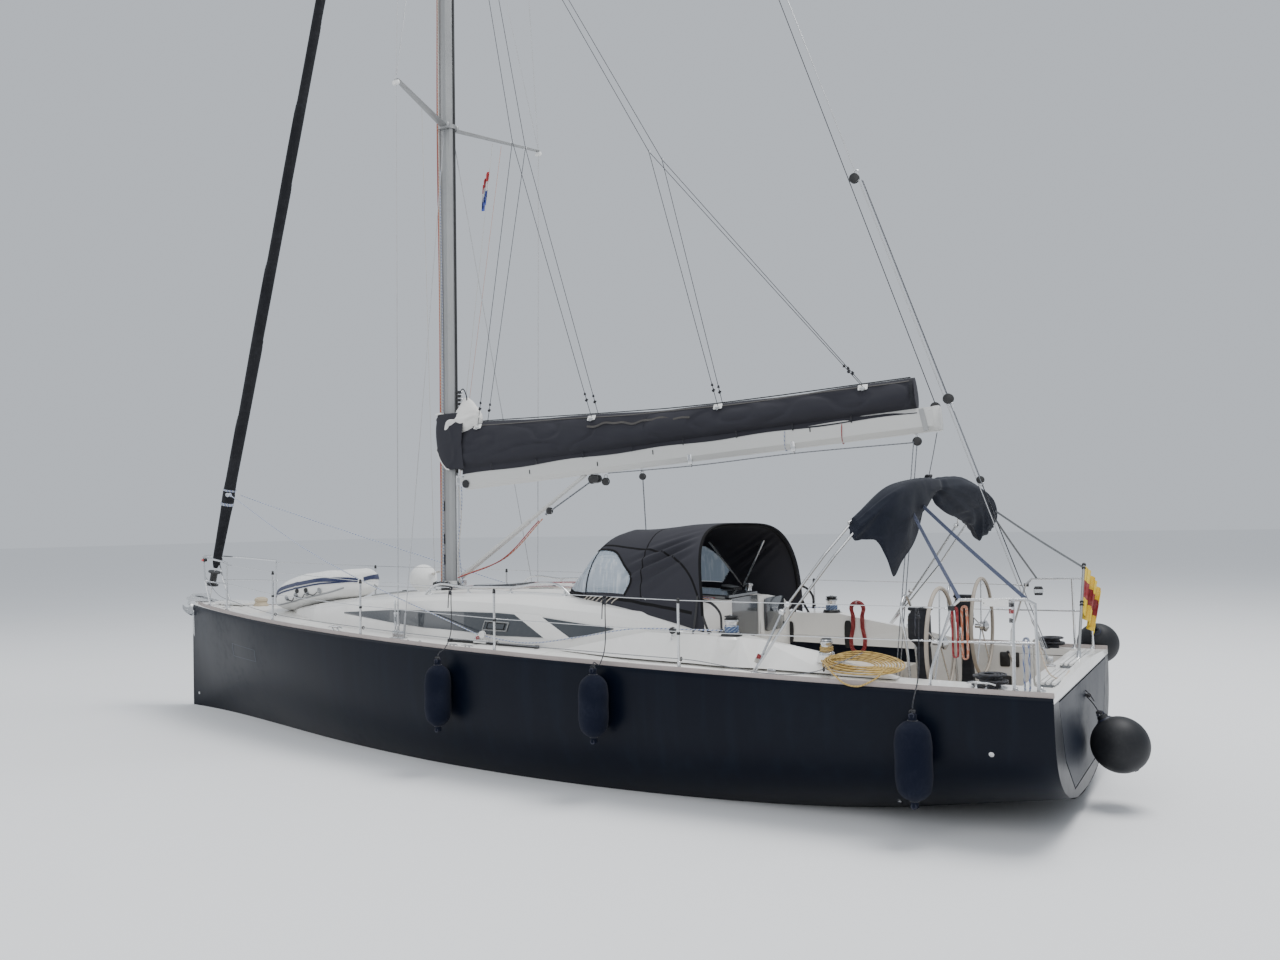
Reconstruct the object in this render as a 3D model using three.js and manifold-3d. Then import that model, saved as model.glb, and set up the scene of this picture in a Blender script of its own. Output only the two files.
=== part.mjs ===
// A 12 metre cruiser-racer sailing yacht, afloat and at its berth: boom amidships, mainsail stowed
// in its bag, genoa furled, sprayhood up and bimini bundled on its bows.
// Millimetres. +X runs to the bow, +Y to port, +Z up. The origin lies on the waterline amidships.
import * as THREE from "three";
import { mergeVertices } from "three/addons/utils/BufferGeometryUtils.js";
import Module from "manifold-3d";

// Driving dimensions
const HULL = { length: 12000, halfBeam: 1760, bowSheer: 1430, sternSheer: 1146, sheerPower: 1.5 };
const AFT = -HULL.length / 2;
const DECK = { thick: 40, camber: 70, inset: 12 };
const TOE = { width: 32, height: 38 };
const COCKPIT = {
  front: -2760, soleZ: 600, soleThick: 22, halfWell: 620, seatZ: 980, seatAft: -4200, halfSeat: 1150, halfHelm: 1300,
};
const COAMING = { top: 1470, inner: 1175, helm: 1312 };
const WINCH = { x: -3215, y: 1305 };
const LID = 26;
const HATCH = { aft: 100, fore: 620 };
const ANCHOR = { aft: 4760, fore: 5330 };
const SLIDE = { aft: -2740, fore: -1720, notch: -1760 };
const MAST = { x: 1180, top: 19300, chord: 235, width: 145 };
const SPREADERS = [
  { name: "lower_spreaders", z: 7450, reach: 1350, sweep: 430 },
  { name: "upper_spreaders", z: 12600, reach: 1050, sweep: 330 },
];
const HOUNDS_Z = 17000;
const CHAINPLATE = { x: 820, y: 1300 };
const CRANE = { tip: 600 };
const GOOSENECK = { x: 985, z: 3060 };
const BOOM = { length: 5700, rise: 4.3, swing: 4.95, height: 245, width: 130 };
const VANG = { reach: 1700, foot: 1900, radius: 32 };
const FORESTAY = { x: 5680, z: 1470 };
const BACKSTAY = { x: -5715, z: 1170 };
const RAIL = { radius: 13, high: 620, wire: 4 };
const WIRES = {
  upper: { rise: 608, fore: 2035, aft: 1792, end: -5222 },
  lower: { rise: 330, fore: 1775, aft: 1525, end: -5137 },
};
const STANCHIONS = [3300, 1350, -750, -2870];
const WHEEL = { x: -4960, y: 800, z: 1425, radius: 470, tube: 15, hub: 45 };
const RUDDER = { x: -4950, gapZ: 80, depth: 1780, rootChord: 520, tipChord: 260 };
const KEEL = { x: 350, rootChord: 1150, tipChord: 820, depth: 2250, bulbLength: 2300, bulbRadius: 190 };
const DRIVE = { x: -2350, depth: 760, propRadius: 225 };
const PLATFORM = { top: 1430, waist: 1180, foot: 760, low: 300, bend: 600, high: 1085, thick: 60 };
const LOCKER = { aft: -5932, fore: -5700, half: 1290, top: 1165 };
const GAP = 0.4;

const wasm = await Module();
wasm.setup();

const MATERIALS = {
  navy: [0x0b1420, 0.18, 0.0], antifoul: [0x16191d, 0.7, 0.0], white: [0xe9e7e1, 0.35, 0.0],
  nonslip: [0xd9d4c8, 0.75, 0.0], glass: [0x2a2f36, 0.12, 0.0], teak: [0xcdbfa8, 0.7, 0.0],
  steel: [0xc8ccd0, 0.25, 0.9], alloy: [0x8d9398, 0.4, 0.7], black: [0x14161a, 0.8, 0.0],
  boomPaint: [0xb9bcba, 0.4, 0.2], clear: [0x8ea6bd, 0.1, 0.0], fender: [0x121a2c, 0.45, 0.0],
  cream: [0xd8d2c2, 0.6, 0.0], lead: [0x33373b, 0.6, 0.2], bronze: [0x8a6a3a, 0.4, 0.8],
};
const root = new THREE.Group();

// Wraps a material's colour, roughness and metalness.
function materialOf(key) {
  const [color, roughness, metalness] = MATERIALS[key];
  return new THREE.MeshStandardMaterial({ name: key, color, roughness, metalness });
}

// A closed three.js geometry as a manifold solid, with its shared corners merged.
function solid(geometry) {
  const bare = geometry.index ? geometry.toNonIndexed() : geometry.clone();
  const kept = new THREE.BufferGeometry().setAttribute("position", bare.getAttribute("position"));
  const merged = mergeVertices(kept, 1e-3);
  return new wasm.Manifold(new wasm.Mesh({
    numProp: 3, vertProperties: merged.attributes.position.array, triVerts: new Uint32Array(merged.index.array),
  }));
}

// A manifold solid back as a three.js geometry.
function geometryOf(made) {
  const mesh = made.getMesh();
  const positions = new Float32Array(mesh.numVert * 3);
  for (let i = 0; i < mesh.numVert; i++)
    positions.set(mesh.vertProperties.subarray(i * mesh.numProp, i * mesh.numProp + 3), i * 3);
  return new THREE.BufferGeometry()
    .setAttribute("position", new THREE.BufferAttribute(positions, 3))
    .setIndex(new THREE.BufferAttribute(mesh.triVerts, 1));
}

// Adds one named piece to the boat.
function piece(name, made, key) {
  const mesh = new THREE.Mesh(geometryOf(made), materialOf(key));
  mesh.geometry.computeVertexNormals();
  mesh.name = name;
  root.add(mesh);
}

// Adds a piece on each side, trimmed by what it stands on.
function pair(name, made, key) {
  piece(`port_${name}`, largest(made.subtract(standing)), key);
  piece(`starboard_${name}`, largest(mirrorY(made).subtract(standing)), key);
}

// The biggest of a solid's separate lumps.
const largest = (made) => made.decompose().sort((a, b) => b.volume() - a.volume())[0];

// Joins a list of solids.
const join = (list) => list.reduce((sum, next) => sum.add(next));
const lerp = (a, b, t) => a + (b - a) * t;
const clamp01 = (t) => Math.min(1, Math.max(0, t));

// A closed body through rings of equally many points, capped flat at both ends.
function loft(rings) {
  const n = rings[0].length;
  const points = rings.flat();
  const faces = [];
  for (let i = 0; i + 1 < rings.length; i++)
    for (let j = 0; j < n; j++) {
      const k = (j + 1) % n;
      const [a, b, c, d] = [i * n + j, i * n + k, (i + 1) * n + k, (i + 1) * n + j];
      faces.push(a, b, c, a, c, d);
    }
  for (const [ring, flip] of [[0, true], [rings.length - 1, false]]) {
    const base = ring * n;
    for (const [a, b, c] of capFaces(rings[ring])) faces.push(base + a, base + (flip ? c : b), base + (flip ? b : c));
  }
  const geometry = new THREE.BufferGeometry()
    .setAttribute("position", new THREE.Float32BufferAttribute(points.flat(), 3))
    .setIndex(faces);
  const made = solid(geometry);
  if (made.volume() >= 0) return made;
  for (let i = 0; i < faces.length; i += 3) [faces[i + 1], faces[i + 2]] = [faces[i + 2], faces[i + 1]];
  return solid(geometry.setIndex(faces));
}

// Triangles over one ring, found in the axis plane that its own plane leans least from.
function capFaces(ring) {
  const normal = new THREE.Vector3();
  ring.forEach((p, i) => {
    const next = new THREE.Vector3(...ring[(i + 1) % ring.length]);
    normal.add(new THREE.Vector3(...p).cross(next));
  });
  const sizes = normal.toArray().map(Math.abs);
  const drop = sizes.indexOf(Math.max(...sizes));
  const [u, v] = [0, 1, 2].filter((k) => k !== drop);
  const flat = ring.map((p) => new THREE.Vector2(p[u], p[v]));
  const turn = Math.sign(THREE.ShapeUtils.area(flat));
  return THREE.ShapeUtils.triangulateShape(flat, []).map(([a, b, c]) => {
    const side = Math.sign(THREE.ShapeUtils.area([flat[a], flat[b], flat[c]]));
    return side === turn ? [a, b, c] : [a, c, b];
  });
}

// A straight round bar from a to b, lengthened a little at both ends so that bars join at corners.
function bar(a, b, radius, sides = 6, extra = radius * 0.6) {
  const from = new THREE.Vector3(...a);
  const to = new THREE.Vector3(...b);
  const along = to.clone().sub(from);
  const geometry = new THREE.CylinderGeometry(radius, radius, along.length() + 2 * extra, sides);
  geometry.applyQuaternion(new THREE.Quaternion().setFromUnitVectors(new THREE.Vector3(0, 1, 0), along.normalize()));
  const middle = from.add(to).multiplyScalar(0.5);
  geometry.translate(middle.x, middle.y, middle.z);
  return solid(geometry);
}

// Bars along a list of points.
const bars = (points, radius, sides) => join(points.slice(1).map((p, i) => bar(points[i], p, radius, sides)));

// A box between two corners.
function box(low, high) {
  const size = high.map((value, i) => value - low[i]);
  const geometry = new THREE.BoxGeometry(...size);
  geometry.translate(...low.map((value, i) => (value + high[i]) / 2));
  return solid(geometry);
}

// A body of revolution about a line through `at`, along +Z unless `turn` moves it.
function lathe(profile, at, sides = 16, turn = null) {
  const geometry = new THREE.LatheGeometry(profile.map(([r, z]) => new THREE.Vector2(r, z)), sides);
  geometry.rotateX(Math.PI / 2);
  if (turn) turn(geometry);
  geometry.translate(...at);
  return solid(geometry);
}

// An outline in X and Z given a thickness across Y.
function plate(outline, yLow, yHigh) {
  const shape = new THREE.Shape(outline.map(([x, z]) => new THREE.Vector2(x, z)));
  const geometry = new THREE.ExtrudeGeometry(shape, { depth: yHigh - yLow, bevelEnabled: false });
  geometry.rotateX(Math.PI / 2);
  geometry.translate(0, yHigh, 0);
  return solid(geometry);
}

const mirrorY = (made) => made.mirror([0, 1, 0]);

// Reads a smooth value from a table of [x, value] pairs that falls in x.
function fromTable(table, x) {
  const row = table.findIndex(([tx]) => tx <= x);
  if (row === 0) return table[0][1];
  if (row < 0) return table.at(-1)[1];
  const [[x1, v1], [x0, v0]] = [table[row - 1], table[row]];
  const [x2, v2] = table[Math.max(0, row - 2)];
  const [xm, vm] = table[Math.min(table.length - 1, row + 1)];
  const t = (x - x0) / (x1 - x0);
  const m0 = ((v1 - vm) / (x1 - xm)) * (x1 - x0);
  const m1 = ((v2 - v0) / (x2 - x0)) * (x1 - x0);
  const [t2, t3] = [t * t, t * t * t];
  return (2 * t3 - 3 * t2 + 1) * v0 + (t3 - 2 * t2 + t) * m0 + (3 * t2 - 2 * t3) * v1 + (t3 - t2) * m1;
}

// Half breadth of the deck edge, as a share of the widest, against x.
const BREADTH = [
  [6000, 0.012], [5600, 0.105], [5000, 0.235], [4000, 0.435], [3000, 0.6], [2000, 0.735], [1000, 0.84],
  [0, 0.92], [-1000, 0.97], [-2000, 0.995], [-3000, 1], [-4500, 0.985], [-6000, 0.95],
];
// Height of the bottom of the canoe body on the centreline, against x.
const KEEL_LINE = [
  [6000, -30], [5850, -120], [5500, -210], [4500, -330], [3000, -440], [1500, -490], [0, -500], [-1500, -450],
  [-3000, -300], [-4500, -90], [-6000, 160],
];
// Section fullness against x: high values give a flat floor and upright topsides.
const FULLNESS = [[6000, 1.0], [5000, 1.35], [3500, 1.9], [1500, 2.7], [0, 3.1], [-2500, 3.3], [-6000, 3.2]];

const sheerZ = (x) => HULL.sternSheer
  + (HULL.bowSheer - HULL.sternSheer) * Math.pow(clamp01((x - AFT) / HULL.length), HULL.sheerPower);
const halfBreadth = (x) => HULL.halfBeam * fromTable(BREADTH, x);

// One point of the hull's skin: t runs from 0 on the centreline's bottom to 1 at the sheer.
function hullPoint(x, t, inset = 0) {
  const low = fromTable(KEEL_LINE, x);
  const high = sheerZ(x) - DECK.thick;
  const rise = Math.pow(t, 1.5);
  const fullness = fromTable(FULLNESS, x);
  const spread = Math.pow(1 - Math.pow(1 - rise, fullness), 1 / (1.2 + fullness * 0.32));
  return [x, Math.max(0, halfBreadth(x) - inset) * spread, lerp(low, high, rise)];
}

// Height of the cambered deck at a point.
const deckZ = (x, y) => sheerZ(x) + DECK.camber * (1 - Math.pow(Math.min(1, Math.abs(y) / halfBreadth(x)), 2));

const HULL_STATIONS = [
  6000, 5950, 5820, 5600, 5250, 4800, 4200, 3500, 2700, 1800, 800, -300, -1400, -2500, -3500, -4400, -5200, -6000,
];
const GIRTH = [0, 0.12, 0.26, 0.38, 0.48, 0.57, 0.66, 0.78, 0.9, 1];

// The cockpit well and the opening in the transom, as a solid to cut away.
function wellCutter() {
  const { front, soleZ, halfWell, seatZ, seatAft, halfSeat, halfHelm } = COCKPIT;
  const floor = soleZ - COCKPIT.soleThick - GAP;
  return join([
    box([seatAft - 10, -halfWell, floor], [front, halfWell, 2500]),
    box([seatAft - 10, -halfSeat - 20, seatZ - 320], [front, halfSeat + 20, 2500]),
    box([AFT + 300, -halfHelm, floor], [seatAft, halfHelm, 2500]),
    box([AFT + 64, -LOCKER.half - 8, floor], [AFT + 320, LOCKER.half + 8, 2500]),
    transomPanel(12, AFT - 50, AFT + 66),
    lathe([[0, -300], [34, -300], [34, 260], [0, 260]], [RUDDER.x, 0, 0], 12),
  ]);
}

// The flap of the transom, with a margin all round, between two planes across the boat.
function transomPanel(margin, aft, fore) {
  const { top, waist, foot, low, bend, high } = PLATFORM;
  const half = [[foot + margin, low - margin], [waist + margin, bend - margin], [top + margin, high + margin]];
  const ring = [...half, ...half.map(([y, z]) => [-y, z]).reverse()];
  return loft([aft, fore].map((x) => ring.map(([y, z]) => [x, y, z])));
}

function buildHull() {
  const rings = HULL_STATIONS.map((x) => {
    const half = GIRTH.map((t) => hullPoint(x, t));
    return [...half.slice(1).reverse(), half[0], ...half.slice(1).map(([a, b, c]) => [a, -b, c])];
  });
  const hull = loft(rings).subtract(wellCutter());
  piece("hull", hull, "navy");
  return hull;
}

// The deck's cambered slab: its top raised by lift, its underside at depth under the sheer.
function deckSlab(lift, depth) {
  const across = [-1, -0.75, -0.5, -0.25, 0, 0.25, 0.5, 0.75, 1];
  return loft(HULL_STATIONS.slice(1).map((x) => {
    const half = halfBreadth(x) - DECK.inset;
    const top = across.map((s) => [x, s * half, deckZ(x, s * half) + lift]);
    const low = sheerZ(x) - depth;
    return [...top, [x, half, low], [x, -half, low]];
  }));
}

// The deck: a slab on the hull's rim, open over the cockpit.
function buildDeck() {
  piece("deck", deckSlab(0, DECK.thick - GAP).subtract(wellCutter()), "white");
}

// Low rail along the edge of the deck.
function buildToeRails() {
  const stations = HULL_STATIONS.slice(2);
  const rings = stations.map((x) => {
    const y = halfBreadth(x) - DECK.inset - 6;
    const z = deckZ(x, y) + GAP;
    const inner = deckZ(x, y - TOE.width) + GAP;
    return [[x, y, z], [x, y - TOE.width, inner], [x, y - TOE.width + 6, z + TOE.height], [x, y - 4, z + TOE.height]];
  });
  pair("toe_rail", loft(rings), "teak");
}

// Coachroof sections: x, half width at the deck, height of the side's upper edge, height of the crown.
const ROOF_SECTIONS = [
  [3870, 90, 1408, 1425], [3400, 430, 1448, 1500], [2800, 700, 1510, 1590], [2000, 930, 1585, 1675],
  [1200, 1080, 1655, 1740], [300, 1170, 1700, 1790], [-700, 1215, 1684, 1812], [-1700, 1225, 1618, 1780],
  [-2300, 1225, 1545, 1748], [-2760, 1225, 1482, 1720],
];

function roofRing([x, foot, side, high], grow = 0) {
  const low = sheerZ(x) + DECK.camber * 0.2;
  const half = [
    [x, foot + grow, low], [x, foot * 0.965 + grow, side], [x, foot * 0.925 + grow, lerp(side, high, 0.42)],
    [x, foot * 0.82 + grow, lerp(side, high, 0.7)], [x, foot * 0.48, lerp(side, high, 0.94) + grow],
    [x, 0, high + grow],
  ];
  return [...half, ...half.slice(0, -1).reverse().map(([a, b, c]) => [a, -b, c])];
}

// The height of the crown at x.
const roofZ = (x) => fromLine(ROOF_SECTIONS.map((row) => [row[0], row[3]]), x);

function buildCoachroof() {
  const made = loft(ROOF_SECTIONS.map((row) => roofRing(row))).subtract(deckBody);
  const hatch = box([-2800, -330, 1300], [SLIDE.notch, 330, 2500]);
  piece("coachroof", made.subtract(hatch).subtract(wellCutter()), "white");
}

// A point on the coachroof's upright side at a height, and a distance out from it.
function roofSide(x, z, out) {
  const rings = ROOF_SECTIONS.map((row) => roofRing(row));
  const at = (k, axis) => fromLine(rings.map((ring) => [ring[k][0], ring[k][axis]]), x);
  const share = (z - at(0, 2)) / (at(1, 2) - at(0, 2));
  return [x, lerp(at(0, 1), at(1, 1), share) + out, z];
}

// Reads a straight-line value from a table of [x, value] pairs that falls in x.
function fromLine(table, x) {
  const row = Math.max(1, table.findIndex(([tx]) => tx <= x));
  const [[x1, v1], [x0, v0]] = [table[row - 1], table[row]];
  return lerp(v0, v1, (x - x0) / (x1 - x0));
}

// The side window, one long band a side, from its fore end to its pointed aft end.
// Columns: x, height of the lower edge, height of the upper edge.
const WINDOW = [
  [2050, 1490, 1506], [1160, 1432, 1568], [600, 1396, 1580], [0, 1382, 1586], [-480, 1354, 1588], [-990, 1358, 1566],
  [-1405, 1361, 1524], [-1893, 1468, 1480],
];

function buildWindows() {
  const rings = WINDOW.map(([x, low, high]) => {
    const corners = [[low, -6], [high, -6], [high, 12], [low, 12]];
    return corners.map(([z, out]) => roofSide(x, z, out));
  });
  pair("side_window", loft(rings), "glass");
}

// A flat lid 32 thick over a sloping surface, from its aft to its fore edge, clear above by rise.
function lid(aft, fore, half, surface, rise) {
  const [a, b] = [surface(aft) + rise, surface(fore) + rise];
  return plate([[aft, a], [fore, b], [fore, b + LID], [aft, a + LID]], -half, half);
}

function buildHatches() {
  piece("saloon_hatch", lid(HATCH.aft, HATCH.fore, 255, roofZ, 8), "glass");
  piece("anchor_locker_lid", lid(ANCHOR.aft, ANCHOR.fore, 170, (x) => deckZ(x, 0), 6), "white");
  const slope = (x) => lerp(1733, 1781, (x - SLIDE.aft) / 1020);
  piece("companionway_hatch", lid(SLIDE.aft, SLIDE.fore, 350, slope, 0), "glass");
  piece("washboard", box([-2752, -322, 1312], [-2734, 322, 1724]), "glass");
}

// Coaming sections. Columns: x, rise of the crest, then y of the inner foot, the crest's inner and outer edges
// and the outer foot. The crest widens under the winch, and narrows beside the helm.
const COAMING_ROWS = [
  [-1340, 0.03, COAMING.inner, 1190, 1290, 1310], [-2020, 0.74, COAMING.inner, 1190, 1300, 1440],
  [-2310, 1, COAMING.inner, 1190, 1310, 1455], [-2900, 1, COAMING.inner, 1190, 1325, 1460],
  [-3090, 1, COAMING.inner, 1190, 1395, 1485], [-3340, 1, COAMING.inner, 1190, 1395, 1485],
  [-3470, 0.9, COAMING.inner, 1190, 1265, 1460], [-4190, 0.45, COAMING.inner, 1190, 1255, 1450],
  [-4215, 0.42, COAMING.helm, 1322, 1345, 1448], [-4750, 0.03, COAMING.helm, 1322, 1350, 1440],
];

// Cockpit: sole, lockers that form the seats, and the coamings outboard of them.
function buildCockpit() {
  const { front, soleZ, soleThick, halfWell, seatZ, seatAft, halfSeat, halfHelm } = COCKPIT;
  const sole = box([seatAft - 20, -halfWell + 1, soleZ - soleThick], [front - 1, halfWell - 1, soleZ])
    .add(box([LOCKER.fore + 1, -halfHelm + 1, soleZ - soleThick], [seatAft - 1, halfHelm - 1, soleZ]));
  piece("cockpit_sole", sole, "teak");
  const seat = box([seatAft, halfWell, soleZ + 62], [front - 1, halfSeat + 19, seatZ]);
  piece("port_cockpit_seat", seat, "nonslip");
  piece("starboard_cockpit_seat", mirrorY(seat), "nonslip");
  const rings = COAMING_ROWS.map(([x, rise, inner, crestIn, crestOut, outer]) => {
    const base = deckZ(x, inner) + GAP + 2;
    const high = lerp(base, COAMING.top, rise);
    return [[x, inner, base], [x, crestIn, high], [x, crestOut, high], [x, outer, base]];
  });
  pair("coaming", loft(rings), "white");
  const lockerBody = box([LOCKER.aft, -LOCKER.half, soleZ + GAP - soleThick], [LOCKER.fore, LOCKER.half, LOCKER.top]);
  piece("transom_locker", lockerBody, "nonslip");
  piece("transom_platform", transomPanel(0, AFT, AFT + PLATFORM.thick), "navy");
}

// Underwater parts: fin and bulb, rudder with its stock, saildrive leg and propeller.
function foilRing(x, z, chord, thick, steps = 12) {
  return Array.from({ length: steps }, (_, i) => {
    const a = (i / steps) * Math.PI * 2;
    const share = (1 - Math.cos(a)) / 2;
    const half = thick * 0.5 * Math.sin(a) * (1.25 - 0.5 * share);
    return [x - chord * share, half, z];
  });
}

function buildUnderbody(hull) {
  const below = hull.translate([0, 0, -GAP]);
  const lengthwise = (g) => g.rotateY(Math.PI / 2);
  const { x, rootChord, tipChord, depth, bulbLength, bulbRadius } = KEEL;
  const finRoot = foilRing(x + rootChord / 2, -380, rootChord, 150);
  const finTip = foilRing(x + tipChord / 2 - 60, -depth + bulbRadius, tipChord, 120);
  const fin = loft([finRoot, finTip]);
  const half = bulbLength / 2;
  const bulb = lathe(
    [[0, -half], [bulbRadius * 0.45, -half * 0.72], [bulbRadius * 0.9, -half * 0.15], [bulbRadius, half * 0.3],
      [bulbRadius * 0.75, half * 0.75], [bulbRadius * 0.35, half * 0.96], [0, half]],
    [x - 180, 0, -depth + bulbRadius], 14, lengthwise);
  piece("keel", fin.subtract(below).add(bulb), "lead");
  const { rootChord: root2, tipChord: tip2 } = RUDDER;
  const blade = loft([
    foilRing(RUDDER.x + root2 * 0.28, -RUDDER.gapZ, root2, 66),
    foilRing(RUDDER.x + tip2 * 0.3, -RUDDER.depth, tip2, 32),
  ]);
  piece("rudder", blade.add(lathe([[0, -400], [29, -400], [29, 200], [0, 200]], [RUDDER.x, 0, 0], 12)), "antifoul");
  const leg = loft([
    foilRing(DRIVE.x + 150, -330, 300, 90), foilRing(DRIVE.x + 110, -DRIVE.depth, 250, 80),
  ]);
  const podProfile = [[0, -175], [36, -175], [52, -40], [46, 120], [0, 180]];
  const pod = lathe(podProfile, [DRIVE.x, 0, -DRIVE.depth], 12, lengthwise);
  piece("saildrive_leg", leg.subtract(below).add(pod), "antifoul");
  const hub = lathe([[0, -75], [24, -70], [36, -20], [36, 40], [0, 40]], [0, 0, 0], 12, lengthwise);
  const blades = [0, 1].map((k) => {
    const rings = [[20, 46, 34], [110, 62, 22], [DRIVE.propRadius, 34, 12]].map(([r, chord, lean]) => {
      const turn = (lean * Math.PI) / 180 + 0.5;
      return [[-1, -0.12], [1, -0.12], [1, 0.12], [-1, 0.12]].map(([u, v]) => {
        const [a, b] = [u * chord, v * chord];
        return [a * Math.cos(turn) - b * Math.sin(turn), a * Math.sin(turn) + b * Math.cos(turn), k ? -r : r];
      });
    });
    return loft(rings);
  });
  piece("propeller", join([hub, ...blades]).translate([DRIVE.x - 221, 0, -DRIVE.depth]), "bronze");
}

// Mast, spreaders and standing rigging.
function mastSection(z, grow = 0) {
  return Array.from({ length: 16 }, (_, i) => {
    const a = (i / 16) * Math.PI * 2;
    return [MAST.x + (MAST.chord / 2 + grow) * Math.cos(a), (MAST.width / 2 + grow) * Math.sin(a), z];
  });
}

function buildRig(roofBody) {
  const mast = loft([mastSection(1600), mastSection(MAST.top)]).subtract(roofBody);
  const crane = plate([
    [MAST.x - 90, MAST.top - 160], [MAST.x - 90, MAST.top], [CRANE.tip, MAST.top], [CRANE.tip, MAST.top - 40],
  ], -18, 18);
  piece("mast", mast.add(crane), "alloy");
  const around = loft([mastSection(1000, GAP), mastSection(20000, GAP)]);
  for (const { name, z, reach, sweep } of SPREADERS) {
    const collar = loft([mastSection(z - 26, 14), mastSection(z + 26, 14)]);
    const arms = [1, -1].map((side) => {
      const ring = (y, x, chord, deep) => {
        const flat = foilRing(x + chord / 2, 0, chord, deep, 8);
        return flat.map(([px, py]) => [px, side * y, z + py + y * 0.03]);
      };
      return loft([ring(60, MAST.x - 20, 120, 30), ring(reach - 8, MAST.x - sweep, 75, 20)]);
    });
    piece(name, join([collar, ...arms]).subtract(around), "alloy");
  }
  const tip = ({ reach, sweep, z }) => [MAST.x - sweep, reach, z + reach * 0.03];
  const [lower, upper] = SPREADERS.map(tip);
  const plateAt = [CHAINPLATE.x, CHAINPLATE.y, deckZ(CHAINPLATE.x, CHAINPLATE.y) + 8];
  const inner = [CHAINPLATE.x - 40, CHAINPLATE.y - 45, deckZ(CHAINPLATE.x, CHAINPLATE.y) + 8];
  const head = [MAST.x - 25, MAST.width / 2 + 8, HOUNDS_Z];
  const cap = join([bars([plateAt, lower, upper, head], 5), screw(plateAt, lower)]);
  const lowHead = [MAST.x - 30, MAST.width / 2 + 8, SPREADERS[0].z - 60];
  const low = bars([inner, lowHead], 5).add(screw(inner, lowHead));
  const diagonal = bars([lower, [MAST.x - 30, MAST.width / 2 + 8, SPREADERS[1].z - 60]], 4);
  const wires = [["cap_shroud", cap.add(diagonal)], ["lower_shroud", low]];
  for (const [name, made] of wires) pair(name, made, "steel");
  const stayFoot = [BACKSTAY.x, 0, BACKSTAY.z];
  piece("backstay", bars([stayFoot, [CRANE.tip + 20, 0, MAST.top - 50]], 5), "steel");
  buildGenoa();
}

// The thicker turnbuckle at the foot of a wire.
function screw(foot, head) {
  const from = new THREE.Vector3(...foot);
  const along = new THREE.Vector3(...head).sub(from).normalize();
  return bar(from.toArray(), from.clone().addScaledVector(along, 260).toArray(), 13, 8);
}

// The furled headsail on its stay, its drum below and the stem fitting that holds them.
function stayPoint(z) {
  const share = (z - FORESTAY.z) / (HOUNDS_Z - FORESTAY.z);
  return [lerp(FORESTAY.x, MAST.x + MAST.chord / 2 + 14, share), 0, z];
}

function buildGenoa() {
  const rolls = [[2190, 30], [2330, 62], [4200, 74], [8000, 66], [12000, 52], [15600, 38], [16050, 22]];
  const rings = rolls.map(([z, radius]) => {
    const [x] = stayPoint(z);
    return Array.from({ length: 10 }, (_, i) => {
      const a = (i / 10) * Math.PI * 2;
      return [x + radius * Math.cos(a), radius * Math.sin(a), z + 0.27 * radius * Math.cos(a)];
    });
  });
  const stay = bar(stayPoint(FORESTAY.z + 30), stayPoint(HOUNDS_Z), 9, 8, 0);
  piece("furled_genoa", join([loft(rings), stay]), "black");
  const drumAt = stayPoint(1830);
  const lean = (g) => g.rotateY(-Math.atan2(FORESTAY.x - MAST.x - 130, HOUNDS_Z - FORESTAY.z));
  const profile = [[0, -110], [86, -110], [86, -95], [48, -90], [48, 70], [86, 75], [86, 90], [0, 90]];
  const drum = lathe(profile, drumAt, 16, lean);
  const bore = lathe([[0, -300], [10, -300], [10, 300], [0, 300]], drumAt, 8, lean);
  piece("furler_drum", drum.subtract(bore), "alloy");
  const [aftZ, midZ, tipZ] = [5480, 5700, 5960].map((x) => deckZ(x, 0));
  const outline = [[5480, aftZ + 1], [5985, tipZ + 3], [5985, tipZ + 42], [5700, midZ + 50], [5480, aftZ + 14]];
  const stem = plate(outline, -34, 34);
  piece("stem_fitting", stem.subtract(bar(stayPoint(1300), stayPoint(1600), 10, 8)), "steel");
}

// The boom, its vang and the stowed sail, all swung and raised about the gooseneck.
// Turns a solid built along -X from the gooseneck, at rise 0, into its place.
function boomPlace(made, rise = BOOM.rise) {
  return made.rotate([0, rise, 0]).rotate([0, 0, BOOM.swing]).translate([GOOSENECK.x, 0, GOOSENECK.z]);
}

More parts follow.
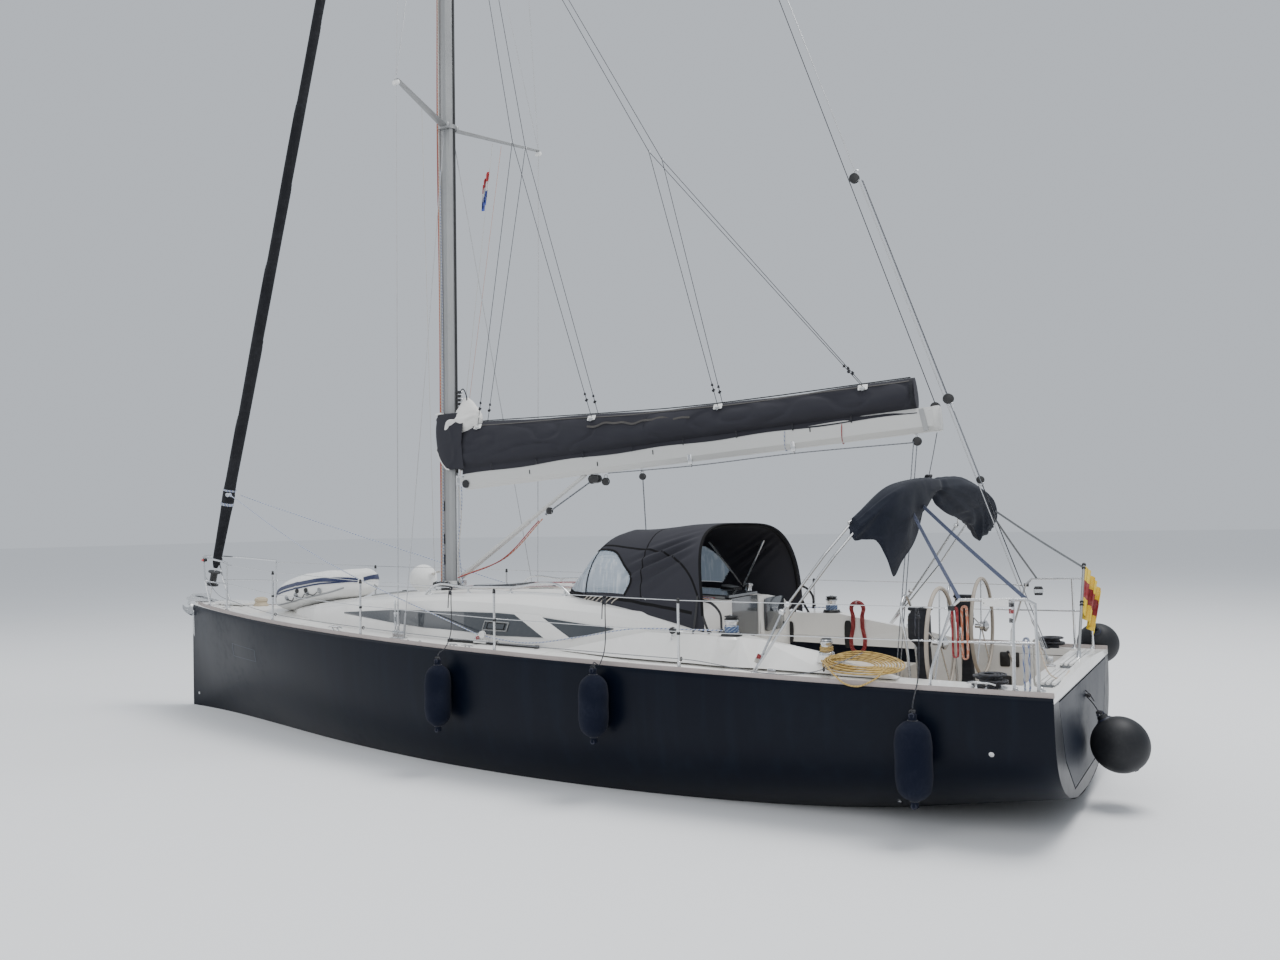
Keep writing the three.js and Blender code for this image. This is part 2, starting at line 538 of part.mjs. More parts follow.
function buildBoom() {
  const { length, height, width } = BOOM;
  const [h, w] = [height / 2, width / 2];
  const section = (x, k = 1) => [
    [x, -w * 0.6 * k, -h * k], [x, w * 0.6 * k, -h * k], [x, w * k, -h * 0.55 * k], [x, w * k, h * 0.7 * k],
    [x, w * 0.7 * k, h * k], [x, -w * 0.7 * k, h * k], [x, -w * k, h * 0.7 * k], [x, -w * k, -h * 0.55 * k],
  ];
  const spar = loft([section(-80), section(-length + 30), section(-length, 0.86)]);
  const tongue = box([-100, -18, -26], [16, 18, 26]);
  piece("boom", boomPlace(spar.add(tongue)), "boomPaint");
  const z = GOOSENECK.z;
  const lugs = join([
    box([960, -24, z + 34], [1060, 24, z + 52]), box([960, -24, z - 52], [1060, 24, z - 34]),
    box([1042, -24, z - 60], [1062, 24, z + 60]),
  ]);
  const vangEye = box([950, -24, VANG.foot - 110], [1062, 24, VANG.foot - 50]);
  const strap = box([1040, -20, VANG.foot - 110], [1062, 20, z + 60]);
  const brackets = join([lugs, strap, vangEye]);
  piece("gooseneck", brackets.subtract(loft([mastSection(1500, GAP), mastSection(4000, GAP)])), "steel");
  const drop = VANG.foot - z;
  const reach = -VANG.reach;
  const rise = (BOOM.rise * Math.PI) / 180;
  const eye = [reach * Math.cos(rise), 0, -reach * Math.sin(rise) - h - 4];
  const along = (t) => [eye[0] * t, 0, lerp(drop, eye[2], t)];
  const strut = bar(along(0), along(0.55), VANG.radius, 10).add(bar(along(0.5), eye, VANG.radius * 0.72, 10));
  const trimmed = boomPlace(strut, 0).subtract(boomPlace(loft([section(-60, 1.005), section(-length, 1.005)])));
  piece("vang", largest(trimmed), "alloy");
  const bagRows = [
    [-64, 420, 0.8], [-300, 520, 1], [-1200, 500, 1.05], [-2800, 450, 0.95], [-4600, 360, 0.8], [-5500, 290, 0.6],
  ];
  const bag = loft(bagRows.map(([x, high, k]) => {
    const base = h + GAP;
    const half = [[62, 0], [120, 0.12], [165, 0.38], [150, 0.66], [95, 0.88], [28, 1]];
    const left = half.map(([y, f]) => [x, y * (f > 0 ? k : 1), base + high * f]);
    return [...left, ...left.map(([a, b, c]) => [a, -b, c]).reverse()];
  }));
  piece("sail_bag", boomPlace(bag), "black");
}

// Bow rail, stern rails, stanchions and their wires.
function buildRails() {
  const { radius, high, wire } = RAIL;
  const foot = (x, inset) => {
    const y = halfBreadth(x) - inset;
    return [x, y, deckZ(x, y) + 9];
  };
  const bow = [foot(4760, 84), foot(5420, 84)];
  const rail = [
    [...bow[0].slice(0, 2), 2060], [5250, halfBreadth(5250) - 40, 2105], [5640, 120, 2138], [5730, 40, 2140],
  ];
  const side = join([
    bars([bow[0], rail[0], rail[1], rail[2], rail[3], [5730, -40, 2140]], radius),
    bars([bow[1], [5560, 150, 1790], rail[2]], radius),
    bars([[bow[0][0], bow[0][1], 1775], [5250, halfBreadth(5250) - 40, 1785], [5560, 150, 1790]], 9),
  ]);
  piece("pulpit", side.add(mirrorY(side)).subtract(standing), "steel");
  const stern = [foot(-5072, 95), foot(-5706, 105), foot(-5880, 118)];
  const sternTop = [
    [-5085, 1598, 1300], [-5250, 1562, 1800], [-5310, 1555, 1855], [-5800, 1515, 1865], [-5862, 1500, 1830],
  ];
  const push = join([
    bars([stern[0], ...sternTop, stern[2]], radius),
    bars([stern[1], [-5706, 1523, 1863]], radius),
    bars([[-5160, 1582, 1528], [-5868, 1518, 1536]], 9),
  ]);
  pair("pushpit", push, "steel");
  const posts = STANCHIONS.map((x) => foot(x, 84)).map(([x, y, z]) => bar([x, y, z], [x, y, z + high], 12, 8, 0));
  const fence = join([...posts, ...Object.values(WIRES).map((row) => bars(wirePoints(row), wire, 5))]);
  pair("guardrail", fence, "steel");
}

// The corners of one port lifeline, from the pulpit past the stanchions to the pushpit.
function wirePoints({ rise, fore, aft, end }) {
  const middle = STANCHIONS.map((x) => {
    const y = halfBreadth(x) - 84;
    return [x, y, deckZ(x, y) + 9 + rise];
  });
  return [[4738, halfBreadth(4760) - 80, fore], ...middle, [end, 1562, aft]];
}

// The point of a port lifeline at x.
function onWire(row, x) {
  const points = wirePoints(row);
  return [x, fromLine(points.map((p) => [p[0], p[1]]), x), fromLine(points.map((p) => [p[0], p[2]]), x)];
}

// Pedestal sections. Columns: height over the sole, aft and fore face from the wheel's plane, half width.
const PEDESTAL_ROWS = [
  [0, 78, 240, 85], [300, 92, 205, 56], [780, 92, 200, 52], [860, 84, 262, 84], [1050, 88, 268, 88], [1110, 110, 225, 60],
];

// Twin wheels on their pedestals.
function buildSteering() {
  const { x, y, z, radius, tube, hub } = WHEEL;
  for (const [side, word] of [[1, "port"], [-1, "starboard"]]) {
    const column = loft(PEDESTAL_ROWS.map(([up, aft, fore, half]) => {
      const corners = [[aft, -half], [aft, half], [fore, half], [fore, -half]];
      return corners.map(([px, py]) => [x + px, side * y + py, COCKPIT.soleZ + GAP + up]);
    }));
    piece(`${word}_pedestal`, column, "black");
    const rim = new THREE.TorusGeometry(radius, tube, 6, 40);
    rim.rotateY(Math.PI / 2);
    const spokes = Array.from({ length: 5 }, (_, i) => {
      const a = (i / 5) * Math.PI * 2 + Math.PI / 2;
      return bar([10, 0, 0], [0, radius * Math.cos(a), radius * Math.sin(a)], 7, 6, 0);
    });
    const profile = [[0, -18], [hub, -18], [hub, 20], [22, 30], [22, 69], [0, 69]];
    const boss = lathe(profile, [0, 0, 0], 12, (g) => g.rotateY(Math.PI / 2));
    piece(`${word}_wheel`, join([solid(rim), ...spokes, boss]).translate([x, side * y, z]), "steel");
  }
}

// Sprayhood: a hood of arched sections from the roof's front row to the coaming's aft end.
// Columns: x, half width, base height, crown height, lean of the crown aft of the base.
const HOOD = [
  [-1040, 700, 1750, 1790, 0], [-1120, 800, 1738, 1985, 170], [-1250, 905, 1700, 2200, 240],
  [-1450, 1010, 1680, 2420, 225], [-1950, 1110, 1662, 2468, 60], [-2450, 1165, 1575, 2486, -30],
  [-2900, 1228, 1478, 2480, -150],
];

function hoodRing([x, half, low, high, lean], inset) {
  const steps = [0, 0.1, 0.2, 0.32, 0.42, 0.5, 0.58, 0.68, 0.8, 0.9, 1];
  return steps.map((t) => {
    const c = Math.cos(Math.PI * t);
    const y = Math.sign(c) * Math.pow(Math.abs(c), 0.52) * (half - inset);
    const up = Math.pow(Math.sin(Math.PI * t), 0.55);
    return [x - lean * up ** 2.2, y, lerp(low, high - inset, up)];
  });
}

function buildHood() {
  const shell = loft(HOOD.map((row) => [...hoodRing(row, 0), ...hoodRing(row, 16).reverse()]));
  piece("sprayhood", largest(shell.subtract(standing.translate([0, 0, 4]))), "black");
}

// Bimini folded on its bows: two arches side by side and the canvas gathered round their crowns.
// Columns: x, y, z of the fore bow's corners, then how far aft of it the canvas lies.
const BOW_POINTS = [
  [-3545, 1545, 0, 0], [-3790, 1500, 1715, 0], [-4160, 1415, 2210, 0], [-4385, 1330, 2490, 30], [-4520, 1000, 2690, 60],
  [-4600, 500, 2780, 60], [-4660, 0, 2800, 90], [-4720, -500, 2785, 120], [-4730, -1000, 2690, 180],
  [-4620, -1350, 2450, 200], [-4290, -1450, 2000, 0], [-3700, -1545, 0, 0],
];

function buildBimini() {
  const foot = ([x, y, z]) => [x, y, z || deckZ(x, y) + 16];
  const last = BOW_POINTS.length - 1;
  const bow = (shift) => BOW_POINTS.map(foot).map(([x, y, z], i) => [i % last ? x - shift : x, y, z]);
  const tubes = (grow) => join([0, 95].map((shift) => bars(bow(shift), 12 + grow, 6)));
  piece("bimini_frame", tubes(0).subtract(standing), "steel");
  const crown = BOW_POINTS.slice(3, -2);
  const rings = crown.map(([x, y, z, back], i) => {
    const [width, tall] = i === 0 || i === crown.length - 1 ? [80, 55] : [125, 85];
    const lean = Math.atan2(y, 1500);
    return Array.from({ length: 10 }, (_, k) => {
      const a = (k / 10) * Math.PI * 2;
      const [u, v] = [Math.cos(a) * width, Math.sin(a) * tall];
      return [x - 48 - back * 0.5 + u, y + v * Math.sin(lean), z + v * Math.cos(lean)];
    });
  });
  piece("bimini_canvas", largest(loft(rings).subtract(tubes(0.8))), "black");
}

// One winch on each coaming.
function buildWinches() {
  const profile = [[0, 0], [82, 0], [78, 28], [56, 40], [50, 95], [64, 130], [64, 150], [0, 158]];
  const drum = lathe(profile, [WINCH.x, WINCH.y, COAMING.top + GAP], 14);
  piece("port_winch", drum, "steel");
  piece("starboard_winch", mirrorY(drum), "steel");
}

// Fenders on their lanyards: long ones that hang at the topsides, and round ones.
// Columns: name, x, top, bottom, radius.
const FENDERS = [
  ["fore_fender", -155, 1160, 440, 130], ["middle_fender", -2100, 1190, 520, 135], ["aft_fender", -5000, 1000, 280, 140],
];

function buildFenders() {
  for (const [name, x, top, bottom, radius] of FENDERS) {
    const y = halfBreadth(x) + radius + 6;
    const profile = [
      [0, bottom], [radius * 0.45, bottom + 12], [radius * 0.88, bottom + 80], [radius, bottom + 160],
      [radius, top - 180], [radius * 0.85, top - 90], [radius * 0.35, top - 20], [26, top], [0, top],
    ];
    const [, wireY, wireZ] = onWire(WIRES.upper, x);
    const lanyard = bar([x, y, top - 10], [x, wireY, wireZ - 10], 5, 5, 0);
    piece(name, lathe(profile, [x, y, 0], 16).add(lanyard), "fender");
  }
  const pear = (radius) => {
    const arc = Array.from({ length: 8 }, (_, i) => {
      const a = -Math.PI / 2 + (i / 7) * Math.PI * 0.83;
      return [radius * Math.cos(a), radius * Math.sin(a)];
    });
    return [[0, -radius], ...arc.slice(1), [radius * 0.16, radius * 1.32], [0, radius * 1.36]];
  };
  const hung = (radius, at, to) => {
    const neck = [at[0], at[1], at[2] + radius * 1.3];
    return lathe(pear(radius), at, 18).add(bar(neck, to, 5, 5, 0));
  };
  const stern = [AFT - 265, 20, 530];
  piece("stern_fender", hung(240, stern, [AFT - 8, 20, 960]), "fender");
  const quarter = [-5885, -halfBreadth(-5885) - 215, 1180];
  piece("quarter_fender", hung(205, quarter, [-5880, -1552, 1500]), "fender");
  const [ballX, wireY, wireZ] = onWire(WIRES.upper, 2740);
  piece("white_fender", hung(188, [ballX, -wireY - 205, 1790], [ballX, -wireY, wireZ - 10]), "cream");
}

// The small inflatable stowed bottom up on the foredeck.
function buildDinghy() {
  const rows = [
    [2500, 430, 190, 1560], [2750, 560, 260, 1660], [3300, 600, 280, 1680], [3800, 500, 260, 1650],
    [4100, 300, 170, 1570],
  ];
  const rings = rows.map(([x, half, deep, z]) => Array.from({ length: 14 }, (_, i) => {
    const a = (i / 14) * Math.PI * 2;
    const bulge = Math.abs(Math.cos(a)) ** 0.7 * Math.sign(Math.cos(a));
    return [x, half * bulge, z + deep * Math.sin(a)];
  }));
  piece("dinghy", largest(loft(rings).subtract(standing.translate([0, 0, 8]))), "white");
}

// What the fittings stand on, a hair larger than the pieces themselves.
const deckBody = deckSlab(GAP, 900);
const roofBody = loft(ROOF_SECTIONS.map((row) => roofRing(row, 0.6)));
const standing = deckBody.add(roofBody);

const hullBody = buildHull();
buildDeck();
buildToeRails();
buildCoachroof();
buildWindows();
buildHatches();
buildCockpit();
buildUnderbody(hullBody);
buildRig(roofBody);
buildBoom();
buildRails();
buildSteering();
buildHood();
buildBimini();
buildWinches();
buildFenders();
buildDinghy();

export default root;
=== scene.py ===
"""A twelve metre sailing yacht at rest afloat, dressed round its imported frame.

Metres. +X runs to the bow, +Y to port and +Z up. The origin lies on the waterline amidships.
"""
import logging
import math
from collections.abc import Callable
from dataclasses import dataclass
from enum import Enum

import bmesh
import bpy
import numpy as np
from mathutils import Matrix, Vector
from numpy.typing import NDArray


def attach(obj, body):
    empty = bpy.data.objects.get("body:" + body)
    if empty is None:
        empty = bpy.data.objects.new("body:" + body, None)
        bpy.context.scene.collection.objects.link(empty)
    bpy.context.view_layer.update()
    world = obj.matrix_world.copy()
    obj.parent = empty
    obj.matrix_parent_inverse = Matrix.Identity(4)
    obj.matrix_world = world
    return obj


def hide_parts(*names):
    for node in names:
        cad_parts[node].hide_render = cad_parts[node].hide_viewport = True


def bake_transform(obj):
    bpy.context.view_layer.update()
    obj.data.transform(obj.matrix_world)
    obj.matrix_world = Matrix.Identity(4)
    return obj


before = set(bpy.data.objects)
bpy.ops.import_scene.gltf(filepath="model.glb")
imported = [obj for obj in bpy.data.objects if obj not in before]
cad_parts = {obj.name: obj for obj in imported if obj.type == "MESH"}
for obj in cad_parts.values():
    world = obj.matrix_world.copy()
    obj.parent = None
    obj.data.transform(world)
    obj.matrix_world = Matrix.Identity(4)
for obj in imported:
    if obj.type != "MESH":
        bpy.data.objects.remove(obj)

LOG = logging.getLogger("yacht")
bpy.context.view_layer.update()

Points = NDArray[np.float64]
Color = tuple[float, float, float]
Triple = tuple[float, float, float]
Pair = tuple[float, float]

POLE_RADIUS = 0.0125
COAMING_TOP = 1.47
SOLE_TOP = 0.603
MAST_TOP = 19.3
WIRE_INSET = 0.08
WIRE_RISE = 0.62
FORESTAY_WAY = (-0.271, 0, 0.963)


def smooth_table(table: tuple[Pair, ...], x: Points) -> Points:
    """Reads a table of (x, value) pairs with falling x, by cubic pieces with the slopes of their neighbours.

    Args:
        table: the pairs.
        x: where to read.

    Returns:
        The values at x.
    """
    rows = np.asarray(table, float)[::-1]
    xs, vs = rows[:, 0], rows[:, 1]
    x = np.clip(np.asarray(x, float), xs[0], xs[-1])
    i = np.clip(np.searchsorted(xs, x, side="right") - 1, 0, len(xs) - 2)
    before, after = np.maximum(i - 1, 0), np.minimum(i + 2, len(xs) - 1)
    span = xs[i + 1] - xs[i]
    t = (x - xs[i]) / span
    start = (vs[i + 1] - vs[before]) / (xs[i + 1] - xs[before]) * span
    end = (vs[after] - vs[i]) / (xs[after] - xs[i]) * span
    return ((2 * t**3 - 3 * t**2 + 1) * vs[i] + (t**3 - 2 * t**2 + t) * start
            + (3 * t**2 - 2 * t**3) * vs[i + 1] + (t**3 - t**2) * end)


def line_table(rows: Points, column: int, x: Points) -> Points:
    """Reads one column of a table whose first column falls, by straight pieces."""
    return np.interp(x, rows[::-1, 0], rows[::-1, column])


@dataclass(frozen=True)
class HullForm:
    """The deck's edge and surface, by the same rules as the solids."""

    half_length: float = 6.0
    half_beam: float = 1.76
    stern_sheer: float = 1.146
    bow_rise: float = 0.284
    camber: float = 0.07
    breadth: tuple[Pair, ...] = (
        (6, 0.012), (5.6, 0.105), (5, 0.235), (4, 0.435), (3, 0.6), (2, 0.735), (1, 0.84), (0, 0.92), (-1, 0.97),
        (-2, 0.995), (-3, 1), (-4.5, 0.985), (-6, 0.95),
    )

    def sheer(self, x: Points | float) -> Points:
        """Height of the deck's edge at x."""
        share = np.clip((np.asarray(x, float) + self.half_length) / (2 * self.half_length), 0, 1)
        return self.stern_sheer + self.bow_rise * share**1.5

    def half_breadth(self, x: Points | float) -> Points:
        """Distance from the centreline to the deck's edge at x."""
        return self.half_beam * smooth_table(self.breadth, x)

    def deck(self, x: Points | float, y: Points | float) -> Points:
        """Height of the cambered deck at x, y: the sheer plus a parabola across the boat."""
        across = np.minimum(1, np.abs(y) / self.half_breadth(x))
        return self.sheer(x) + self.camber * (1 - across**2)

    def edge(self, x: float) -> float:
        """Distance from the centreline to the deck's edge at one x."""
        return float(self.half_breadth(x))

    def rim(self, x: float) -> float:
        """Height of the deck's edge at one x."""
        return float(self.sheer(x))

    def level(self, x: float, y: float) -> float:
        """Height of the deck at one place."""
        return float(self.deck(x, y))

    def wire(self, x: float) -> float:
        """Distance from the centreline to the lifelines at one x."""
        return self.edge(x) - WIRE_INSET


@dataclass(frozen=True)
class RoofForm:
    """The coachroof. Rows: x, half width at the foot, height of the side's edge, height of the crown."""

    rows: tuple[tuple[float, float, float, float], ...] = (
        (3.87, 0.09, 1.408, 1.425), (3.4, 0.43, 1.448, 1.5), (2.8, 0.7, 1.51, 1.59), (2.0, 0.93, 1.585, 1.675),
        (1.2, 1.08, 1.655, 1.74), (0.3, 1.17, 1.7, 1.79), (-0.7, 1.215, 1.684, 1.812), (-1.7, 1.225, 1.618, 1.78),
        (-2.3, 1.225, 1.545, 1.748), (-2.76, 1.225, 1.482, 1.72),
    )

    def ring(self, x: Points | float) -> tuple[Points, Points]:
        """Widths and heights of the section's six corners, from the foot to the crown, at each x."""
        table = np.asarray(self.rows)
        x = np.asarray(x, float)
        foot, side, crown = (line_table(table, column, x) for column in (1, 2, 3))
        low = HULL.sheer(x) + 0.2 * HULL.camber
        widths = np.stack([foot, foot * 0.965, foot * 0.925, foot * 0.82, foot * 0.48, foot * 0], -1)
        heights = np.stack([low] + [side + (crown - side) * s for s in (0, 0.42, 0.7, 0.94, 1)], -1)
        return widths, heights

    def top(self, x: Points | float, y: Points | float) -> Points:
        """Height of the roof at x, y, by straight pieces between the section's corners."""
        x, y = np.broadcast_arrays(np.asarray(x, float), np.abs(np.asarray(y, float)))
        widths, heights = self.ring(x)
        z = heights[..., 0].copy()
        for k in range(5):
            outer, inner = widths[..., k], widths[..., k + 1]
            share = np.clip((outer - y) / np.maximum(outer - inner, 1e-9), 0, 1)
            z = np.where(y <= outer, heights[..., k] + (heights[..., k + 1] - heights[..., k]) * share, z)
        return z

    def level(self, x: float, y: float) -> float:
        """Height of the roof at one place."""
        return float(self.top(x, y))

    def side(self, x: Points | float, z: Points | float, out: float = 0.0) -> Points:
        """Points on the port side's upright face at x and height z, a distance out from it."""
        x, z = np.broadcast_arrays(np.asarray(x, float), np.asarray(z, float))
        widths, heights = self.ring(x)
        share = (z - heights[..., 0]) / (heights[..., 1] - heights[..., 0])
        y = widths[..., 0] + (widths[..., 1] - widths[..., 0]) * share + out
        return np.stack([x, y, z], -1)


HULL = HullForm()
ROOF = RoofForm()


@dataclass
class Patch:
    """A surface: its vertices, its faces in groups of equal length, their corner UVs and the finish it takes."""

    points: Points
    faces: list[Points]
    uvs: list[Points]
    finish: "Finish"

    def placed(self, matrix: Matrix | Points) -> "Patch":
        """The same surface moved by a 4 by 4 matrix."""
        m = np.array(matrix, float)
        return Patch(self.points @ m[:3, :3].T + m[:3, 3], self.faces, self.uvs, self.finish)

    def moved(self, x: float = 0.0, y: float = 0.0, z: float = 0.0) -> "Patch":
        """The same surface shifted."""
        return Patch(self.points + np.array([x, y, z]), self.faces, self.uvs, self.finish)

    def mirrored(self) -> "Patch":
        """The same surface on the other side of the boat, its faces turned to stay outward."""
        return Patch(self.points * [1, -1, 1], [f[:, ::-1] for f in self.faces], [u[:, ::-1] for u in self.uvs],
                     self.finish)


def both_sides(patches: list[Patch]) -> list[Patch]:
    """The patches and their mirror images."""
    return patches + [patch.mirrored() for patch in patches]


def grid(points: Points, finish: "Finish", wrap: bool = False, caps: tuple[bool, bool] = (False, False),
         tile: Pair = (1.0, 1.0)) -> Patch:
    """Quads over a grid of points.

    Args:
        points: an array of rows by columns by 3.
        finish: the surface's finish.
        wrap: joins the last column to the first.
        caps: closes the first and the last row with a face.
        tile: the UV size of the whole grid, across its columns and along its rows.

    Returns:
        The patch.
    """
    rows, cols = points.shape[:2]
    across = cols if wrap else cols - 1
    i, j = np.meshgrid(np.arange(rows - 1), np.arange(across), indexing="ij")
    k = (j + 1) % cols
    quads = np.stack([i * cols + j, i * cols + k, (i + 1) * cols + k, (i + 1) * cols + j], -1).reshape(-1, 4)
    u = np.stack([j, j + 1, j + 1, j], -1) / across * tile[0]
    v = np.stack([i, i, i + 1, i + 1], -1) / (rows - 1) * tile[1]
    faces, uvs = [quads], [np.stack([u, v], -1).reshape(-1, 4, 2)]
    for row, wanted, step in ((0, caps[0], -1), (rows - 1, caps[1], 1)):
        if wanted:
            faces.append((row * cols + np.arange(cols))[None, ::step])
            uvs.append(np.zeros((1, cols, 2)))
    return Patch(points.reshape(-1, 3), faces, uvs, finish)


def filled(corners: list[Pair] | list[Triple] | Points, steps: int) -> Points:
    """A square grid of points spread between four corners, given in order."""
    a, b, c, d = (np.array(v, float) for v in corners)
    s, t = (v[..., None] for v in np.meshgrid(np.linspace(0, 1, steps), np.linspace(0, 1, steps), indexing="ij"))
    return (a * (1 - s) + b * s) * (1 - t) + (d * (1 - s) + c * s) * t


def through(points: list[Triple] | Points, count: int) -> Points:
    """A smooth line through the points, by cubic pieces over the chord length, cut into even steps.

    Args:
        points: the points to pass.
        count: how many points to return.

    Returns:
        The line's points, evenly spaced along it.
    """
    p = np.asarray(points, float)
    knots = np.concatenate([[0], np.cumsum(np.linalg.norm(np.diff(p, axis=0), axis=1))])
    slopes = np.gradient(p, knots, axis=0) if len(p) > 2 else np.tile((p[1] - p[0]) / knots[-1], (2, 1))
    s = np.linspace(0, knots[-1], count * 6)
    i = np.clip(np.searchsorted(knots, s, side="right") - 1, 0, len(knots) - 2)
    h = (knots[i + 1] - knots[i])[:, None]
    t = (s - knots[i])[:, None] / h
    line = ((2 * t**3 - 3 * t**2 + 1) * p[i] + (t**3 - 2 * t**2 + t) * h * slopes[i]
            + (3 * t**2 - 2 * t**3) * p[i + 1] + (t**3 - t**2) * h * slopes[i + 1])
    length = np.concatenate([[0], np.cumsum(np.linalg.norm(np.diff(line, axis=0), axis=1))])
    even = np.linspace(0, length[-1], count)
    return np.stack([np.interp(even, length, line[:, axis]) for axis in range(3)], -1)


def length_of(path: Points) -> float:
    """The length of a line of points."""
    return float(np.linalg.norm(np.diff(path, axis=0), axis=1).sum())


def sweep(outline: Points, path: Points, finish: "Finish", up: Triple | None = None,
          scale: Points | float = 1.0, caps: bool = True, tile: Pair | None = None) -> Patch:
    """A closed flat outline carried along a path, square to it.

    Args:
        outline: points across (first) and up (second) from the path.
        path: the line's points. It is a ring where the last point repeats the first.
        finish: the surface's finish.
        up: the direction that the outline's second axis leans to; the one least along the path if not given.
        scale: the outline's size at each point.
        caps: closes both ends.
        tile: the UV size, across the outline and along the path; in metres along the path if not given.

    Returns:
        The patch.
    """
    path = np.asarray(path, float)
    ring = len(path) > 3 and bool(np.allclose(path[0], path[-1]))
    ahead = np.gradient(path, axis=0)
    if ring:
        ahead[0] = ahead[-1] = path[1] - path[-2]
    ahead /= np.linalg.norm(ahead, axis=1, keepdims=True)
    if up is None:
        choices = np.array([(0, 0, 1), (0, 1, 0), (1, 0, 0), (1, 1, 0), (1, -1, 0), (1, 0, 1), (1, 0, -1),
                            (0, 1, 1), (0, 1, -1), (1, 1, 1), (1, 1, -1), (1, -1, 1), (-1, 1, 1)], float)
        choices /= np.linalg.norm(choices, axis=1, keepdims=True)
        up = tuple(choices[np.abs(choices @ ahead.T).max(axis=1).argmin()])
    side = np.cross(np.asarray(up, float)[None], ahead)
    side /= np.linalg.norm(side, axis=1, keepdims=True)
    lift = np.cross(ahead, side)
    size = np.broadcast_to(np.asarray(scale, float), (len(path),))[:, None, None]
    points = path[:, None] + size * (outline[None, :, :1] * side[:, None] + outline[None, :, 1:] * lift[:, None])
    return grid(points, finish, wrap=True, caps=(caps and not ring,) * 2, tile=tile or (1.0, length_of(path)))


def circle(radius: float, sides: int, tall: float = 1.0) -> Points:
    """A ring of points, tall times as high as it is wide."""
    a = np.arange(sides) / sides * 2 * np.pi
    return np.stack([radius * np.cos(a), radius * tall * np.sin(a)], -1)


def tube(path: list[Triple] | Points, radius: float, finish: "Finish", sides: int = 8,
         scale: Points | float = 1.0) -> Patch:
    """A round bar or rope along a path. Its UVs count diameters along it, for the lay of a rope."""
    path = np.asarray(path, float)
    return sweep(circle(radius, sides), path, finish, scale=scale, tile=(1.0, length_of(path) / (2 * radius)))


def turned(profile: list[Pair], finish: "Finish", sides: int = 24, tile: Pair = (1.0, 1.0)) -> Patch:
    """An outline of (radius, height) pairs turned about +Z."""
    r, z = np.asarray(profile, float).T
    a = np.arange(sides) / sides * 2 * np.pi
    points = np.stack([r[:, None] * np.cos(a), r[:, None] * np.sin(a), np.repeat(z[:, None], sides, 1)], -1)
    return grid(points, finish, wrap=True, tile=tile)


def slab(size: Triple, finish: "Finish", square: float = 0.35, edge: float = 0.15, steps: int = 20) -> Patch:
    """A rounded block centred at the origin: superellipse rings that draw in by an edge at both ends.

    Args:
        size: its length, width and height.
        finish: its finish.
        square: the superellipse's exponent, from 1 for an oval to 0.1 for nearly square corners.
        edge: how far the top and bottom edges draw in, as a share of the smallest side.
        steps: points round it.

    Returns:
        The patch.
    """
    half = np.asarray(size, float) / 2
    pull = edge * half.min() * 2
    a = (np.arange(steps) + 0.5) / steps * 2 * np.pi
    x, y = (np.sign(w) * np.abs(w) ** square for w in (np.cos(a), np.sin(a)))
    heights = np.array([-half[2], -half[2], -half[2] + pull * 0.3, -half[2] + pull, half[2] - pull,
                        half[2] - pull * 0.3, half[2], half[2]])
    inset = np.array([1e9, pull, pull * 0.3, 0, 0, pull * 0.3, pull, 1e9])
    wide, deep = (np.maximum(h - inset, 0)[:, None] for h in half[:2])
    points = np.stack([wide * x, deep * y, np.repeat(heights[:, None], steps, 1)], -1)
    return grid(points, finish, wrap=True)


def make_piece(name: str, patches: list[Patch], body: str | None = "root",
               replaces: tuple[str, ...] = (), sharp: float = 38.0, thick: float = 0.0) -> bpy.types.Object:
    """Puts patches into one object, welds its seams and poles, and makes it ride on a body.

    Args:
        name: the piece's name.
        patches: its surfaces.
        body: the body that it rides on, or None to leave it loose in the scene.
        replaces: CAD nodes that it stands for.
        sharp: edges that turn by more degrees than this are drawn sharp.
        thick: gives an open sheet this thickness.

    Returns:
        The object.
    """
    starts = np.cumsum([0] + [len(p.points) for p in patches])
    finishes = list(dict.fromkeys(p.finish for p in patches))
    faces: list[list[int]] = []
    slots: list[int] = []
    uvs: list[Points] = []
    for start, patch in zip(starts, patches):
        for group, uv in zip(patch.faces, patch.uvs):
            faces += (group + start).tolist()
            slots += [finishes.index(patch.finish)] * len(group)
            uvs.append(uv.reshape(-1, 2))
    mesh = bpy.data.meshes.new(name)
    mesh.from_pydata(np.concatenate([p.points for p in patches]), [], faces)
    mesh.uv_layers.new(name="UVMap").data.foreach_set("uv", np.concatenate(uvs).ravel())
    mesh.polygons.foreach_set("material_index", slots)
    for finish in finishes:
        mesh.materials.append(finish.material())
    work = bmesh.new()
    work.from_mesh(mesh)
    bmesh.ops.remove_doubles(work, verts=work.verts, dist=2e-5)
    bmesh.ops.recalc_face_normals(work, faces=work.faces)
    work.to_mesh(mesh)
    work.free()
    mesh.shade_smooth()
    mesh.set_sharp_from_angle(angle=math.radians(sharp))
    piece = bpy.data.objects.new(name, mesh)
    bpy.context.scene.collection.objects.link(piece)
    if thick:
        wall = piece.modifiers.new("wall", "SOLIDIFY")
        wall.thickness, wall.offset = thick, 0.0
    if body:
        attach(piece, body)
    if replaces:
        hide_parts(*replaces)
    LOG.info("%s: %d faces", name, len(mesh.polygons))
    return piece


